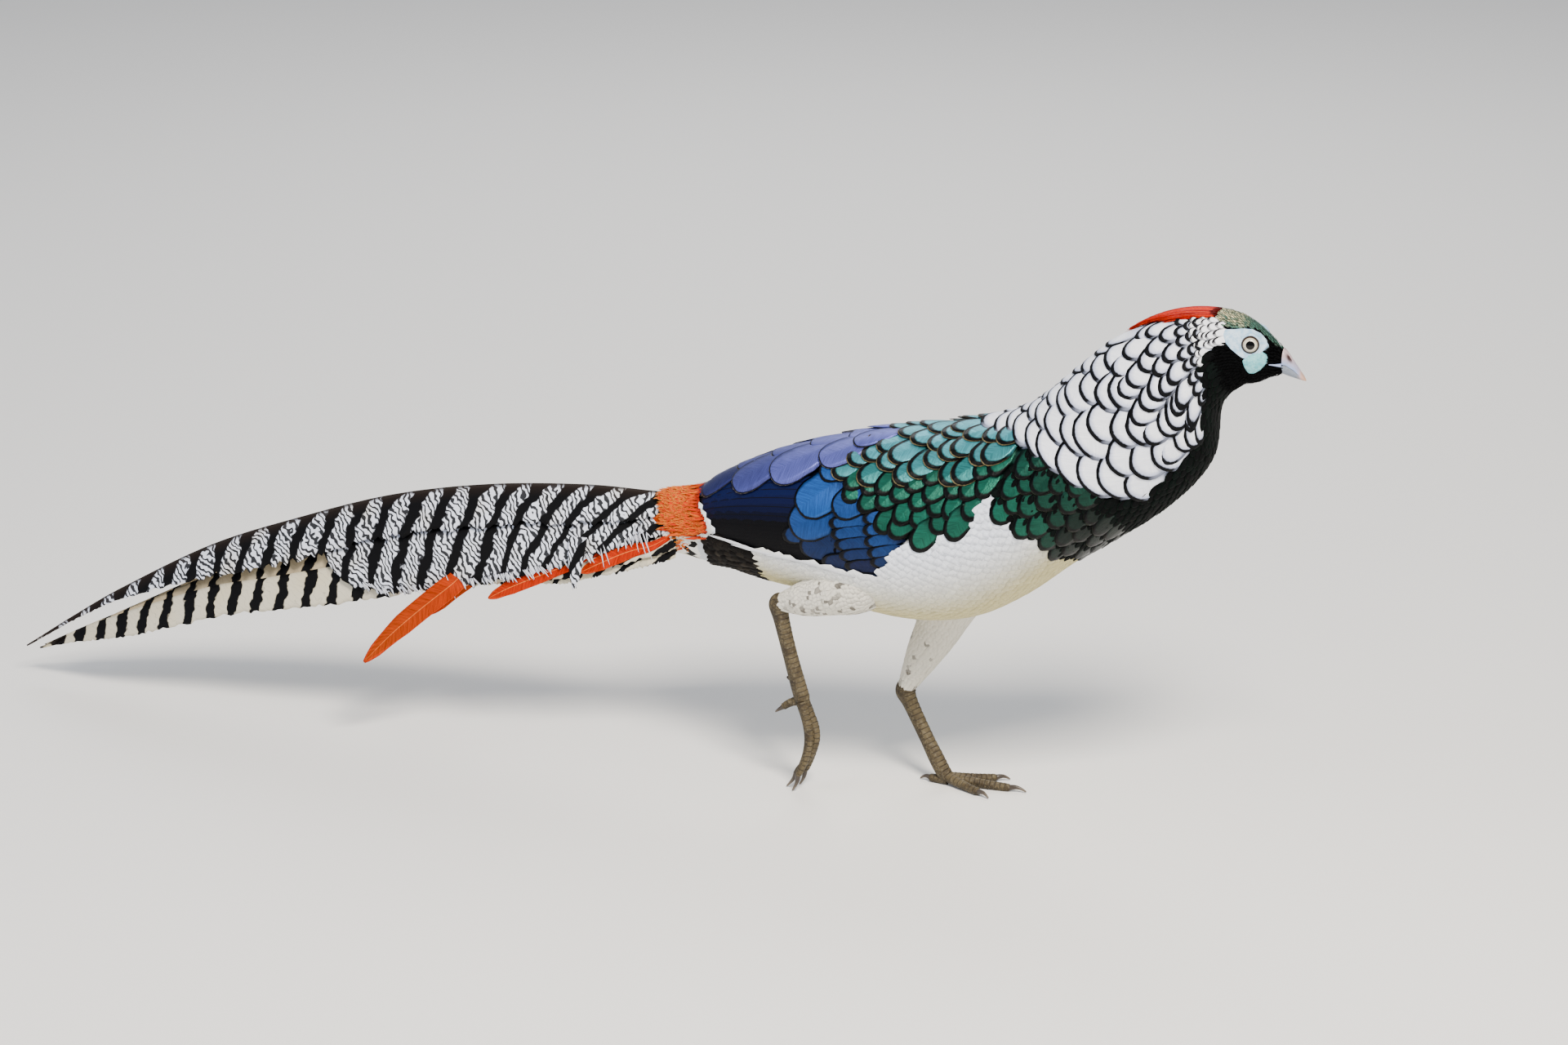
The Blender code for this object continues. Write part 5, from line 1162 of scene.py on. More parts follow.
@dataclass(frozen=True)
class Coat:
    """The body's short feathers, region by region."""

    shown: float = 0.72
    nape_band = Band(15.45, 14.2, 4.6 * MM, 5.6 * MM, 3.9 * MM, 10.5 * MM, 0, -1.4 * MM, 0.5 * MM)
    cape_bands = (
        Band(14.6, 13.5, 7.0 * MM, 8.2 * MM, 5.7 * MM, 15 * MM, 0, -2.2 * MM, 0.6 * MM, 0.07),
        Band(13.6, 12.9, 9.4 * MM, 12.4 * MM, 8.6 * MM, 22 * MM, 0, -2.8 * MM, 0.6 * MM, 0.07),
        Band(13.0, 11.9, 11.6 * MM, 17.5 * MM, 12.2 * MM, 29 * MM, 0, -3.3 * MM, 0.7 * MM, 0.07),
    )
    low_cape_bands = (
        Band(12.0, 10.7, 12.4 * MM, 26.0 * MM, 18.0 * MM, 36 * MM, 0, -3.6 * MM, 0.8 * MM, 0.07),
        Band(10.8, 7.6, 12.2 * MM, 34.0 * MM, 23.0 * MM, 42 * MM, 0, -3.8 * MM, 1.2 * MM, 0.07),
    )

    def band(
        self, band: Band, region: tuple[Plumage, ...], rng: Rng, heading: Callable | None = None,
        tone: Callable | None = None, sizes: Callable | None = None, keep: Callable | None = None,
    ) -> Plumes:
        """Lay one band of feathers and keep those whose shown part lies in a region.

        Args:
            band: Rows and sizes.
            region: The plumages that the shown part may lie in.
            rng: Source of the small differences.
            heading: Function of station and turn for the heading, or None for the band's own.
            tone: Function of station and turn for the tone.
            sizes: Function of station and turn that scales length and width.
            keep: Function of the shown part's station and turn, True where feathers stay.

        Returns:
            The batch.
        """
        a, b = scatter(BODY, band.start, band.stop, band.row_gap, band.gap, rng, band.jitter)
        n = len(a)
        scale = (1.0 if sizes is None else sizes(a, b)) * (1.0 + 0.4 * band.jitter * rng.uniform(-1, 1, n))
        course = band.heading if heading is None else heading(a, b)
        course = course + 27.0 * band.jitter * rng.uniform(-1, 1, n)
        shade = rng.uniform(0.0, 0.25, n) if tone is None else tone(a, b)
        lift = band.jitter * rng.uniform(-1.0, 1.0, n) * MM
        flock = Plumes.aimed(BODY, a, b, course, band.length * scale, band.half * scale,
                             (band.low + lift, band.high + lift), shade, rng)
        mid_a = flock.a + (flock.a_tip - flock.a) * self.shown
        mid_b = flock.b + (flock.b_tip - flock.b) * self.shown
        mask = np.isin(plumage(mid_a, mid_b), region)
        if keep is not None:
            mask &= keep(mid_a, mid_b)
        return pick(flock, mask)

    def cape(self) -> None:
        """Lay the cape of white feathers with black edges, small at the nape and broad at its end."""
        rng = np.random.default_rng(11)
        region = (Plumage.CAPE, Plumage.CREST)

        def heading(a: Array, b: Array) -> Array:
            """Return headings that turn down the sides."""
            return 14.0 * ease((np.abs(b) - 55.0) / 60.0)

        def sink(flock: Plumes) -> Plumes:
            """Lower the feathers that lie under the crest."""
            under = ease(2.0 - np.abs(flock.b_tip) / 16.0) * (flock.a_tip > 10.6) * 3.0 * MM
            return replace(flock, root_lift=flock.root_lift - under, tip_lift=flock.tip_lift - under)

        nape = sink(self.band(self.nape_band, region, rng))
        cover("nape", [nape], BLUNT_VANE, NAPE_FINISH, "cape_plumage")
        flocks = [sink(self.band(band, region, rng, heading)) for band in self.cape_bands]
        cover("cape", flocks, BLUNT_VANE, CAPE_FINISH, "cape_plumage")
        flocks = [self.band(band, region, rng, heading) for band in self.low_cape_bands]
        cover("cape_bands", flocks, BAND_VANE, LOW_CAPE_FINISH, "cape_plumage")

    def mantle(self) -> None:
        """Lay the teal scales of the upper back, with a painted pale highlight along the spine."""
        rng = np.random.default_rng(12)
        band = Band(9.0, 3.4, 14.0 * MM, 19.5 * MM, 12.8 * MM, 33 * MM, 12, -3.0 * MM, 1.5 * MM)
        flock = self.band(
            band, (Plumage.MANTLE,), rng,
            heading=lambda a, b: 14.0 + 24.0 * ease(np.abs(b) / 60.0),
            # Painted highlight: the tone keeps the pale cyan near the spine and deepens it down the sides.
            tone=lambda a, b: np.clip(ease((np.abs(b) - 14) / 38) + rng.uniform(-0.08, 0.08, len(a)), 0, 1),
            keep=lambda a, b: np.abs(b) < 56.0 - 3.0 * np.abs(a - 6.5),
        )
        cover("mantle", [flock], BLUNT_VANE, MANTLE_FINISH, "dark_plumage")

    def greens(self) -> None:
        """Lay the green feathers of the shoulder and the breast's side."""
        rng = np.random.default_rng(13)
        band = Band(9.0, 3.2, 14.5 * MM, 15.0 * MM, 10.2 * MM, 30 * MM, 42, -3.4 * MM, 0.6 * MM)
        shoulder = self.band(
            band, (Plumage.MANTLE,), rng,
            tone=lambda a, b: rng.uniform(0.0, 0.2, len(a)),
            keep=lambda a, b: (np.abs(b) > 47.0) & (a < 7.4),
        )
        over = np.isin(plumage(shoulder.a_tip, shoulder.b_tip), (Plumage.BELLY,))
        shoulder = replace(shoulder, root_lift=np.where(over, -0.3 * MM, shoulder.root_lift))
        cover("shoulder", [shoulder], BLUNT_VANE, GREEN_FINISH, "dark_plumage")
        band = Band(10.4, 6.4, 13.5 * MM, 16.0 * MM, 11.0 * MM, 29 * MM, 18, -1.3 * MM, 0.8 * MM)
        side = self.band(
            band, (Plumage.BREAST,), rng,
            tone=lambda a, b: np.clip(ease((a - 7.7) / 1.4) * 0.7 + 0.5 * ease((np.abs(b) - 95) / 35), 0, 1),
            keep=lambda a, b: (a < 9.3) & (a > 7.0),
        )
        cover("breast_side", [side], SCALE_VANE, BREAST_SCALE_FINISH, "dark_plumage")

    def breast(self) -> None:
        """Lay the black breast and foreneck."""
        rng = np.random.default_rng(14)
        band = Band(14.9, 7.2, 5.2 * MM, 6.4 * MM, 4.6 * MM, 14 * MM, 0, -1.3 * MM, 0.2 * MM)
        flock = self.band(band, (Plumage.BREAST,), rng, tone=lambda a, b: rng.uniform(0, 1, len(a)) ** 2)
        cover("breast", [flock], SCALE_VANE, BREAST_FINISH, "dark_plumage")

    def belly(self) -> None:
        """Lay the white belly and flanks, smooth as one surface, with painted warm shade towards the
        underside.
        """
        rng = np.random.default_rng(15)
        band = Band(9.2, -0.6, 5.0 * MM, 6.0 * MM, 6.0 * MM, 21 * MM, 0, -0.50 * MM, 0.05 * MM, 0.06)
        flock = self.band(
            band, (Plumage.BELLY,), rng,
            heading=lambda a, b: -14.0 * ease((135 - np.abs(b)) / 50),
            # Painted shade: the tone turns cream towards the underside, and also creamier towards the rear.
            tone=lambda a, b: np.clip(ease((np.abs(b) - 94) / 56) + 0.5 * ease((3.4 - a) / 2.4), 0, 1),
            keep=lambda a, b: (a > 0.75) | (np.abs(b) < 98),
        )
        cover("belly", [flock], DOWN_VANE, BELLY_FINISH, "dark_plumage", even=True)

    def vent(self) -> None:
        """Lay the dark feathers under the tail."""
        rng = np.random.default_rng(16)
        band = Band(2.8, -1.0, 7.0 * MM, 7.0 * MM, 5.5 * MM, 20 * MM, 0, -1.2 * MM, 0.2 * MM)
        flock = self.band(band, (Plumage.VENT,), rng, tone=lambda a, b: rng.uniform(0, 1, len(a)) ** 3)
        cover("undertail", [flock], SOFT_VANE, VENT_FINISH, "dark_plumage")
        turns = np.linspace(-162, 162, 13)
        turns = turns[np.abs(turns) > 84]
        bars = Plumes.aimed(
            BODY, np.full(len(turns), 0.8), turns, 0.0, 56 * MM, 12.0 * MM, (-4.0 * MM, 0.3 * MM),
            rng.uniform(0, 1, len(turns)), rng,
        )
        vane = replace(BLUNT_VANE, low_rows=6, columns=7, power=1.9)
        cover("undertail_bars", [bars], vane, UNDER_FINISH, "tail_plumage")

    def throat(self) -> None:
        """Lay the velvet feathers of lores, cheeks and throat."""
        rng = np.random.default_rng(17)
        band = Band(20.6, 14.0, 2.2 * MM, 2.4 * MM, 1.7 * MM, 6.0 * MM, 0, -1.1 * MM, 0.15 * MM)
        flock = self.band(band, (Plumage.THROAT,), rng, sizes=lambda a, b: 1.0 - 0.45 * ease((a - 17) / 3),
                          tone=lambda a, b: rng.uniform(0, 1, len(a)))
        cover("throat", [flock], FINE_VANE, VELVET_FINISH, "crown_plumage")

    def crown(self) -> None:
        """Lay the small scales of the crown, with painted gold glints on its top and rear."""
        rng = np.random.default_rng(18)
        band = Band(20.5, 14.6, 1.8 * MM, 2.2 * MM, 1.5 * MM, 5.0 * MM, 0, -1.0 * MM, 0.3 * MM)
        flock = self.band(band, (Plumage.CROWN,), rng, sizes=lambda a, b: 1.0 - 0.35 * ease((a - 17) / 3),
                          # Painted glints: pale gold feathers scattered over the crown's top and rear.
                          tone=lambda a, b: ease((17.3 - a) / 1.5) * rng.uniform(0.0, 1, len(a)) ** 0.8
                          * (1 - 0.8 * ease((np.abs(b) - 30) / 12)))
        cover("crown", [flock], FINE_VANE, CROWN_FINISH, "crown_plumage")

    def boots(self) -> None:
        """Lay the short feathers of both boots."""
        rng = np.random.default_rng(19)
        flocks = []
        for word, form in BOOTS.items():
            last = len(BOOT_ROUTES[word]) - 1
            a, b = scatter(form, 0.3, last - 0.05, 3.2 * MM, 4.0 * MM, rng)
            n = len(a)
            if word == "left":
                spotted = ease(a - last + 1.6)
            else:
                spotted = ease((1.4 - np.abs(b) / 90.0) * 2) * ease(a - 0.6)
            fleck = (rng.uniform(0, 1, n) < 0.01 + 0.13 * spotted) * rng.uniform(0.4, 0.9, n)
            flocks.append(Plumes.aimed(
                form, a, b, rng.uniform(-6, 6, n), 10.0 * MM, 3.2 * MM, (-0.8 * MM, 0.0), fleck, rng,
            ))
        cover("boots", flocks, DOWN_VANE, BOOT_FINISH, "boot_plumage", even=True)

    def build(self) -> None:
        """Lay every region."""
        self.cape()
        self.mantle()
        self.greens()
        self.breast()
        self.belly()
        self.vent()
        self.throat()
        self.crown()
        self.boots()


def pick(flock: Plumes, mask: Array) -> Plumes:
    """Return the feathers of a batch that a mask keeps."""
    fields = ("a", "b", "a_tip", "b_tip", "half", "length", "root_lift", "tip_lift", "tone", "seed")
    return Plumes(flock.form, *(getattr(flock, name)[mask] for name in fields))


# Wings.
@dataclass(frozen=True)
class Wing:
    """One folded wing: coverts, tertials and flight feathers."""

    word: str
    covert_vane = replace(BLUNT_VANE, power=2.5, tip_rows=7, columns=9)
    long_vane = Vane(root=0.6, shoulder=0.55, power=2.4, low_rows=6, tip_rows=7, columns=7,
                     thickness=0.4 * MM, camber=0.6 * MM, ragged=0.02)
    edge_vane = Vane(root=0.7, shoulder=0.5, power=1.6, low_rows=12, tip_rows=8, columns=5, camber=0.3 * MM,
                     ragged=0.2)
    # Tip (station, turn), heading, length and half width in mm, lift of the tip in mm, tone.
    tertial_rows = (
        (3.70, 4, 4, 50, 17, 0.6, 0.0), (2.90, 3, 4, 52, 18, 0.5, 0.1), (2.10, 3, 4, 54, 18, 0.4, 0.3),
        (1.30, 3, 4, 54, 17, 0.3, 0.5), (0.60, 5, 4, 52, 16, 0.2, 0.7), (0.05, 14, 6, 48, 15, 0.1, 0.9),
        (0.35, 31, 20, 60, 15, 0.8, 0.9), (1.42, 41, 24, 64, 19, 1.2, 0.55), (2.32, 40, 26, 62, 21, 1.6, 0.2),
        (3.32, 33, 26, 52, 17, 2.0, 0.0), (3.92, 19, 22, 44, 13, 2.2, 0.0),
    )
    covert_rows = (
        (4.50, 101, 6, 34, 6.6, -0.6, 0.85), (4.46, 95, 6, 34, 6.6, -0.5, 0.7),
        (4.42, 88, 6, 34, 6.6, -0.4, 0.6), (4.40, 81, 6, 34, 6.6, -0.3, 0.5),
        (4.40, 74, 6, 34, 6.6, -0.2, 0.45), (3.95, 106, 6, 40, 7.0, -1.0, 1.0),
        (3.86, 99, 6, 40, 7.0, -0.9, 0.9), (3.78, 92, 6, 40, 7.0, -0.8, 0.8),
        (3.72, 85, 6, 40, 7.0, -0.7, 0.65), (3.68, 78, 6, 40, 7.0, -0.6, 0.5),
        (3.45, 107, 8, 46, 10.0, -1.3, 0.95), (3.00, 99, 10, 52, 14.0, -1.4, 0.9),
        (2.66, 91, 12, 40, 9.0, -0.8, 0.8), (2.84, 85, 26, 52, 18.0, -0.5, 0.5),
        (3.78, 71, 34, 46, 14.5, 0.1, 0.4),
        (3.00, 70, 34, 52, 18.5, 0.1, 0.1), (3.40, 45, 28, 42, 14.0, 0.2, 0.1),
    )
    # The flight feathers' roots and tips as (station, turn).
    flight_roots = (
        (3.56, 51), (3.6, 57), (3.6, 64), (3.6, 71), (3.6, 78), (3.64, 84), (3.72, 90), (3.8, 96),
        (3.92, 102), (4.08, 108),
    )
    flight_tips = (
        (0.4, 38), (0.24, 43), (0.08, 50), (0.05, 58), (0.2, 67), (0.45, 77), (0.7, 87), (0.98, 95),
        (1.35, 101), (1.85, 106),
    )

    def explicit(self, rows: tuple, rng: Rng, side: int) -> Plumes:
        """Lay feathers one by one from a table of tips, headings and sizes."""
        a, b, heading, length, half, high, tone = np.array(rows, float).T
        return ending(BODY, np.stack([a, b * side], axis=-1), heading, length * MM, half * MM,
                      ((high - 2.4) * MM, high * MM), tone, rng)

    def flight(self, rng: Rng) -> Plumes:
        """Lay the flight feathers, which converge on the wing's tip."""
        side = SIDES[self.word]
        roots = [(s, t * side) for s, t in self.flight_roots]
        tips = [(s, t * side) for s, t in self.flight_tips]
        count = len(tips)
        high = np.linspace(-0.9, -2.0, count) * MM
        tone = np.clip(np.linspace(-0.1, 1.9, count), 0.0, 1.0)
        half = np.linspace(9.0, 6.5, count) * MM
        return Plumes.between(BODY, roots, tips, half, (high - 0.8 * MM, high), tone, rng)

    def edge(self, rng: Rng) -> Plumes:
        """Lay the white outer webs along the wing's lower edge."""
        side = SIDES[self.word]
        roots = [(4.15, 112.5 * side), (3.3, 112.0 * side), (2.6, 110.5 * side)]
        tips = [(2.2, 108.0 * side), (1.4, 102.5 * side), (0.66, 92.5 * side)]
        half = np.array([1.3, 1.4, 1.5]) * MM
        return Plumes.between(BODY, roots, tips, half, (0.1 * MM, 0.4 * MM), 0.3, rng)

    def build(self) -> None:
        """Lay the wing's kinds of feathers."""
        rng = np.random.default_rng(31 + SIDES[self.word])
        side = SIDES[self.word]
        kinds = (
            ("wing_coverts", self.explicit(self.covert_rows, rng, side), self.covert_vane, BLUE_FINISH),
            ("tertials", self.explicit(self.tertial_rows, rng, side), self.long_vane, TERTIAL_FINISH),
            ("flight", self.flight(rng), self.long_vane, FLIGHT_FINISH),
            ("wing_edge", self.edge(rng), self.edge_vane, EDGE_FINISH),
        )
        for name, flock, vane, finish in kinds:
            cover(f"{name}_{self.word}", [flock], vane, finish, "wing_plumage", f"wing_{self.word}")


# Tail.
@dataclass(frozen=True)
class BarFinish:
    """Barred tail feather: white web, black bars and thin wavy lines, from metres along and down."""

    name: str
    web: str = "#e6ecfb"
    tint: str = "#cfc3a2"
    bar: str = "#040406"
    bar_mm: float = 27.0
    duty: float = 0.38
    slant: float = 0.36
    line_mm: float = 5.0
    line_slant: float = 0.6
    line_share: float = 0.44
    tint_share: float = 0.25
    barb_mm = 1.1
    grey = "#8f93a6"
    ridge_tint = "#1d1511"
    edge_tint = "#241c18"

    def dress(self) -> bpy.types.Material:
        """Make the material, which reads the attribute spot: metres along, metres down and a seed."""
        material, t = new_material(self.name)
        spot = add(t, "Attribute", attribute_name="spot").outputs["Vector"]
        along, down, seed = add(t, "SeparateXYZ", spot).outputs
        per_mm = 2000.0 * math.pi
        shifted = add(t, "VectorMath", spot, (1000.0, 1000.0, 40.0), operation="MULTIPLY")
        wave = noise(t, shifted, 0.055, 2.0)
        fine = noise(t, shifted, 0.22, 2.0)
        sway = calc(t, "MULTIPLY_ADD", wave, 0.014, -0.007)
        jag = calc(t, "MULTIPLY_ADD", fine, 0.004, -0.002)
        near = ramp(t, along, 0.02, 0.16, 0.75, 0.0)
        lean = calc(t, "ADD", near, self.slant)
        tilted = calc(t, "MULTIPLY_ADD", calc(t, "MULTIPLY", down, lean), -1.0, along)
        phase = calc(t, "ADD", calc(t, "ADD", tilted, sway), jag)
        turn = calc(t, "MULTIPLY_ADD", phase, 1000.0 / self.bar_mm, seed)
        tooth = calc(t, "FRACT", turn)
        middle = calc(t, "ABSOLUTE", calc(t, "SUBTRACT", tooth, 0.5))
        ridge = ramp(t, down, 0.001, 0.013, 1.0, 0.0)
        tight = calc(t, "MULTIPLY_ADD", ridge, -0.14, middle)
        bar = ramp(t, tight, self.duty / 2 - 0.02, self.duty / 2 + 0.02, 1.0, 0.0)
        skew = calc(t, "MULTIPLY_ADD", down, self.line_slant, along)
        wander = calc(t, "MULTIPLY_ADD", sway, 1.5, calc(t, "MULTIPLY_ADD", jag, 0.9, skew))
        lines = calc(t, "SINE", calc(t, "MULTIPLY", wander, per_mm / self.line_mm))
        line = ramp(t, lines, 0.95 - 2.0 * self.line_share, 1.15 - 2.0 * self.line_share, 0.0, 1.0)
        mark = calc(t, "MAXIMUM", bar, calc(t, "MULTIPLY", line, 0.97))
        patch = noise(t, shifted, 0.03, 1.0)
        tinted = ramp(t, patch, 0.5, 0.75, 0.0, self.tint_share * 2)
        web = mix(t, tinted, self.web, self.tint)
        comb = calc(t, "MULTIPLY_ADD", down, 1.2, along)
        barbs = calc(t, "SINE", calc(t, "MULTIPLY", comb, per_mm / self.barb_mm))
        grain = calc(t, "MULTIPLY_ADD", barbs, 0.05, 0.05)
        web = mix(t, grain, web, self.grey)
        web = mix(t, mark, web, mix(t, ridge, self.bar, self.ridge_tint))
        edge = ramp(t, down, 0.0015, 0.0045, 0.9, 0.0)
        web = mix(t, edge, web, self.edge_tint)
        close(t, web, 0.7, barbs, 0.03 * MM, Specular_IOR_Level=0.12)
        return material


BARB_FINISH = FeatherFinish(
    "loose tail barbs, white with dark ends", "#eef2fd", "#c9cede", "#15151a", "#50525e",
    rim_mm=0.0, barb_mm=1.4, barb_contrast=0.3, roughness=0.7, gloss=0.1, hidden_to=0.2)


@dataclass(frozen=True)
class Tail:
    """The roof of long barred feathers."""

    thickness: float = 0.7 * MM
    arch: float = 0.6 * MM
    columns: int = 9
    centre_half = (
        (-0.6, 0.013), (0, 0.026), (1, 0.036), (3, 0.040), (4.3, 0.039), (4.66, 0.0365), (5.22, 0.028),
        (5.6, 0.019), (6.2, 0.010), (7, 0.005), (8, 0.0016),
    )
    ends = {"right": 7.97, "left": 7.6}
    # Upper edge and lower edge as (place, way down), and the depth under the outline.
    side_feathers = (
        (((-0.5, 0.006), (0, 0.018), (1, 0.026), (2, 0.032), (3, 0.034), (3.75, 0.030)),
         ((-0.5, 0.030), (-0.2, 0.039), (0.18, 0.045), (0.86, 0.0645), (1.2, 0.072), (1.56, 0.079),
          (1.92, 0.0835), (2.48, 0.0865), (3.1, 0.0845), (3.5, 0.071), (3.75, 0.060)), 0.0040),
        (((-0.5, 0.020), (1, 0.050), (3, 0.055), (4.5, 0.043), (5.3, 0.031), (5.9, 0.021), (6.78, 0.011),
          (7.7, 0.001)),
         ((-0.5, 0.046), (-0.2, 0.054), (0.72, 0.072), (1.14, 0.081), (1.96, 0.085), (3.16, 0.0865),
          (3.86, 0.0815), (4.48, 0.0725), (5.28, 0.060), (5.9, 0.047), (6.78, 0.029), (7.7, 0.0045)), 0.0086),
        (((-0.5, 0.016), (1, 0.030), (3, 0.035), (5, 0.022), (7.1, 0.008)),
         ((-0.5, 0.034), (1, 0.055), (3, 0.064), (5, 0.048), (6, 0.032), (7.1, 0.014)), 0.0106),
        (((-0.5, 0.030), (1, 0.060), (2.4, 0.070), (3.2, 0.070)),
         ((-0.5, 0.053), (-0.2, 0.0605), (0.72, 0.0775), (1.14, 0.085), (1.96, 0.086), (3.2, 0.080)), 0.0126),
        (((-0.5, 0.028), (1, 0.050), (2.0, 0.055)),
         ((-0.5, 0.046), (0.6, 0.066), (1.3, 0.074), (2.0, 0.070)), 0.0148),
    )
    # The side feathers' webs, from the uppermost down; the third one's darker tan is painted shade where it
    # lies deep between its neighbours.
    side_webs = ("#e6ecfb", "#d3ccb6", "#b7a684", "#cfc8b2", "#cfc8b2")
    # Loose barbs that hang over the tail: places and ways down of root and tip.
    loose_barbs = (
        ((0.58, 0.049), (0.42, 0.066)), ((0.60, 0.052), (0.50, 0.069)), ((0.02, 0.029), (-0.28, 0.060)),
        ((0.06, 0.030), (-0.18, 0.057)), ((0.12, 0.032), (-0.06, 0.054)), ((2.38, 0.0725), (2.28, 0.096)),
        ((2.42, 0.076), (2.36, 0.093)),
    )

    def feather(
        self, name: str, word: str, places: Array, top: Array, bottom: Array, lift: Array, seed: float,
        material: bpy.types.Material,
    ) -> bpy.types.Object:
        """Make one long feather between two lines down the slope.

        Args:
            name: The object's name.
            word: The side.
            places: Places along the ridge.
            top: Way down of the upper edge at each place.
            bottom: Way down of the lower edge at each place.
            lift: Lift of the shaft's line at each place.
            seed: Shift of the pattern.
            material: The finish.

        Returns:
            The object.
        """
        form = TAILS[word]
        c = np.linspace(0.0, 1.0, self.columns)
        down = top[:, None] + (bottom - top)[:, None] * c
        arch = self.arch * (1.0 - (2 * c - 1) ** 2)
        a = places[:, None] + 0 * down
        upper = form.point(a, down, lift[:, None] + arch)
        under = form.point(a, down, lift[:, None] + arch - self.thickness)[:, ::-1]
        points = np.concatenate([upper, under], axis=1)
        arc = self.arc(a)
        spot = np.stack([arc, down, 0 * down + seed], axis=-1)
        u, v = form.chart(a, down)
        chart = np.stack([u, v], axis=-1)
        charts, spots = {"OFBake": both_sides(chart)}, {"spot": both_sides(spot)}
        return grid(name, points, material, uvs=charts, values=spots)

    def arc(self, a: Array) -> Array:
        """Return metres along the ridge at places."""
        steps = np.linspace(-0.5, 8.6, 400)
        path = TAILS["right"].point(steps, 0.0, 0.0)
        return np.interp(a, steps, metres_along(path))

    def centre(self, word: str, rng: Rng) -> bpy.types.Object:
        """Make one side of the central pair."""
        end = self.ends[word]
        places = np.linspace(-0.6, end, 220)
        bottom = read(self.centre_half, places) * (1.0 + 0.05 * rng.standard_normal(220)) - 0.0006
        top = np.full_like(places, 0.0002)
        finish = BarFinish("central tail feather, white with black bars and wavy lines").dress()
        lift = np.full_like(places, 0.6 * MM if word == "right" else 0.3 * MM)
        return self.feather(f"tail_centre_{word}", word, places, top, bottom, lift, 0.1, finish)

    def sides(self, word: str, rng: Rng) -> list[bpy.types.Object]:
        """Make one side's graded feathers."""
        made = []
        for k, (upper, lower, depth) in enumerate(self.side_feathers):
            end = upper[-1][0]
            places = np.linspace(-0.5, end, 200)
            top = read(upper, places)
            taper = np.sqrt(1.0 - (1.0 - np.clip((end - places) / 0.3, 0.02, 1.0)) ** 2)
            width = (read(lower, places) - top) * taper * (1.0 + 0.025 * rng.standard_normal(200))
            first = k < 1
            finish = BarFinish(
                f"side tail feather {k + 1}, cream and white with black bars", web=self.side_webs[k],
                tint_share=0.2 + 0.15 * k, bar_mm=27.0 - 1.0 * k, duty=0.36 if k != 1 else 0.44,
                slant=0.36 + 0.04 * k, line_share=0.44 if first else 0.0,
            ).dress()
            depths, seed = np.full_like(places, -depth), 0.1 if first else 0.31 * k
            made.append(self.feather(
                f"tail_side_{word}_{k + 1}", word, places, top, top + width, depths, seed, finish,
            ))
        places = np.linspace(0.80, 1.03, 24)
        top = np.full_like(places, 0.046)
        bulge = np.sqrt(1.0 - np.linspace(-0.98, 0.98, 24) ** 2)
        bottom = 0.046 + 0.040 * bulge * (1.0 + 0.05 * rng.standard_normal(24))
        finish = BarFinish("loose web, white with black lines").dress()
        lift = np.full_like(places, 1.2 * MM)
        made.append(self.feather(f"tail_loose_web_{word}", word, places, top, bottom, lift, 0.4, finish))
        return made

    def barbs(self, word: str, rng: Rng) -> bpy.types.Object:
        """Make the loose barbs that hang over the tail and fray its lower edge."""
        n = 90
        place = rng.uniform(-0.3, 3.4, n)
        low = read(self.side_feathers[0][1], place)
        roots = [root for root, _ in self.loose_barbs] + list(zip(place, low - 0.006))
        ends = np.stack([place - rng.uniform(0.0, 0.12, n), low + rng.uniform(-0.001, 0.004, n)], axis=-1)
        tips = [tip for _, tip in self.loose_barbs] + list(ends)
        half = np.concatenate([np.full(len(self.loose_barbs), 0.55), rng.uniform(0.4, 0.9, n)]) * MM
        lift = np.concatenate([np.full(len(self.loose_barbs), 1.4), rng.uniform(-3.2, -2.4, n)]) * MM
        flock = Plumes.between(TAILS[word], roots, tips, half, (lift, lift + 0.6 * MM), 0.2, rng)
        vane = Vane(root=0.6, shoulder=0.5, power=1.4, low_rows=4, tip_rows=3, columns=3, camber=0.15 * MM,
                    ragged=0.2)
        return lay(f"tail_barbs_{word}", [flock], vane, BARB_FINISH.dress(vane))

    def build(self) -> None:
        """Make all tail feathers."""
        rng = np.random.default_rng(41)
        for word in SIDES:
            report(self.centre(word, rng), "tail_plumage", "tail_centre")
            for piece in self.sides(word, rng):
                report(piece, "tail_plumage", f"tail_side_{word}")
            report(self.barbs(word, rng), "tail_plumage")


# Long red coverts and the rump's tufts.
TUFT_FINISH = FeatherFinish(
    "rump tuft, loose orange barbs with yellow ends", "#d83000", "#f2701a", "#a02408", "#ff9a3a",
    rim_mm=0.2, barb_mm=0.5, barb_contrast=0.35, roughness=0.7, gloss=0.15)
CREST_FINISH = FeatherFinish(
    "crest strand, glossy hair-like red", "#a80a00", "#e83c00", "#4a0401", "#a01402",
    rim_mm=0.0, barb_mm=3.0, barb_contrast=0.15, roughness=0.5, gloss=0.08, metal=0.35, hidden_to=0.1,
    spread=0.7)
COVERT_FINISH = FeatherFinish(
    "long tail covert, orange-red barbs on a pale shaft", "#b82200", "#a8480a", "#7a1c02", "#c23c08",
    rim_mm=0.7, barb_mm=1.1, barb_contrast=0.4, roughness=0.6, gloss=0.08,
    shaft="#dc7030", hidden_to=0.05, streak=0.3, metal=0.25)


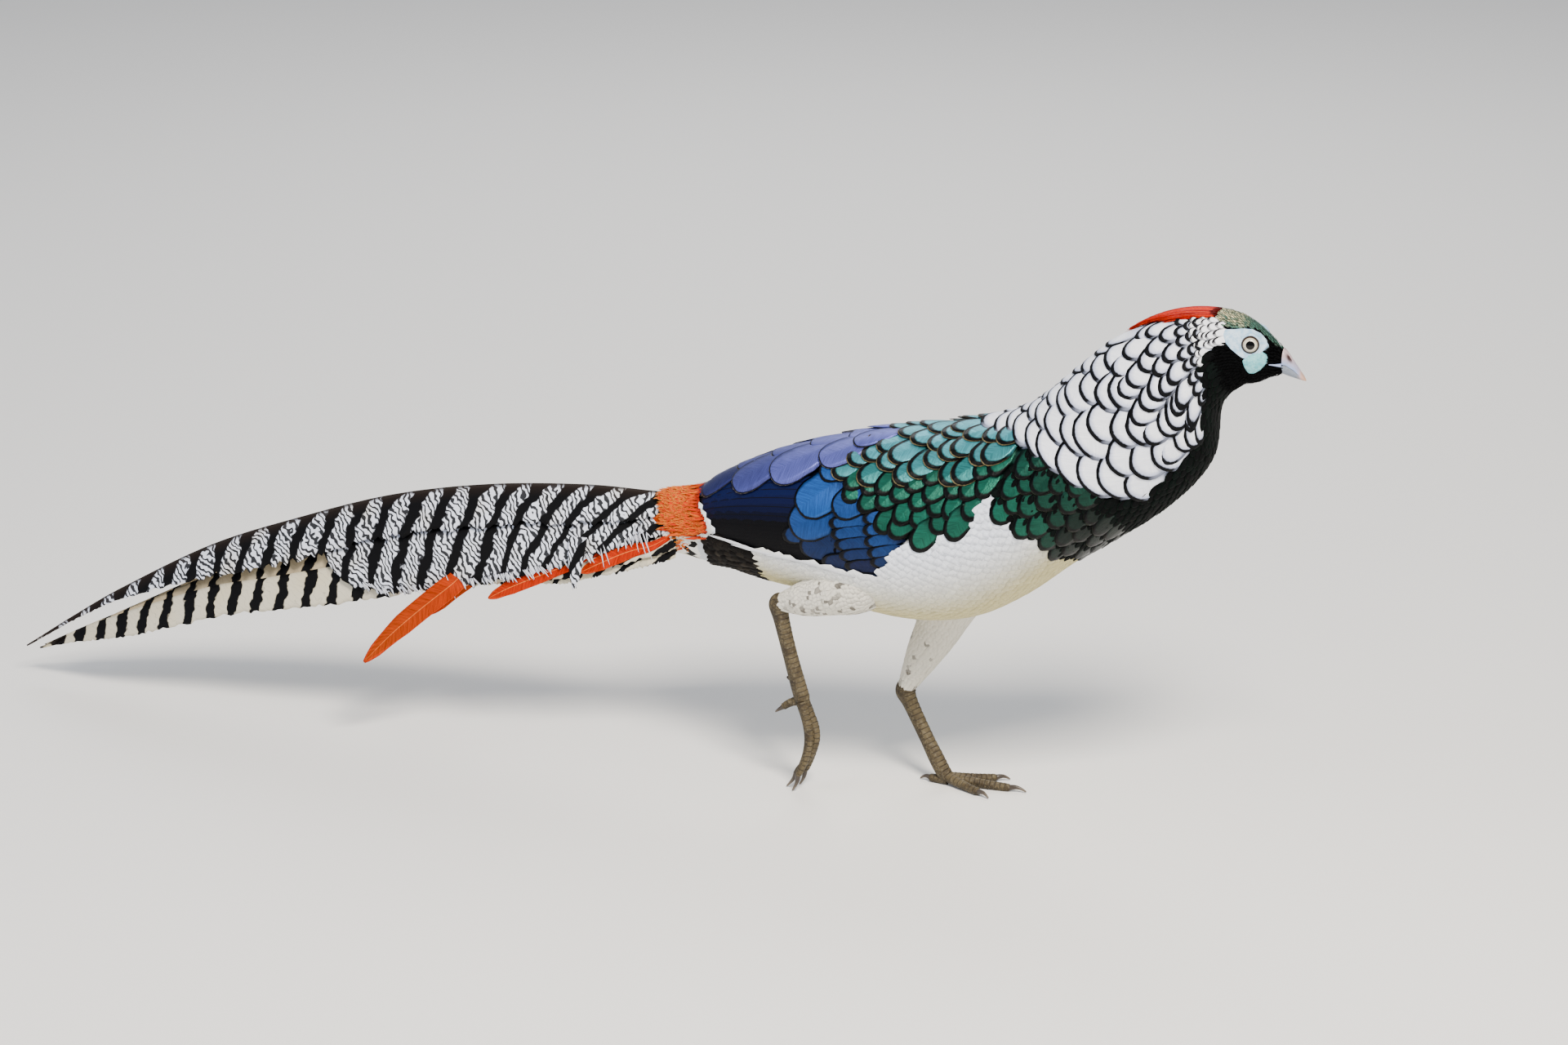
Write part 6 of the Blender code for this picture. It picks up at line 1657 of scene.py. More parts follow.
@dataclass(frozen=True)
class Rump:
    """Ragged orange tufts round the tail's root and the long coverts beside it."""

    strand = Vane(root=0.8, shoulder=0.5, power=1.4, low_rows=2, tip_rows=3, columns=3, camber=0.2 * MM,
                  ragged=0.25)
    covert_lift: float = -6.6 * MM
    covert_arch: float = 0.9 * MM
    covert_thickness: float = 0.6 * MM
    rows: int = 60
    columns: int = 9
    # Places and ways down on the tail, then free points (x, out, z), then the width.
    covert_rows = (
        (((0.9, 0.052), (1.5, 0.060), (2.0, 0.071), (2.24, 0.0775)),
         ((-0.1418, 0.045, 0.1394), (-0.1662, 0.052, 0.1181), (-0.1882, 0.058, 0.0972),
          (-0.2108, 0.062, 0.0725)), 0.0185),
        (((0.3, 0.046), (0.8, 0.0595), (1.02, 0.067), (1.28, 0.075), (1.52, 0.0825), (1.74, 0.0895),
          (1.96, 0.097)), (), 0.0125),
        (((-0.45, 0.034), (-0.18, 0.0455), (0.1, 0.0505), (0.34, 0.056), (0.62, 0.065), (0.88, 0.074)),
         (), 0.0125),
    )
    shares = ((0.0, 0.3), (0.15, 0.5), (0.35, 0.8), (0.6, 1.0), (0.8, 0.95), (0.93, 0.6), (1.0, 0.14))

    def tufts(self) -> None:
        """Lay the tufts."""
        rng = np.random.default_rng(51)
        n = 2200
        a = rng.uniform(0.052, 0.069, n)
        b = rng.uniform(-122.0, 122.0, n)
        length = rng.uniform(8.0, 16.0, n) * MM
        flock = Plumes.aimed(
            RUMP, a, b, rng.uniform(-24, 24, n), length, rng.uniform(0.6, 1.3, n) * MM,
            (rng.uniform(-3.0, 1.0, n) * MM, rng.uniform(1.0, 5.0, n) * MM), rng.uniform(0, 1, n) ** 2, rng,
        )
        cover("rump_tufts", [flock], self.strand, TUFT_FINISH, "rump_plumage")
        b = rng.uniform(-88.0, 88.0, n) + rng.normal(0.0, 6.0, n)
        a = rng.uniform(-0.7, 0.3 + 0.35 * ease((np.abs(b) - 45.0) / 40.0), n)
        length = rng.uniform(10.0, 19.0, n) * MM
        flock = Plumes.aimed(
            BODY, a, b, rng.uniform(-22, 22, n), length, rng.uniform(0.8, 1.5, n) * MM,
            (rng.uniform(-0.6, 0.3, n) * MM, rng.uniform(0.8, 3.0, n) * MM), rng.uniform(0, 1, n) ** 2, rng,
        )
        cover("rump_collar", [flock], self.strand, TUFT_FINISH, "rump_plumage")

    def route(self, side: int, path: tuple, free: tuple) -> Array:
        """Return the points of one long covert's path, first under the tail's edge and then in the air."""
        form = TAILS["right" if side > 0 else "left"]
        points = [form.point(place, down, self.covert_lift) for place, down in path]
        return np.array(points + [np.array([x, -side * out, z]) for x, out, z in free])

    def covert(self, word: str, k: int, material: bpy.types.Material) -> bpy.types.Object:
        """Make one long covert."""
        side = SIDES[word]
        path, free, width = self.covert_rows[k]
        if side < 0:
            path = tuple((place - 0.04 * (k + 1), down) for place, down in path)
            free = tuple((x + 0.005, out, z + 0.002) for x, out, z in free)
        route = self.route(side, path, free)
        places = np.linspace(0.0, 1.0, self.rows)
        path = catmull(route, places * (len(route) - 1))
        ahead = unit(np.gradient(path, axis=0))
        outward = unit(np.array([0.0, -side, 0.25]))
        across = unit(np.cross(ahead, outward))
        normal = unit(np.cross(across, ahead))
        half = 0.5 * width * read(self.shares, places)
        c = np.linspace(-1.0, 1.0, self.columns)
        arch = self.covert_arch * (1 - c ** 2)
        wide = across[:, None] * (half[:, None] * c)[..., None]
        upper = path[:, None] + wide + normal[:, None] * arch[None, :, None]
        under = (upper - normal[:, None] * self.covert_thickness)[:, ::-1]
        points = np.concatenate([upper, under], axis=1)
        vane = both_sides(np.stack(np.broadcast_arrays(0.5 + 0.5 * c, places[:, None]), axis=-1))
        length = steps_of(path).sum()
        size = np.broadcast_to((width / 2 / MM, length / MM, 0.3 + 0.2 * k), (*vane.shape[:2], 3))
        chart = 0.06 + 0.3 * k + 0.25 * vane * np.array([0.5, 1.0]) * 0.8
        tone = np.broadcast_to((0.2 + 0.6 * (k == 0)) * places[:, None], vane.shape[:2])
        return grid(f"long_covert_{word}_{k + 1}", points, material, uvs={"Vane": vane, "OFBake": chart},
                    values={"size": size, "tone": tone})

    def build(self) -> None:
        """Make tufts and long coverts."""
        self.tufts()
        material = COVERT_FINISH.dress(Vane(shoulder=0.8, power=2.0))
        for word in SIDES:
            for k in range(len(self.covert_rows)):
                report(self.covert(word, k, material), "rump_plumage", f"coverts_{word}")


@dataclass(frozen=True)
class Crest:
    """The red crest: hair-like strands from the crown's end down the nape."""

    strand = Vane(root=0.9, shoulder=0.5, power=1.5, low_rows=6, tip_rows=4, columns=3, camber=0.25 * MM,
                  ragged=0.1)
    count: int = 520

    def build(self) -> None:
        """Lay the strands."""
        rng = np.random.default_rng(61)
        n = self.count
        share = rng.uniform(-1.0, 1.0, n)
        root_a = 14.75 + 0.12 * rng.uniform(-1, 1, n) - 0.15 * share ** 2
        tip_a = 11.35 + 1.3 * share ** 2 + rng.uniform(-0.3, 2.2, n) * rng.uniform(0, 1, n)
        roots = np.stack([root_a, share * 27.0], axis=-1)
        narrow = 8.0 + 18.0 * ease((tip_a - 11.3) / 2.0)
        tips = np.stack([tip_a, share * narrow + rng.uniform(-1.5, 1.5, n)], axis=-1)
        level = rng.uniform(0.0, 1.0, n)
        low, high = (-0.8 + 1.4 * level) * MM, (-1.6 + 2.6 * level) * MM
        flock = Plumes.between(BODY, roots, tips, rng.uniform(0.9, 1.4, n) * MM, (low, high),
                               rng.uniform(0, 1, n) ** 2 * 0.8, rng)
        cover("crest_strands", [flock], self.strand, CREST_FINISH, "crest_plumage", "crest")


# Head: bare skin, lappets, lids, eyes and bill.
def bare_skin(name: str, pale: str, deep: str, shade: str, grain_mm: float) -> bpy.types.Material:
    """Bare skin: fine granules, mottled between two tones, with a few darker marks."""
    material, t = new_material(name)
    place = add(t, "TexCoord").outputs["Object"]
    broad = noise(t, place, 260.0, 3.0)
    fine = noise(t, place, 900.0, 2.0)
    cells = add(t, "TexVoronoi", sockets={"Vector": place, "Scale": 1000.0 / grain_mm})
    colour = mix(t, ramp(t, broad, 0.4, 0.62, 0.0, 1.0), pale, deep)
    colour = mix(t, ramp(t, fine, 0.55, 0.8, 0.0, 0.6), colour, shade)
    height = calc(t, "MULTIPLY_ADD", cells.outputs["Distance"], -1.0, fine)
    close(t, colour, 0.5, height, 0.25 * MM, Specular_IOR_Level=0.3, Sheen_Weight=0.1)
    return material


@dataclass(frozen=True)
class EyeView:
    """The plane of one eye: a centre and the directions ahead, up and out."""

    side: int
    centre = (0.5070, 0.0128, 0.3978)
    turn, rise = math.radians(14), math.radians(4)

    @property
    def axes(self) -> tuple[Array, Array, Array, Array]:
        """Return centre, ahead, up and out."""
        out = unit(np.array([math.sin(self.turn), -self.side * math.cos(self.turn), math.sin(self.rise)]))
        up = unit(np.array([0.0, 0.0, 1.0]) - out * out[2])
        x, y, z = self.centre
        return np.array([x, -self.side * y, z]), self.side * np.cross(up, out), up, out

    def flat(self, points: Array) -> tuple[Array, Array, Array]:
        """Return how far ahead, up and out points lie."""
        centre, *axes = self.axes
        return tuple(dot(points - centre, axis) for axis in axes)

    def solid(self, u: Array, v: Array, w: Array) -> Array:
        """Return the points that lie u ahead, v up and w out."""
        centre, ahead, up, out = self.axes
        return centre + u[..., None] * ahead + v[..., None] * up + w[..., None] * out

    def find(self, u: Array, v: Array) -> tuple[Array, Array]:
        """Return the station and turn of the head's surface behind places in the plane."""
        stations, turns = np.meshgrid(np.arange(14.4, 20.2, 0.1), np.arange(6.0, 150.0, 3.0), indexing="ij")
        known = BODY.point(stations, turns * self.side, 0.0).reshape(-1, 3)
        ku, kv, _ = self.flat(known)
        near = np.argmin((ku - u.reshape(-1, 1)) ** 2 + (kv - v.reshape(-1, 1)) ** 2, axis=1)
        a, b = stations.ravel()[near].reshape(u.shape), turns.ravel()[near].reshape(u.shape) * self.side
        _, ahead, up, _ = self.axes
        for _ in range(8):
            pu, pv, _ = self.flat(BODY.point(a, b, 0.0))
            wish = (u - pu)[..., None] * ahead + (v - pv)[..., None] * up
            da, db = BODY.move(BODY.slopes(a, b), wish)
            a, b = a + 0.8 * da, b + 0.8 * db
        return a, b


@dataclass(frozen=True)
class Head:
    """One side of the face, and the bill."""

    ball: float = 7.7 * MM
    lid: float = 6.5 * MM
    lid_out: float = 4.2 * MM
    spokes: int = 120
    nostril = (0.5349, 0.3862)
    # The pupil's and the iris's soft edge, in mm from the eye's axis.
    pupil_edge, iris_edge = (3.35, 3.55), (5.35, 5.65)
    # Where the upper and the lower bill end, x of the bill's root, half the mouth's gap, breadth below.
    upper_end, lower_end, bill_root, mouth_gap, low_breadth = 4.96, 3.15, 0.530, 0.15 * MM, 0.93

    def reach(self, view: EyeView, outline: tuple, centre: tuple) -> Array:
        """Return how far an outline lies from a centre, for each spoke round it."""
        station, turn = np.transpose(np.asarray(outline, float))
        u, v, _ = view.flat(BODY.point(station, turn * view.side, 0.0))
        angles = angles_round(self.spokes)[:, None]
        dx, dy = np.cos(angles), np.sin(angles)
        x0, y0 = (u - centre[0])[None], (v - centre[1])[None]
        ex, ey = np.roll(x0, -1, axis=1) - x0, np.roll(y0, -1, axis=1) - y0
        det = dx * ey - dy * ex
        det = np.where(np.abs(det) < 1e-9, 1e-9, det)
        far, along = (x0 * ey - y0 * ex) / det, (x0 * dy - y0 * dx) / det
        hit = np.where((along >= 0) & (along <= 1) & (far > 0), far, 0.0).max(axis=1)
        for _ in range(2):
            hit = 0.25 * np.roll(hit, 1) + 0.5 * hit + 0.25 * np.roll(hit, -1)
        return hit

    def patch(
        self, view: EyeView, reach: Array, centre: tuple, inner: float, shares: Array, blend: bool,
        rise: Callable,
    ) -> Array:
        """Return the upper and lower skin of a patch round a centre.

        Args:
            view: The eye's plane.
            reach: Radius of the outline for each spoke.
            centre: Middle of the spokes in the plane.
            inner: Radius of the first row.
            shares: Rows from the first, 0, to the outline, 1.
            blend: Whether the first rows rise to the lids.
            rise: Function of share, metres from the first row and angle that gives the lift.

        Returns:
            A grid of points, rows out along the top and back underneath.
        """
        angles = angles_round(self.spokes)[None]
        share = shares[:, None]
        away = (reach[None] - inner) * share
        radius = inner + away
        u, v = centre[0] + radius * np.cos(angles), centre[1] + radius * np.sin(angles)
        a, b = view.find(u, v)
        top = BODY.point(a, b, rise(share, away, angles))
        if blend:
            _, _, out = view.flat(top)
            lift = (self.lid_out - 0.3 * MM - out) * np.exp(-(away / (2.2 * MM)) ** 2)
            top = top + lift[..., None] * view.axes[3]
        under = BODY.point(a, b, -1.6 * MM)[::-1]
        return np.concatenate([top, under], axis=0)

    def face(self, view: EyeView, material: bpy.types.Material) -> bpy.types.Object:
        """Make the bare skin round an eye, with folds that run round the lids."""
        reach = self.reach(view, FACE_OUTLINE, (0.0, 0.0))

        def rise(share: Array, away: Array, angle: Array) -> Array:
            """Return the lift of the folds and ripples that run round the lids."""
            mm = away / MM
            fold = 0.45 * np.exp(-((mm - 1.2) / 0.5) ** 2) - 0.45 * np.exp(-((mm - 2.2) / 0.3) ** 2)
            ripple = 0.14 * np.sin(2 * math.pi * mm / 1.15 + 1.3 * np.sin(3 * angle)) * np.exp(-mm / 6.0)
            return (0.25 + fold + ripple - 1.3 * ease((share - 0.9) / 0.1)) * MM

        points = self.patch(view, reach, (0.0, 0.0), self.lid, np.linspace(0.0, 1.0, 34), True, rise)
        return grid(f"face_{view.side}", points, material, loop=True)

    def lappet(self, view: EyeView, material: bpy.types.Material) -> bpy.types.Object:
        """Make the rounded lappet under an eye."""
        station, turn = np.transpose(np.asarray(LAPPET_OUTLINE, float))
        u, v, _ = view.flat(BODY.point(station, turn * view.side, 0.0))
        centre = (float(u.mean()), float(v.mean()))
        reach = self.reach(view, LAPPET_OUTLINE, centre)

        def rise(share: Array, away: Array, angle: Array) -> Array:
            """Return the lift of a dome with shallow creases."""
            dome = 1.9 * np.sqrt(np.clip(1.0 - share ** 2.6, 0.0, 1.0))
            crease = 0.10 * np.sin(away * np.cos(angle) / MM * 4.2 + 0.8 * np.sin(away * np.sin(angle) / MM))
            return (dome + crease * (1 - share) - 0.5) * MM

        points = self.patch(view, reach, centre, 0.1 * MM, np.linspace(0.0, 1.0, 24), False, rise)
        return grid(f"lappet_{view.side}", points, material)

    def lids(self, view: EyeView, material: bpy.types.Material) -> bpy.types.Object:
        """Make the dark rim of the lids."""
        around = angles_round(96)[:, None]
        turn = angles_round(12)[None]
        radius = self.lid - 0.15 * MM + 0.55 * MM * np.cos(turn)
        high = self.lid_out + 0.45 * MM * np.sin(turn) + 0 * around
        points = view.solid(radius * np.cos(around), radius * np.sin(around), high)
        return grid(f"lids_{view.side}", points, material, loop=True)

    def eye(self, view: EyeView, material: bpy.types.Material) -> bpy.types.Object:
        """Make the eyeball, with the attribute ring in millimetres from its axis."""
        polar = np.linspace(0.01, math.pi - 0.01, 64)[:, None]
        around = angles_round(96)[None]
        radius = self.ball * np.sin(polar) + 0 * around
        high = self.ball * np.cos(polar) + 0 * around
        points = view.solid(radius * np.cos(around), radius * np.sin(around), high)
        ring = np.where(polar < math.pi / 2, radius, 9.0 * MM) / MM
        return grid(f"eyeball_{view.side}", points, material, values={"ring": ring})

    def eye_finish(self) -> bpy.types.Material:
        """Wet eye: black pupil, pale iris with fine radial grain and a brown edge."""
        material, t = new_material("wet eye, pale iris")
        ring = add(t, "Attribute", attribute_name="ring").outputs["Fac"]
        place = add(t, "TexCoord").outputs["Object"]
        grain = noise(t, place, 1200.0, 2.0)
        iris = mix(t, ramp(t, ring, 3.1, 5.2, 0.0, 1.0), "#efeada", "#b8b09a")
        iris = mix(t, ramp(t, grain, 0.45, 0.75, 0.0, 0.35), iris, "#8f8570")
        colour = mix(t, ramp(t, ring, *self.iris_edge, 0.0, 1.0), iris, "#2a1d16")
        colour = mix(t, ramp(t, ring, *self.pupil_edge, 1.0, 0.0), colour, "#010101")
        close(t, colour, 0.1, Specular_IOR_Level=0.2, Coat_Weight=0.2, Coat_Roughness=0.02)
        return material

    def bill_finish(self) -> bpy.types.Material:
        """Horn: blue-grey above, olive-grey below, tan at the tip, and dark brown in the nostril's hollow as
        painted shade.
        """
        material, t = new_material("bill horn")
        ahead, above, nostril = vector_parts(t, "spot")
        place = add(t, "TexCoord").outputs["Object"]
        grain = noise(t, place, 500.0, 4.0)
        upper = mix(t, ramp(t, above, 1.0, 6.5, 0.0, 1.0), "#92a3cb", "#b9a2a6")
        lower = mix(t, grain, "#8b95a6", "#6c7480")
        colour = mix(t, ramp(t, above, -0.2, 0.2, 0.0, 1.0), lower, upper)
        colour = mix(t, ramp(t, ahead, 11.0, 17.0, 0.0, 0.8), colour, "#c99a76")
        # Painted shade: the nostril's hollow is painted dark brown.
        colour = mix(t, nostril, colour, "#33211f")
        colour = mix(t, ramp(t, grain, 0.5, 0.8, 0.0, 0.3), colour, "#6f6a6a")
        close(t, colour, 0.34, grain, 0.08 * MM, Specular_IOR_Level=0.4)
        return material

    def bill(self, name: str, upper: bool, material: bpy.types.Material) -> bpy.types.Object:
        """Make the upper or the lower bill, cut along the mouth's line."""
        places = np.linspace(0.0, self.upper_end if upper else self.lower_end, 90)[:, None]
        turns = turns_round(72)
        points = BILL.point(places, turns, 0.0)
        line = read(BILL.mouth if upper else BILL.low_mouth, points[..., 0])
        if upper:
            points[..., 2] = np.maximum(points[..., 2], line + self.mouth_gap)
        else:
            points = points * np.array([1.0, self.low_breadth, 1.0])
            points[..., 2] = np.minimum(points[..., 2], line - self.mouth_gap)
        above = points[..., 2] - line
        hole_x, hole_z = self.nostril
        slit_x = points[..., 0] - hole_x - 0.6 * (hole_z - points[..., 2])
        far = np.hypot(slit_x / (1.5 * MM), (points[..., 2] - hole_z) / (3.2 * MM))
        side = np.sign(points[..., 1])
        hollow = np.exp(-far ** 4) * (np.abs(points[..., 1]) > 2.0 * MM) * upper
        flap = np.exp(-((far - 1.5) / 0.35) ** 2) * (points[..., 0] < hole_x) * upper
        points[..., 1] -= side * (1.1 * hollow - 0.5 * flap) * MM
        # The third part of spot marks the nostril's hollow, which the horn paints in dark shade.
        spot = np.stack([(points[..., 0] - self.bill_root) / MM, above / MM, hollow], axis=-1)
        return grid(name, points, material, values={"spot": spot})

    def gape(self, view: EyeView, material: bpy.types.Material) -> bpy.types.Object:
        """Make the pale edge of the mouth that runs back from the bill."""
        steps = 16
        x, z = np.linspace(0.5215, 0.5312, steps), np.linspace(0.3822, 0.3815, steps)
        u, v, _ = view.flat(np.stack([x, np.full(steps, -view.side * 0.012), z], axis=-1))
        a, b = view.find(u, v)
        middle = BODY.point(a, b, 0.05 * MM)
        turn = angles_round(10)[None]
        radius = (0.35 + 1.15 * np.linspace(0.0, 1.0, steps) ** 1.3)[:, None] * MM
        _, _, up, out = view.axes
        high, wide = radius * np.cos(turn), radius * np.sin(turn)
        points = middle[:, None] + high[..., None] * up + wide[..., None] * out
        spot = np.stack(np.broadcast_arrays(0.0 * radius + 0 * turn, 1.0, 0.0), axis=-1)
        return grid(f"gape_{view.side}", points, material, values={"spot": spot})

    def build(self) -> None:
        """Make both sides of the face, the eyes and the bill."""
        skin = bare_skin("bare face skin", "#c3dcf0", "#94bfdf", "#6f9cbe", 0.7)
        lobe = bare_skin("lappet skin", "#84ccd2", "#5cb0ba", "#bfe6e3", 0.6)
        rim = bare_skin("dark lid rim", "#231915", "#2f231d", "#15100e", 0.5)
        wet, horn = self.eye_finish(), self.bill_finish()
        for word, side in SIDES.items():
            view = EyeView(side)
            for piece in (self.face(view, skin), self.lappet(view, lobe), self.lids(view, rim)):
                report(piece, "crown_plumage")
            report(self.gape(view, horn), "bill_horn")
            report(self.eye(view, wet), "eye", f"eye_{word}")
        for name, upper in (("bill_upper", True), ("bill_lower", False)):
            report(self.bill(name + "_horn", upper, horn), "bill_horn", name)


# Legs: shanks with a spur, toes and claws.
@dataclass(frozen=True)
class Leg:
    """One shank and foot of scaled skin, with horn claws."""

    word: str
    scute, toe_scute = 4.2 * MM, 3.4 * MM
    # Millimetres round a tube with a radius of one metre.
    round_mm = 6283.0
    # Height of the flat foot over the floor, of the claws' tips and of the trailing toes' ends.
    foot_gap, claw_end, hung_end = 0.05 * MM, 0.9 * MM, 12.5 * MM
    ankles = {"left": (0.2597, 0.016, 0.0062), "right": (0.1550, -0.0338, 0.0755)}
    # Rows of x, y, z and radius.
    shanks = {
        "left": ((0.2262, 0.0248, 0.0860, 0.0060), (0.224, 0.0245, 0.0795, 0.0064),
                 (0.2215, 0.024, 0.072, 0.0076), (0.226, 0.0232, 0.062, 0.0058),
                 (0.240, 0.0202, 0.037, 0.0053), (0.2505, 0.0179, 0.0190, 0.0058),
                 (0.2560, 0.0167, 0.0105, 0.0056), (0.2605, 0.0160, 0.0058, 0.0050)),
        "right": ((0.1490, -0.0425, 0.1605, 0.0060), (0.1435, -0.0424, 0.1590, 0.0065),
                  (0.1385, -0.042, 0.1560, 0.0077), (0.1400, -0.0414, 0.1440, 0.0059),
                  (0.1460, -0.0385, 0.1150, 0.0054), (0.1525, -0.0350, 0.0860, 0.0058),
                  (0.1545, -0.0340, 0.0775, 0.0058), (0.1552, -0.0337, 0.0730, 0.0050)),
    }
    # Toes of the flat foot: name, heading in degrees and length in mm.
    flat_toes = (("inner", -27, 36), ("middle", 2, 53), ("outer", 30, 41), ("hind", 172, 16))
    # Toes of the trailing foot: name, way aside, way ahead and bow in mm; then its hind toe's points.
    hung_toes = (("inner", 6.8, -2, 8), ("middle", 0, -6, 14), ("outer", -6.8, -1, 9))
    hung_hind = ((-1, 0, -1), (-5, 0, -1.6), (-9, 0, -3), (-13, 0, -5.4), (-16.5, 0, -8))
    claw_mm = {"inner": 10.5, "middle": 12.5, "outer": 10.5, "hind": 8.5}

    def limb(
        self, name: str, path: Array, dorsal: tuple, pitch: float, material: bpy.types.Material,
        columns: int = 28, deep: float = 1.0, blunt: float = 0.0,
    ) -> bpy.types.Object:
        """Make a tapering tube with scutes across its front.

        Args:
            name: The object's name.
            path: Rows of x, y, z and radius.
            dorsal: Direction that the scutes face.
            pitch: Metres from scute to scute; 0 leaves them out.
            material: The finish.
            columns: Points round the tube.
            deep: Depth fore and aft by width.
            blunt: Share of the length over which the far end is rounded off.

        Returns:
            The object, with the attribute spot: metres along, turn from -0.5 to 0.5 and radius.
        """
        steps = len(path) - 1
        length = steps_of(np.asarray(path)[:, :3]).sum()
        rows = max(int(length / (0.5 * MM)), 12)
        place = np.linspace(0.0, steps, rows)
        line = catmull(path, place)
        ahead = unit(np.gradient(line[:, :3], axis=0))
        front = np.asarray(dorsal, float)
        front = unit(front - ahead * dot(ahead, front)[:, None])
        side = np.cross(front, ahead)
        metres = metres_along(line[:, :3])[:, None]
        turn = np.linspace(-0.5, 0.5, columns, endpoint=False)[None]
        radius = line[:, 3:] * (1.0 + 0 * turn)
        if pitch:
            tooth = np.mod(metres / pitch, 1.0)
            groove = np.exp(-((tooth - 0.5) / 0.11) ** 2) * ease((0.27 - np.abs(turn)) * 12)
            lap = (tooth - 0.5) * ease((0.25 - np.abs(turn)) * 12)
            radius = radius - (0.28 * groove - 0.14 * lap) * MM
        if blunt:
            close_by = np.clip((place / steps - 1 + blunt) / blunt, 0, 0.995)
            radius = radius * np.sqrt(np.clip(1.0 - close_by ** 2, 0, 1))[:, None]
        wave = 2 * math.pi * turn
        fore, aside = radius * np.cos(wave) * deep, radius * np.sin(wave)
        points = line[:, None, :3] + fore[..., None] * front[:, None] + aside[..., None] * side[:, None]
        spot = np.stack(np.broadcast_arrays(metres, turn, radius), axis=-1)
        return grid(name, points, material, values={"spot": spot})

    def dorsal(self, label: str) -> tuple:
        """Return the direction that a toe's back faces: up, or ahead where the foot hangs."""
        return (0.0, 0.0, 1.0) if self.word == "left" or label == "hind" else (1.0, 0.0, 0.2)

    def toes(self) -> dict[str, tuple[Array, Array]]:
        """Return each toe's path with radii, and the direction in which it ends."""
        made = {}
        joint = np.array(self.ankles[self.word])
        share = np.linspace(0.0, 1.0, 7)
        if self.word == "left":
            for label, heading, length in self.flat_toes:
                way = np.array([math.cos(math.radians(heading)), math.sin(math.radians(heading)), 0.0])
                radius = (4.3 - 1.2 * share) * MM
                hump = 0.0 if label == "hind" else 2.2 * MM
                points = joint + way * (share * length * MM)[:, None]
                points[:, 2] = radius + self.foot_gap + hump * (1 - share) ** 2
                made[label] = (np.column_stack([points, radius]), way)
            return made
        for label, aside, ahead, bow in self.hung_toes:
            start = joint + np.array([0.0, -aside * 0.45, -1.0]) * MM
            end = np.array([joint[0] + ahead * MM, joint[1] - aside * MM, self.hung_end])
            points = start + (end - start) * share[:, None]
            points[:, 0] += bow * MM * np.sin(math.pi * share)
            made[label] = (np.column_stack([points, (4.3 - 1.4 * share) * MM]), unit(points[-1] - points[-2]))
        points = joint + np.array(self.hung_hind) * MM
        radius = np.linspace(4.0, 2.8, 5) * MM
        made["hind"] = (np.column_stack([points, radius]), unit(points[-1] - points[-2]))
        return made

    def claw(self, label: str, path: Array, way: Array, material: bpy.types.Material) -> bpy.types.Object:
        """Make one curved claw, with the attribute spot."""
        share = np.linspace(0.0, 1.0, 9)
        length = self.claw_mm[label] * MM
        start = path[-1, :3] - way * 1.6 * MM
        points = start + way * ((length + 1.4 * MM) * share)[:, None]
        if self.word == "left":
            points[:, 2] += 1.3 * np.sin(math.pi * share) * MM
            points[:, 2] += (self.claw_end - points[-1, 2]) * share ** 2
        elif label != "hind":
            points[:, 2] = start[2] + (self.claw_end - start[2]) * share
            points[:, 0] += 1.2 * MM * np.sin(math.pi * share)
        radius = (2.3 - 1.7 * share) * MM
        name, path = f"claw_{self.word}_{label}_horn", np.column_stack([points, radius])
        return self.limb(name, path, self.dorsal(label), 0.0, material, columns=16, deep=1.05, blunt=0.08)

    def skin_finish(self) -> bpy.types.Material:
        """Scaled skin: broad scutes in front, small scales behind, earthy olive-brown mottling."""
        material, t = new_material("scaled leg skin")
        metres, turn, radius = vector_parts(t, "spot")
        place = add(t, "TexCoord").outputs["Object"]
        around = calc(t, "MULTIPLY", calc(t, "MULTIPLY", turn, radius), self.round_mm)
        net = add(t, "CombineXYZ", calc(t, "MULTIPLY", metres, 1000.0), around, 0.0)
        cells = add(t, "TexVoronoi", sockets={"Vector": net, "Scale": 0.55}, feature="DISTANCE_TO_EDGE")
        back = ramp(t, calc(t, "ABSOLUTE", turn), 0.2, 0.27, 0.0, 1.0)
        seam = ramp(t, cells.outputs["Distance"], 0.03, 0.14, 1.0, 0.0)
        tooth = calc(t, "FRACT", calc(t, "MULTIPLY", metres, 1.0 / self.scute))
        off = calc(t, "ABSOLUTE", calc(t, "SUBTRACT", tooth, 0.5))
        line = ramp(t, off, 0.04, 0.13, 1.0, 0.0)
        dark = mix(t, back, line, seam)
        broad = noise(t, place, 90.0, 4.0)
        fine = noise(t, place, 420.0, 3.0)
        colour = mix(t, ramp(t, broad, 0.4, 0.62, 0.0, 1.0), "#574c35", "#392f1f")
        colour = mix(t, ramp(t, fine, 0.5, 0.72, 0.0, 0.5), colour, "#766d58")
        colour = mix(t, calc(t, "MULTIPLY", dark, 0.75), colour, "#1e1811")
        height = calc(t, "MULTIPLY_ADD", dark, -1.0, fine)
        close(t, colour, 0.62, height, 0.2 * MM, Specular_IOR_Level=0.3)
        return material

    def horn_finish(self) -> bpy.types.Material:
        """Claw horn: dark grey-brown with a paler worn tip."""
        material, t = new_material("claw horn")
        metres = vector_parts(t, "spot")[0]
        grain = add(t, "TexNoise", sockets={"Vector": add(t, "TexCoord").outputs["Object"], "Scale": 600.0})
        colour = mix(t, ramp(t, metres, 5 * MM, 12 * MM, 0.0, 0.6), "#3a322b", "#75695a")
        close(t, colour, 0.35, grain, 0.1 * MM, Specular_IOR_Level=0.45)
        return material

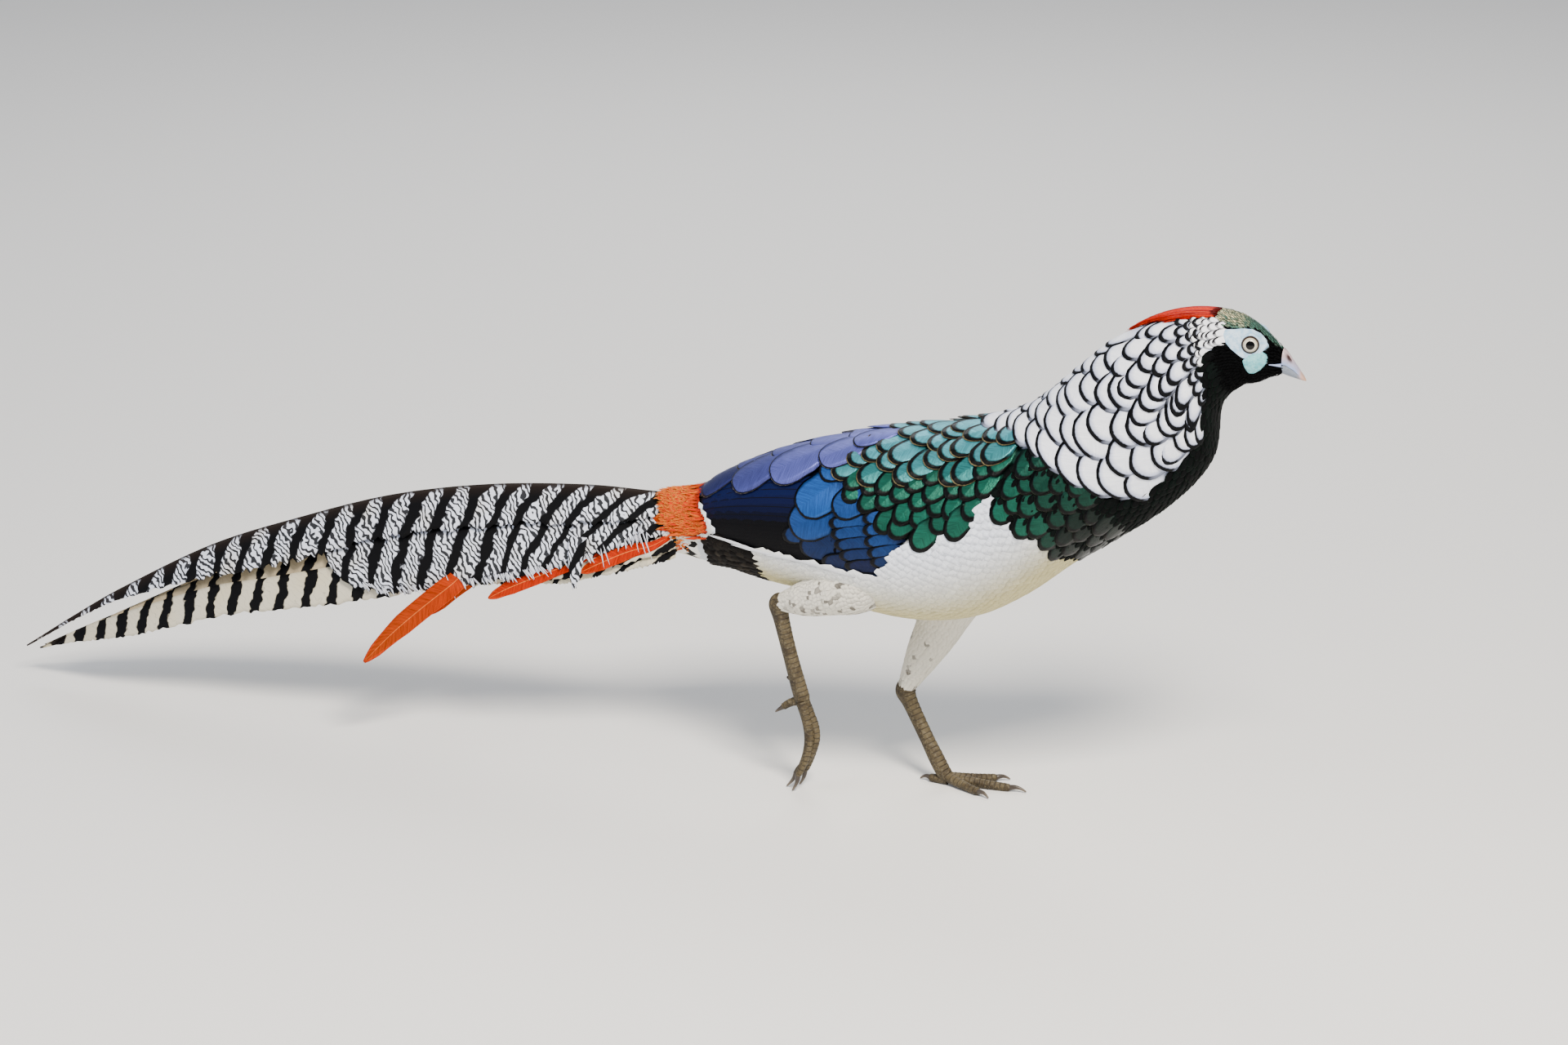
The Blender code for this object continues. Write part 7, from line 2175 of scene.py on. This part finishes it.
    def build(self) -> None:
        """Make shank, foot and claws."""
        skin, horn = self.skin_finish(), self.horn_finish()
        route = np.array(self.shanks[self.word])
        name = f"shank_{self.word}_skin"
        shank = self.limb(name, route, (1.0, 0.0, 0.2), self.scute, skin, columns=40, deep=1.1)
        x, y, z, _ = route[5]
        spur = np.array([(x, y, z + 6.0 * MM, 0.0031), (x - 4.0 * MM, y, z + 6.1 * MM, 0.0026),
                         (x - 7.4 * MM, y, z + 6.6 * MM, 0.0019), (x - 10.4 * MM, y, z + 7.8 * MM, 0.0008)])
        shank = join([shank, self.limb("spur", spur, (0.0, 0.0, 1.0), 0.0, skin, columns=16, blunt=0.1)])
        report(shank, "leg_skin", f"shank_{self.word}")
        toes = self.toes()
        made = []
        for label, (path, way) in toes.items():
            name, dorsal = f"toe_{label}", self.dorsal(label)
            made.append(self.limb(name, path, dorsal, self.toe_scute, skin, columns=24, blunt=0.09))
        report(join(made), "leg_skin", f"foot_{self.word}").name = f"foot_{self.word}_skin"
        for label, (path, way) in toes.items():
            report(self.claw(label, path, way, horn), "claw_horn", f"claw_{self.word}_{label}")


# Studio.
@dataclass(frozen=True)
class Studio:
    """Pale floor, soft lights and the camera at the photograph's viewing angle."""

    aim = (0.1271, 0.0, 0.2094)
    azimuth: float = 20.0
    elevation: float = 18.0
    distance: float = 4.5
    lens: float = 130.8
    sensor: float = 36.0
    floor_size: float = 14.0
    sky: str = "#dfe6f2"
    sky_strength: float = 0.5
    # Name, place, size in metres, power in watts and colour.
    lights = (
        ("key", (1.3, -1.5, 2.4), 0.8, 165.0, "#fff6ea"),
        ("fill", (-1.8, -1.6, 1.4), 1.8, 22.0, "#e8efff"),
        ("rim", (-0.4, 2.0, 1.8), 1.4, 26.0, "#ffffff"),
    )

    def floor(self) -> None:
        """Add the floor."""
        bpy.ops.mesh.primitive_plane_add(size=self.floor_size, location=(0.0, 0.0, 0.0))
        floor = bpy.context.object
        floor.name = "floor"
        material, t = new_material("pale matt floor")
        close(t, "#f3f2ef", 0.8)
        floor.data.materials.append(material)

    def light(self, name: str, place: tuple, size: float, power: float, colour: str) -> None:
        """Add a square area light that faces the bird."""
        lamp = bpy.data.lights.new(name, "AREA")
        lamp.shape, lamp.size, lamp.energy = "SQUARE", size, power
        lamp.color = linear(colour)[:3]
        obj = link(name, lamp)
        obj.location = place
        obj.rotation_euler = (Vector(self.aim) - Vector(place)).to_track_quat("-Z", "Y").to_euler()

    def camera(self) -> None:
        """Add the camera."""
        azimuth, elevation = math.radians(self.azimuth), math.radians(self.elevation)
        level = math.cos(elevation)
        back = Vector((math.sin(azimuth) * level, -math.cos(azimuth) * level, math.sin(elevation)))
        data = bpy.data.cameras.new("camera")
        data.lens, data.sensor_width = self.lens, self.sensor
        camera = link("camera", data)
        camera.location = Vector(self.aim) + back * self.distance
        camera.rotation_euler = (-back).to_track_quat("-Z", "Y").to_euler()
        bpy.context.scene.camera = camera

    def build(self) -> None:
        """Set up floor, sky, lights and camera."""
        self.floor()
        world = bpy.data.worlds.new("studio")
        world.use_nodes = True
        sky = world.node_tree.nodes["Background"].inputs
        sky["Color"].default_value = linear(self.sky)
        sky["Strength"].default_value = self.sky_strength
        bpy.context.scene.world = world
        for row in self.lights:
            self.light(*row)
        self.camera()


def main() -> None:
    """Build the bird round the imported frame."""
    logging.basicConfig(level=logging.INFO, format="%(name)s: %(message)s")
    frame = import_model()
    LOG.info("frame has %d nodes", len(frame["nodes"]))
    Studio().build()
    bpy.ops.object.select_all(action="DESELECT")
    Skin().build()
    Coat().build()
    for word in SIDES:
        Wing(word).build()
    Tail().build()
    Rump().build()
    Crest().build()
    Head().build()
    for word in SIDES:
        Leg(word).build()
    bpy.context.view_layer.update()


if __name__ == "__main__":
    main()
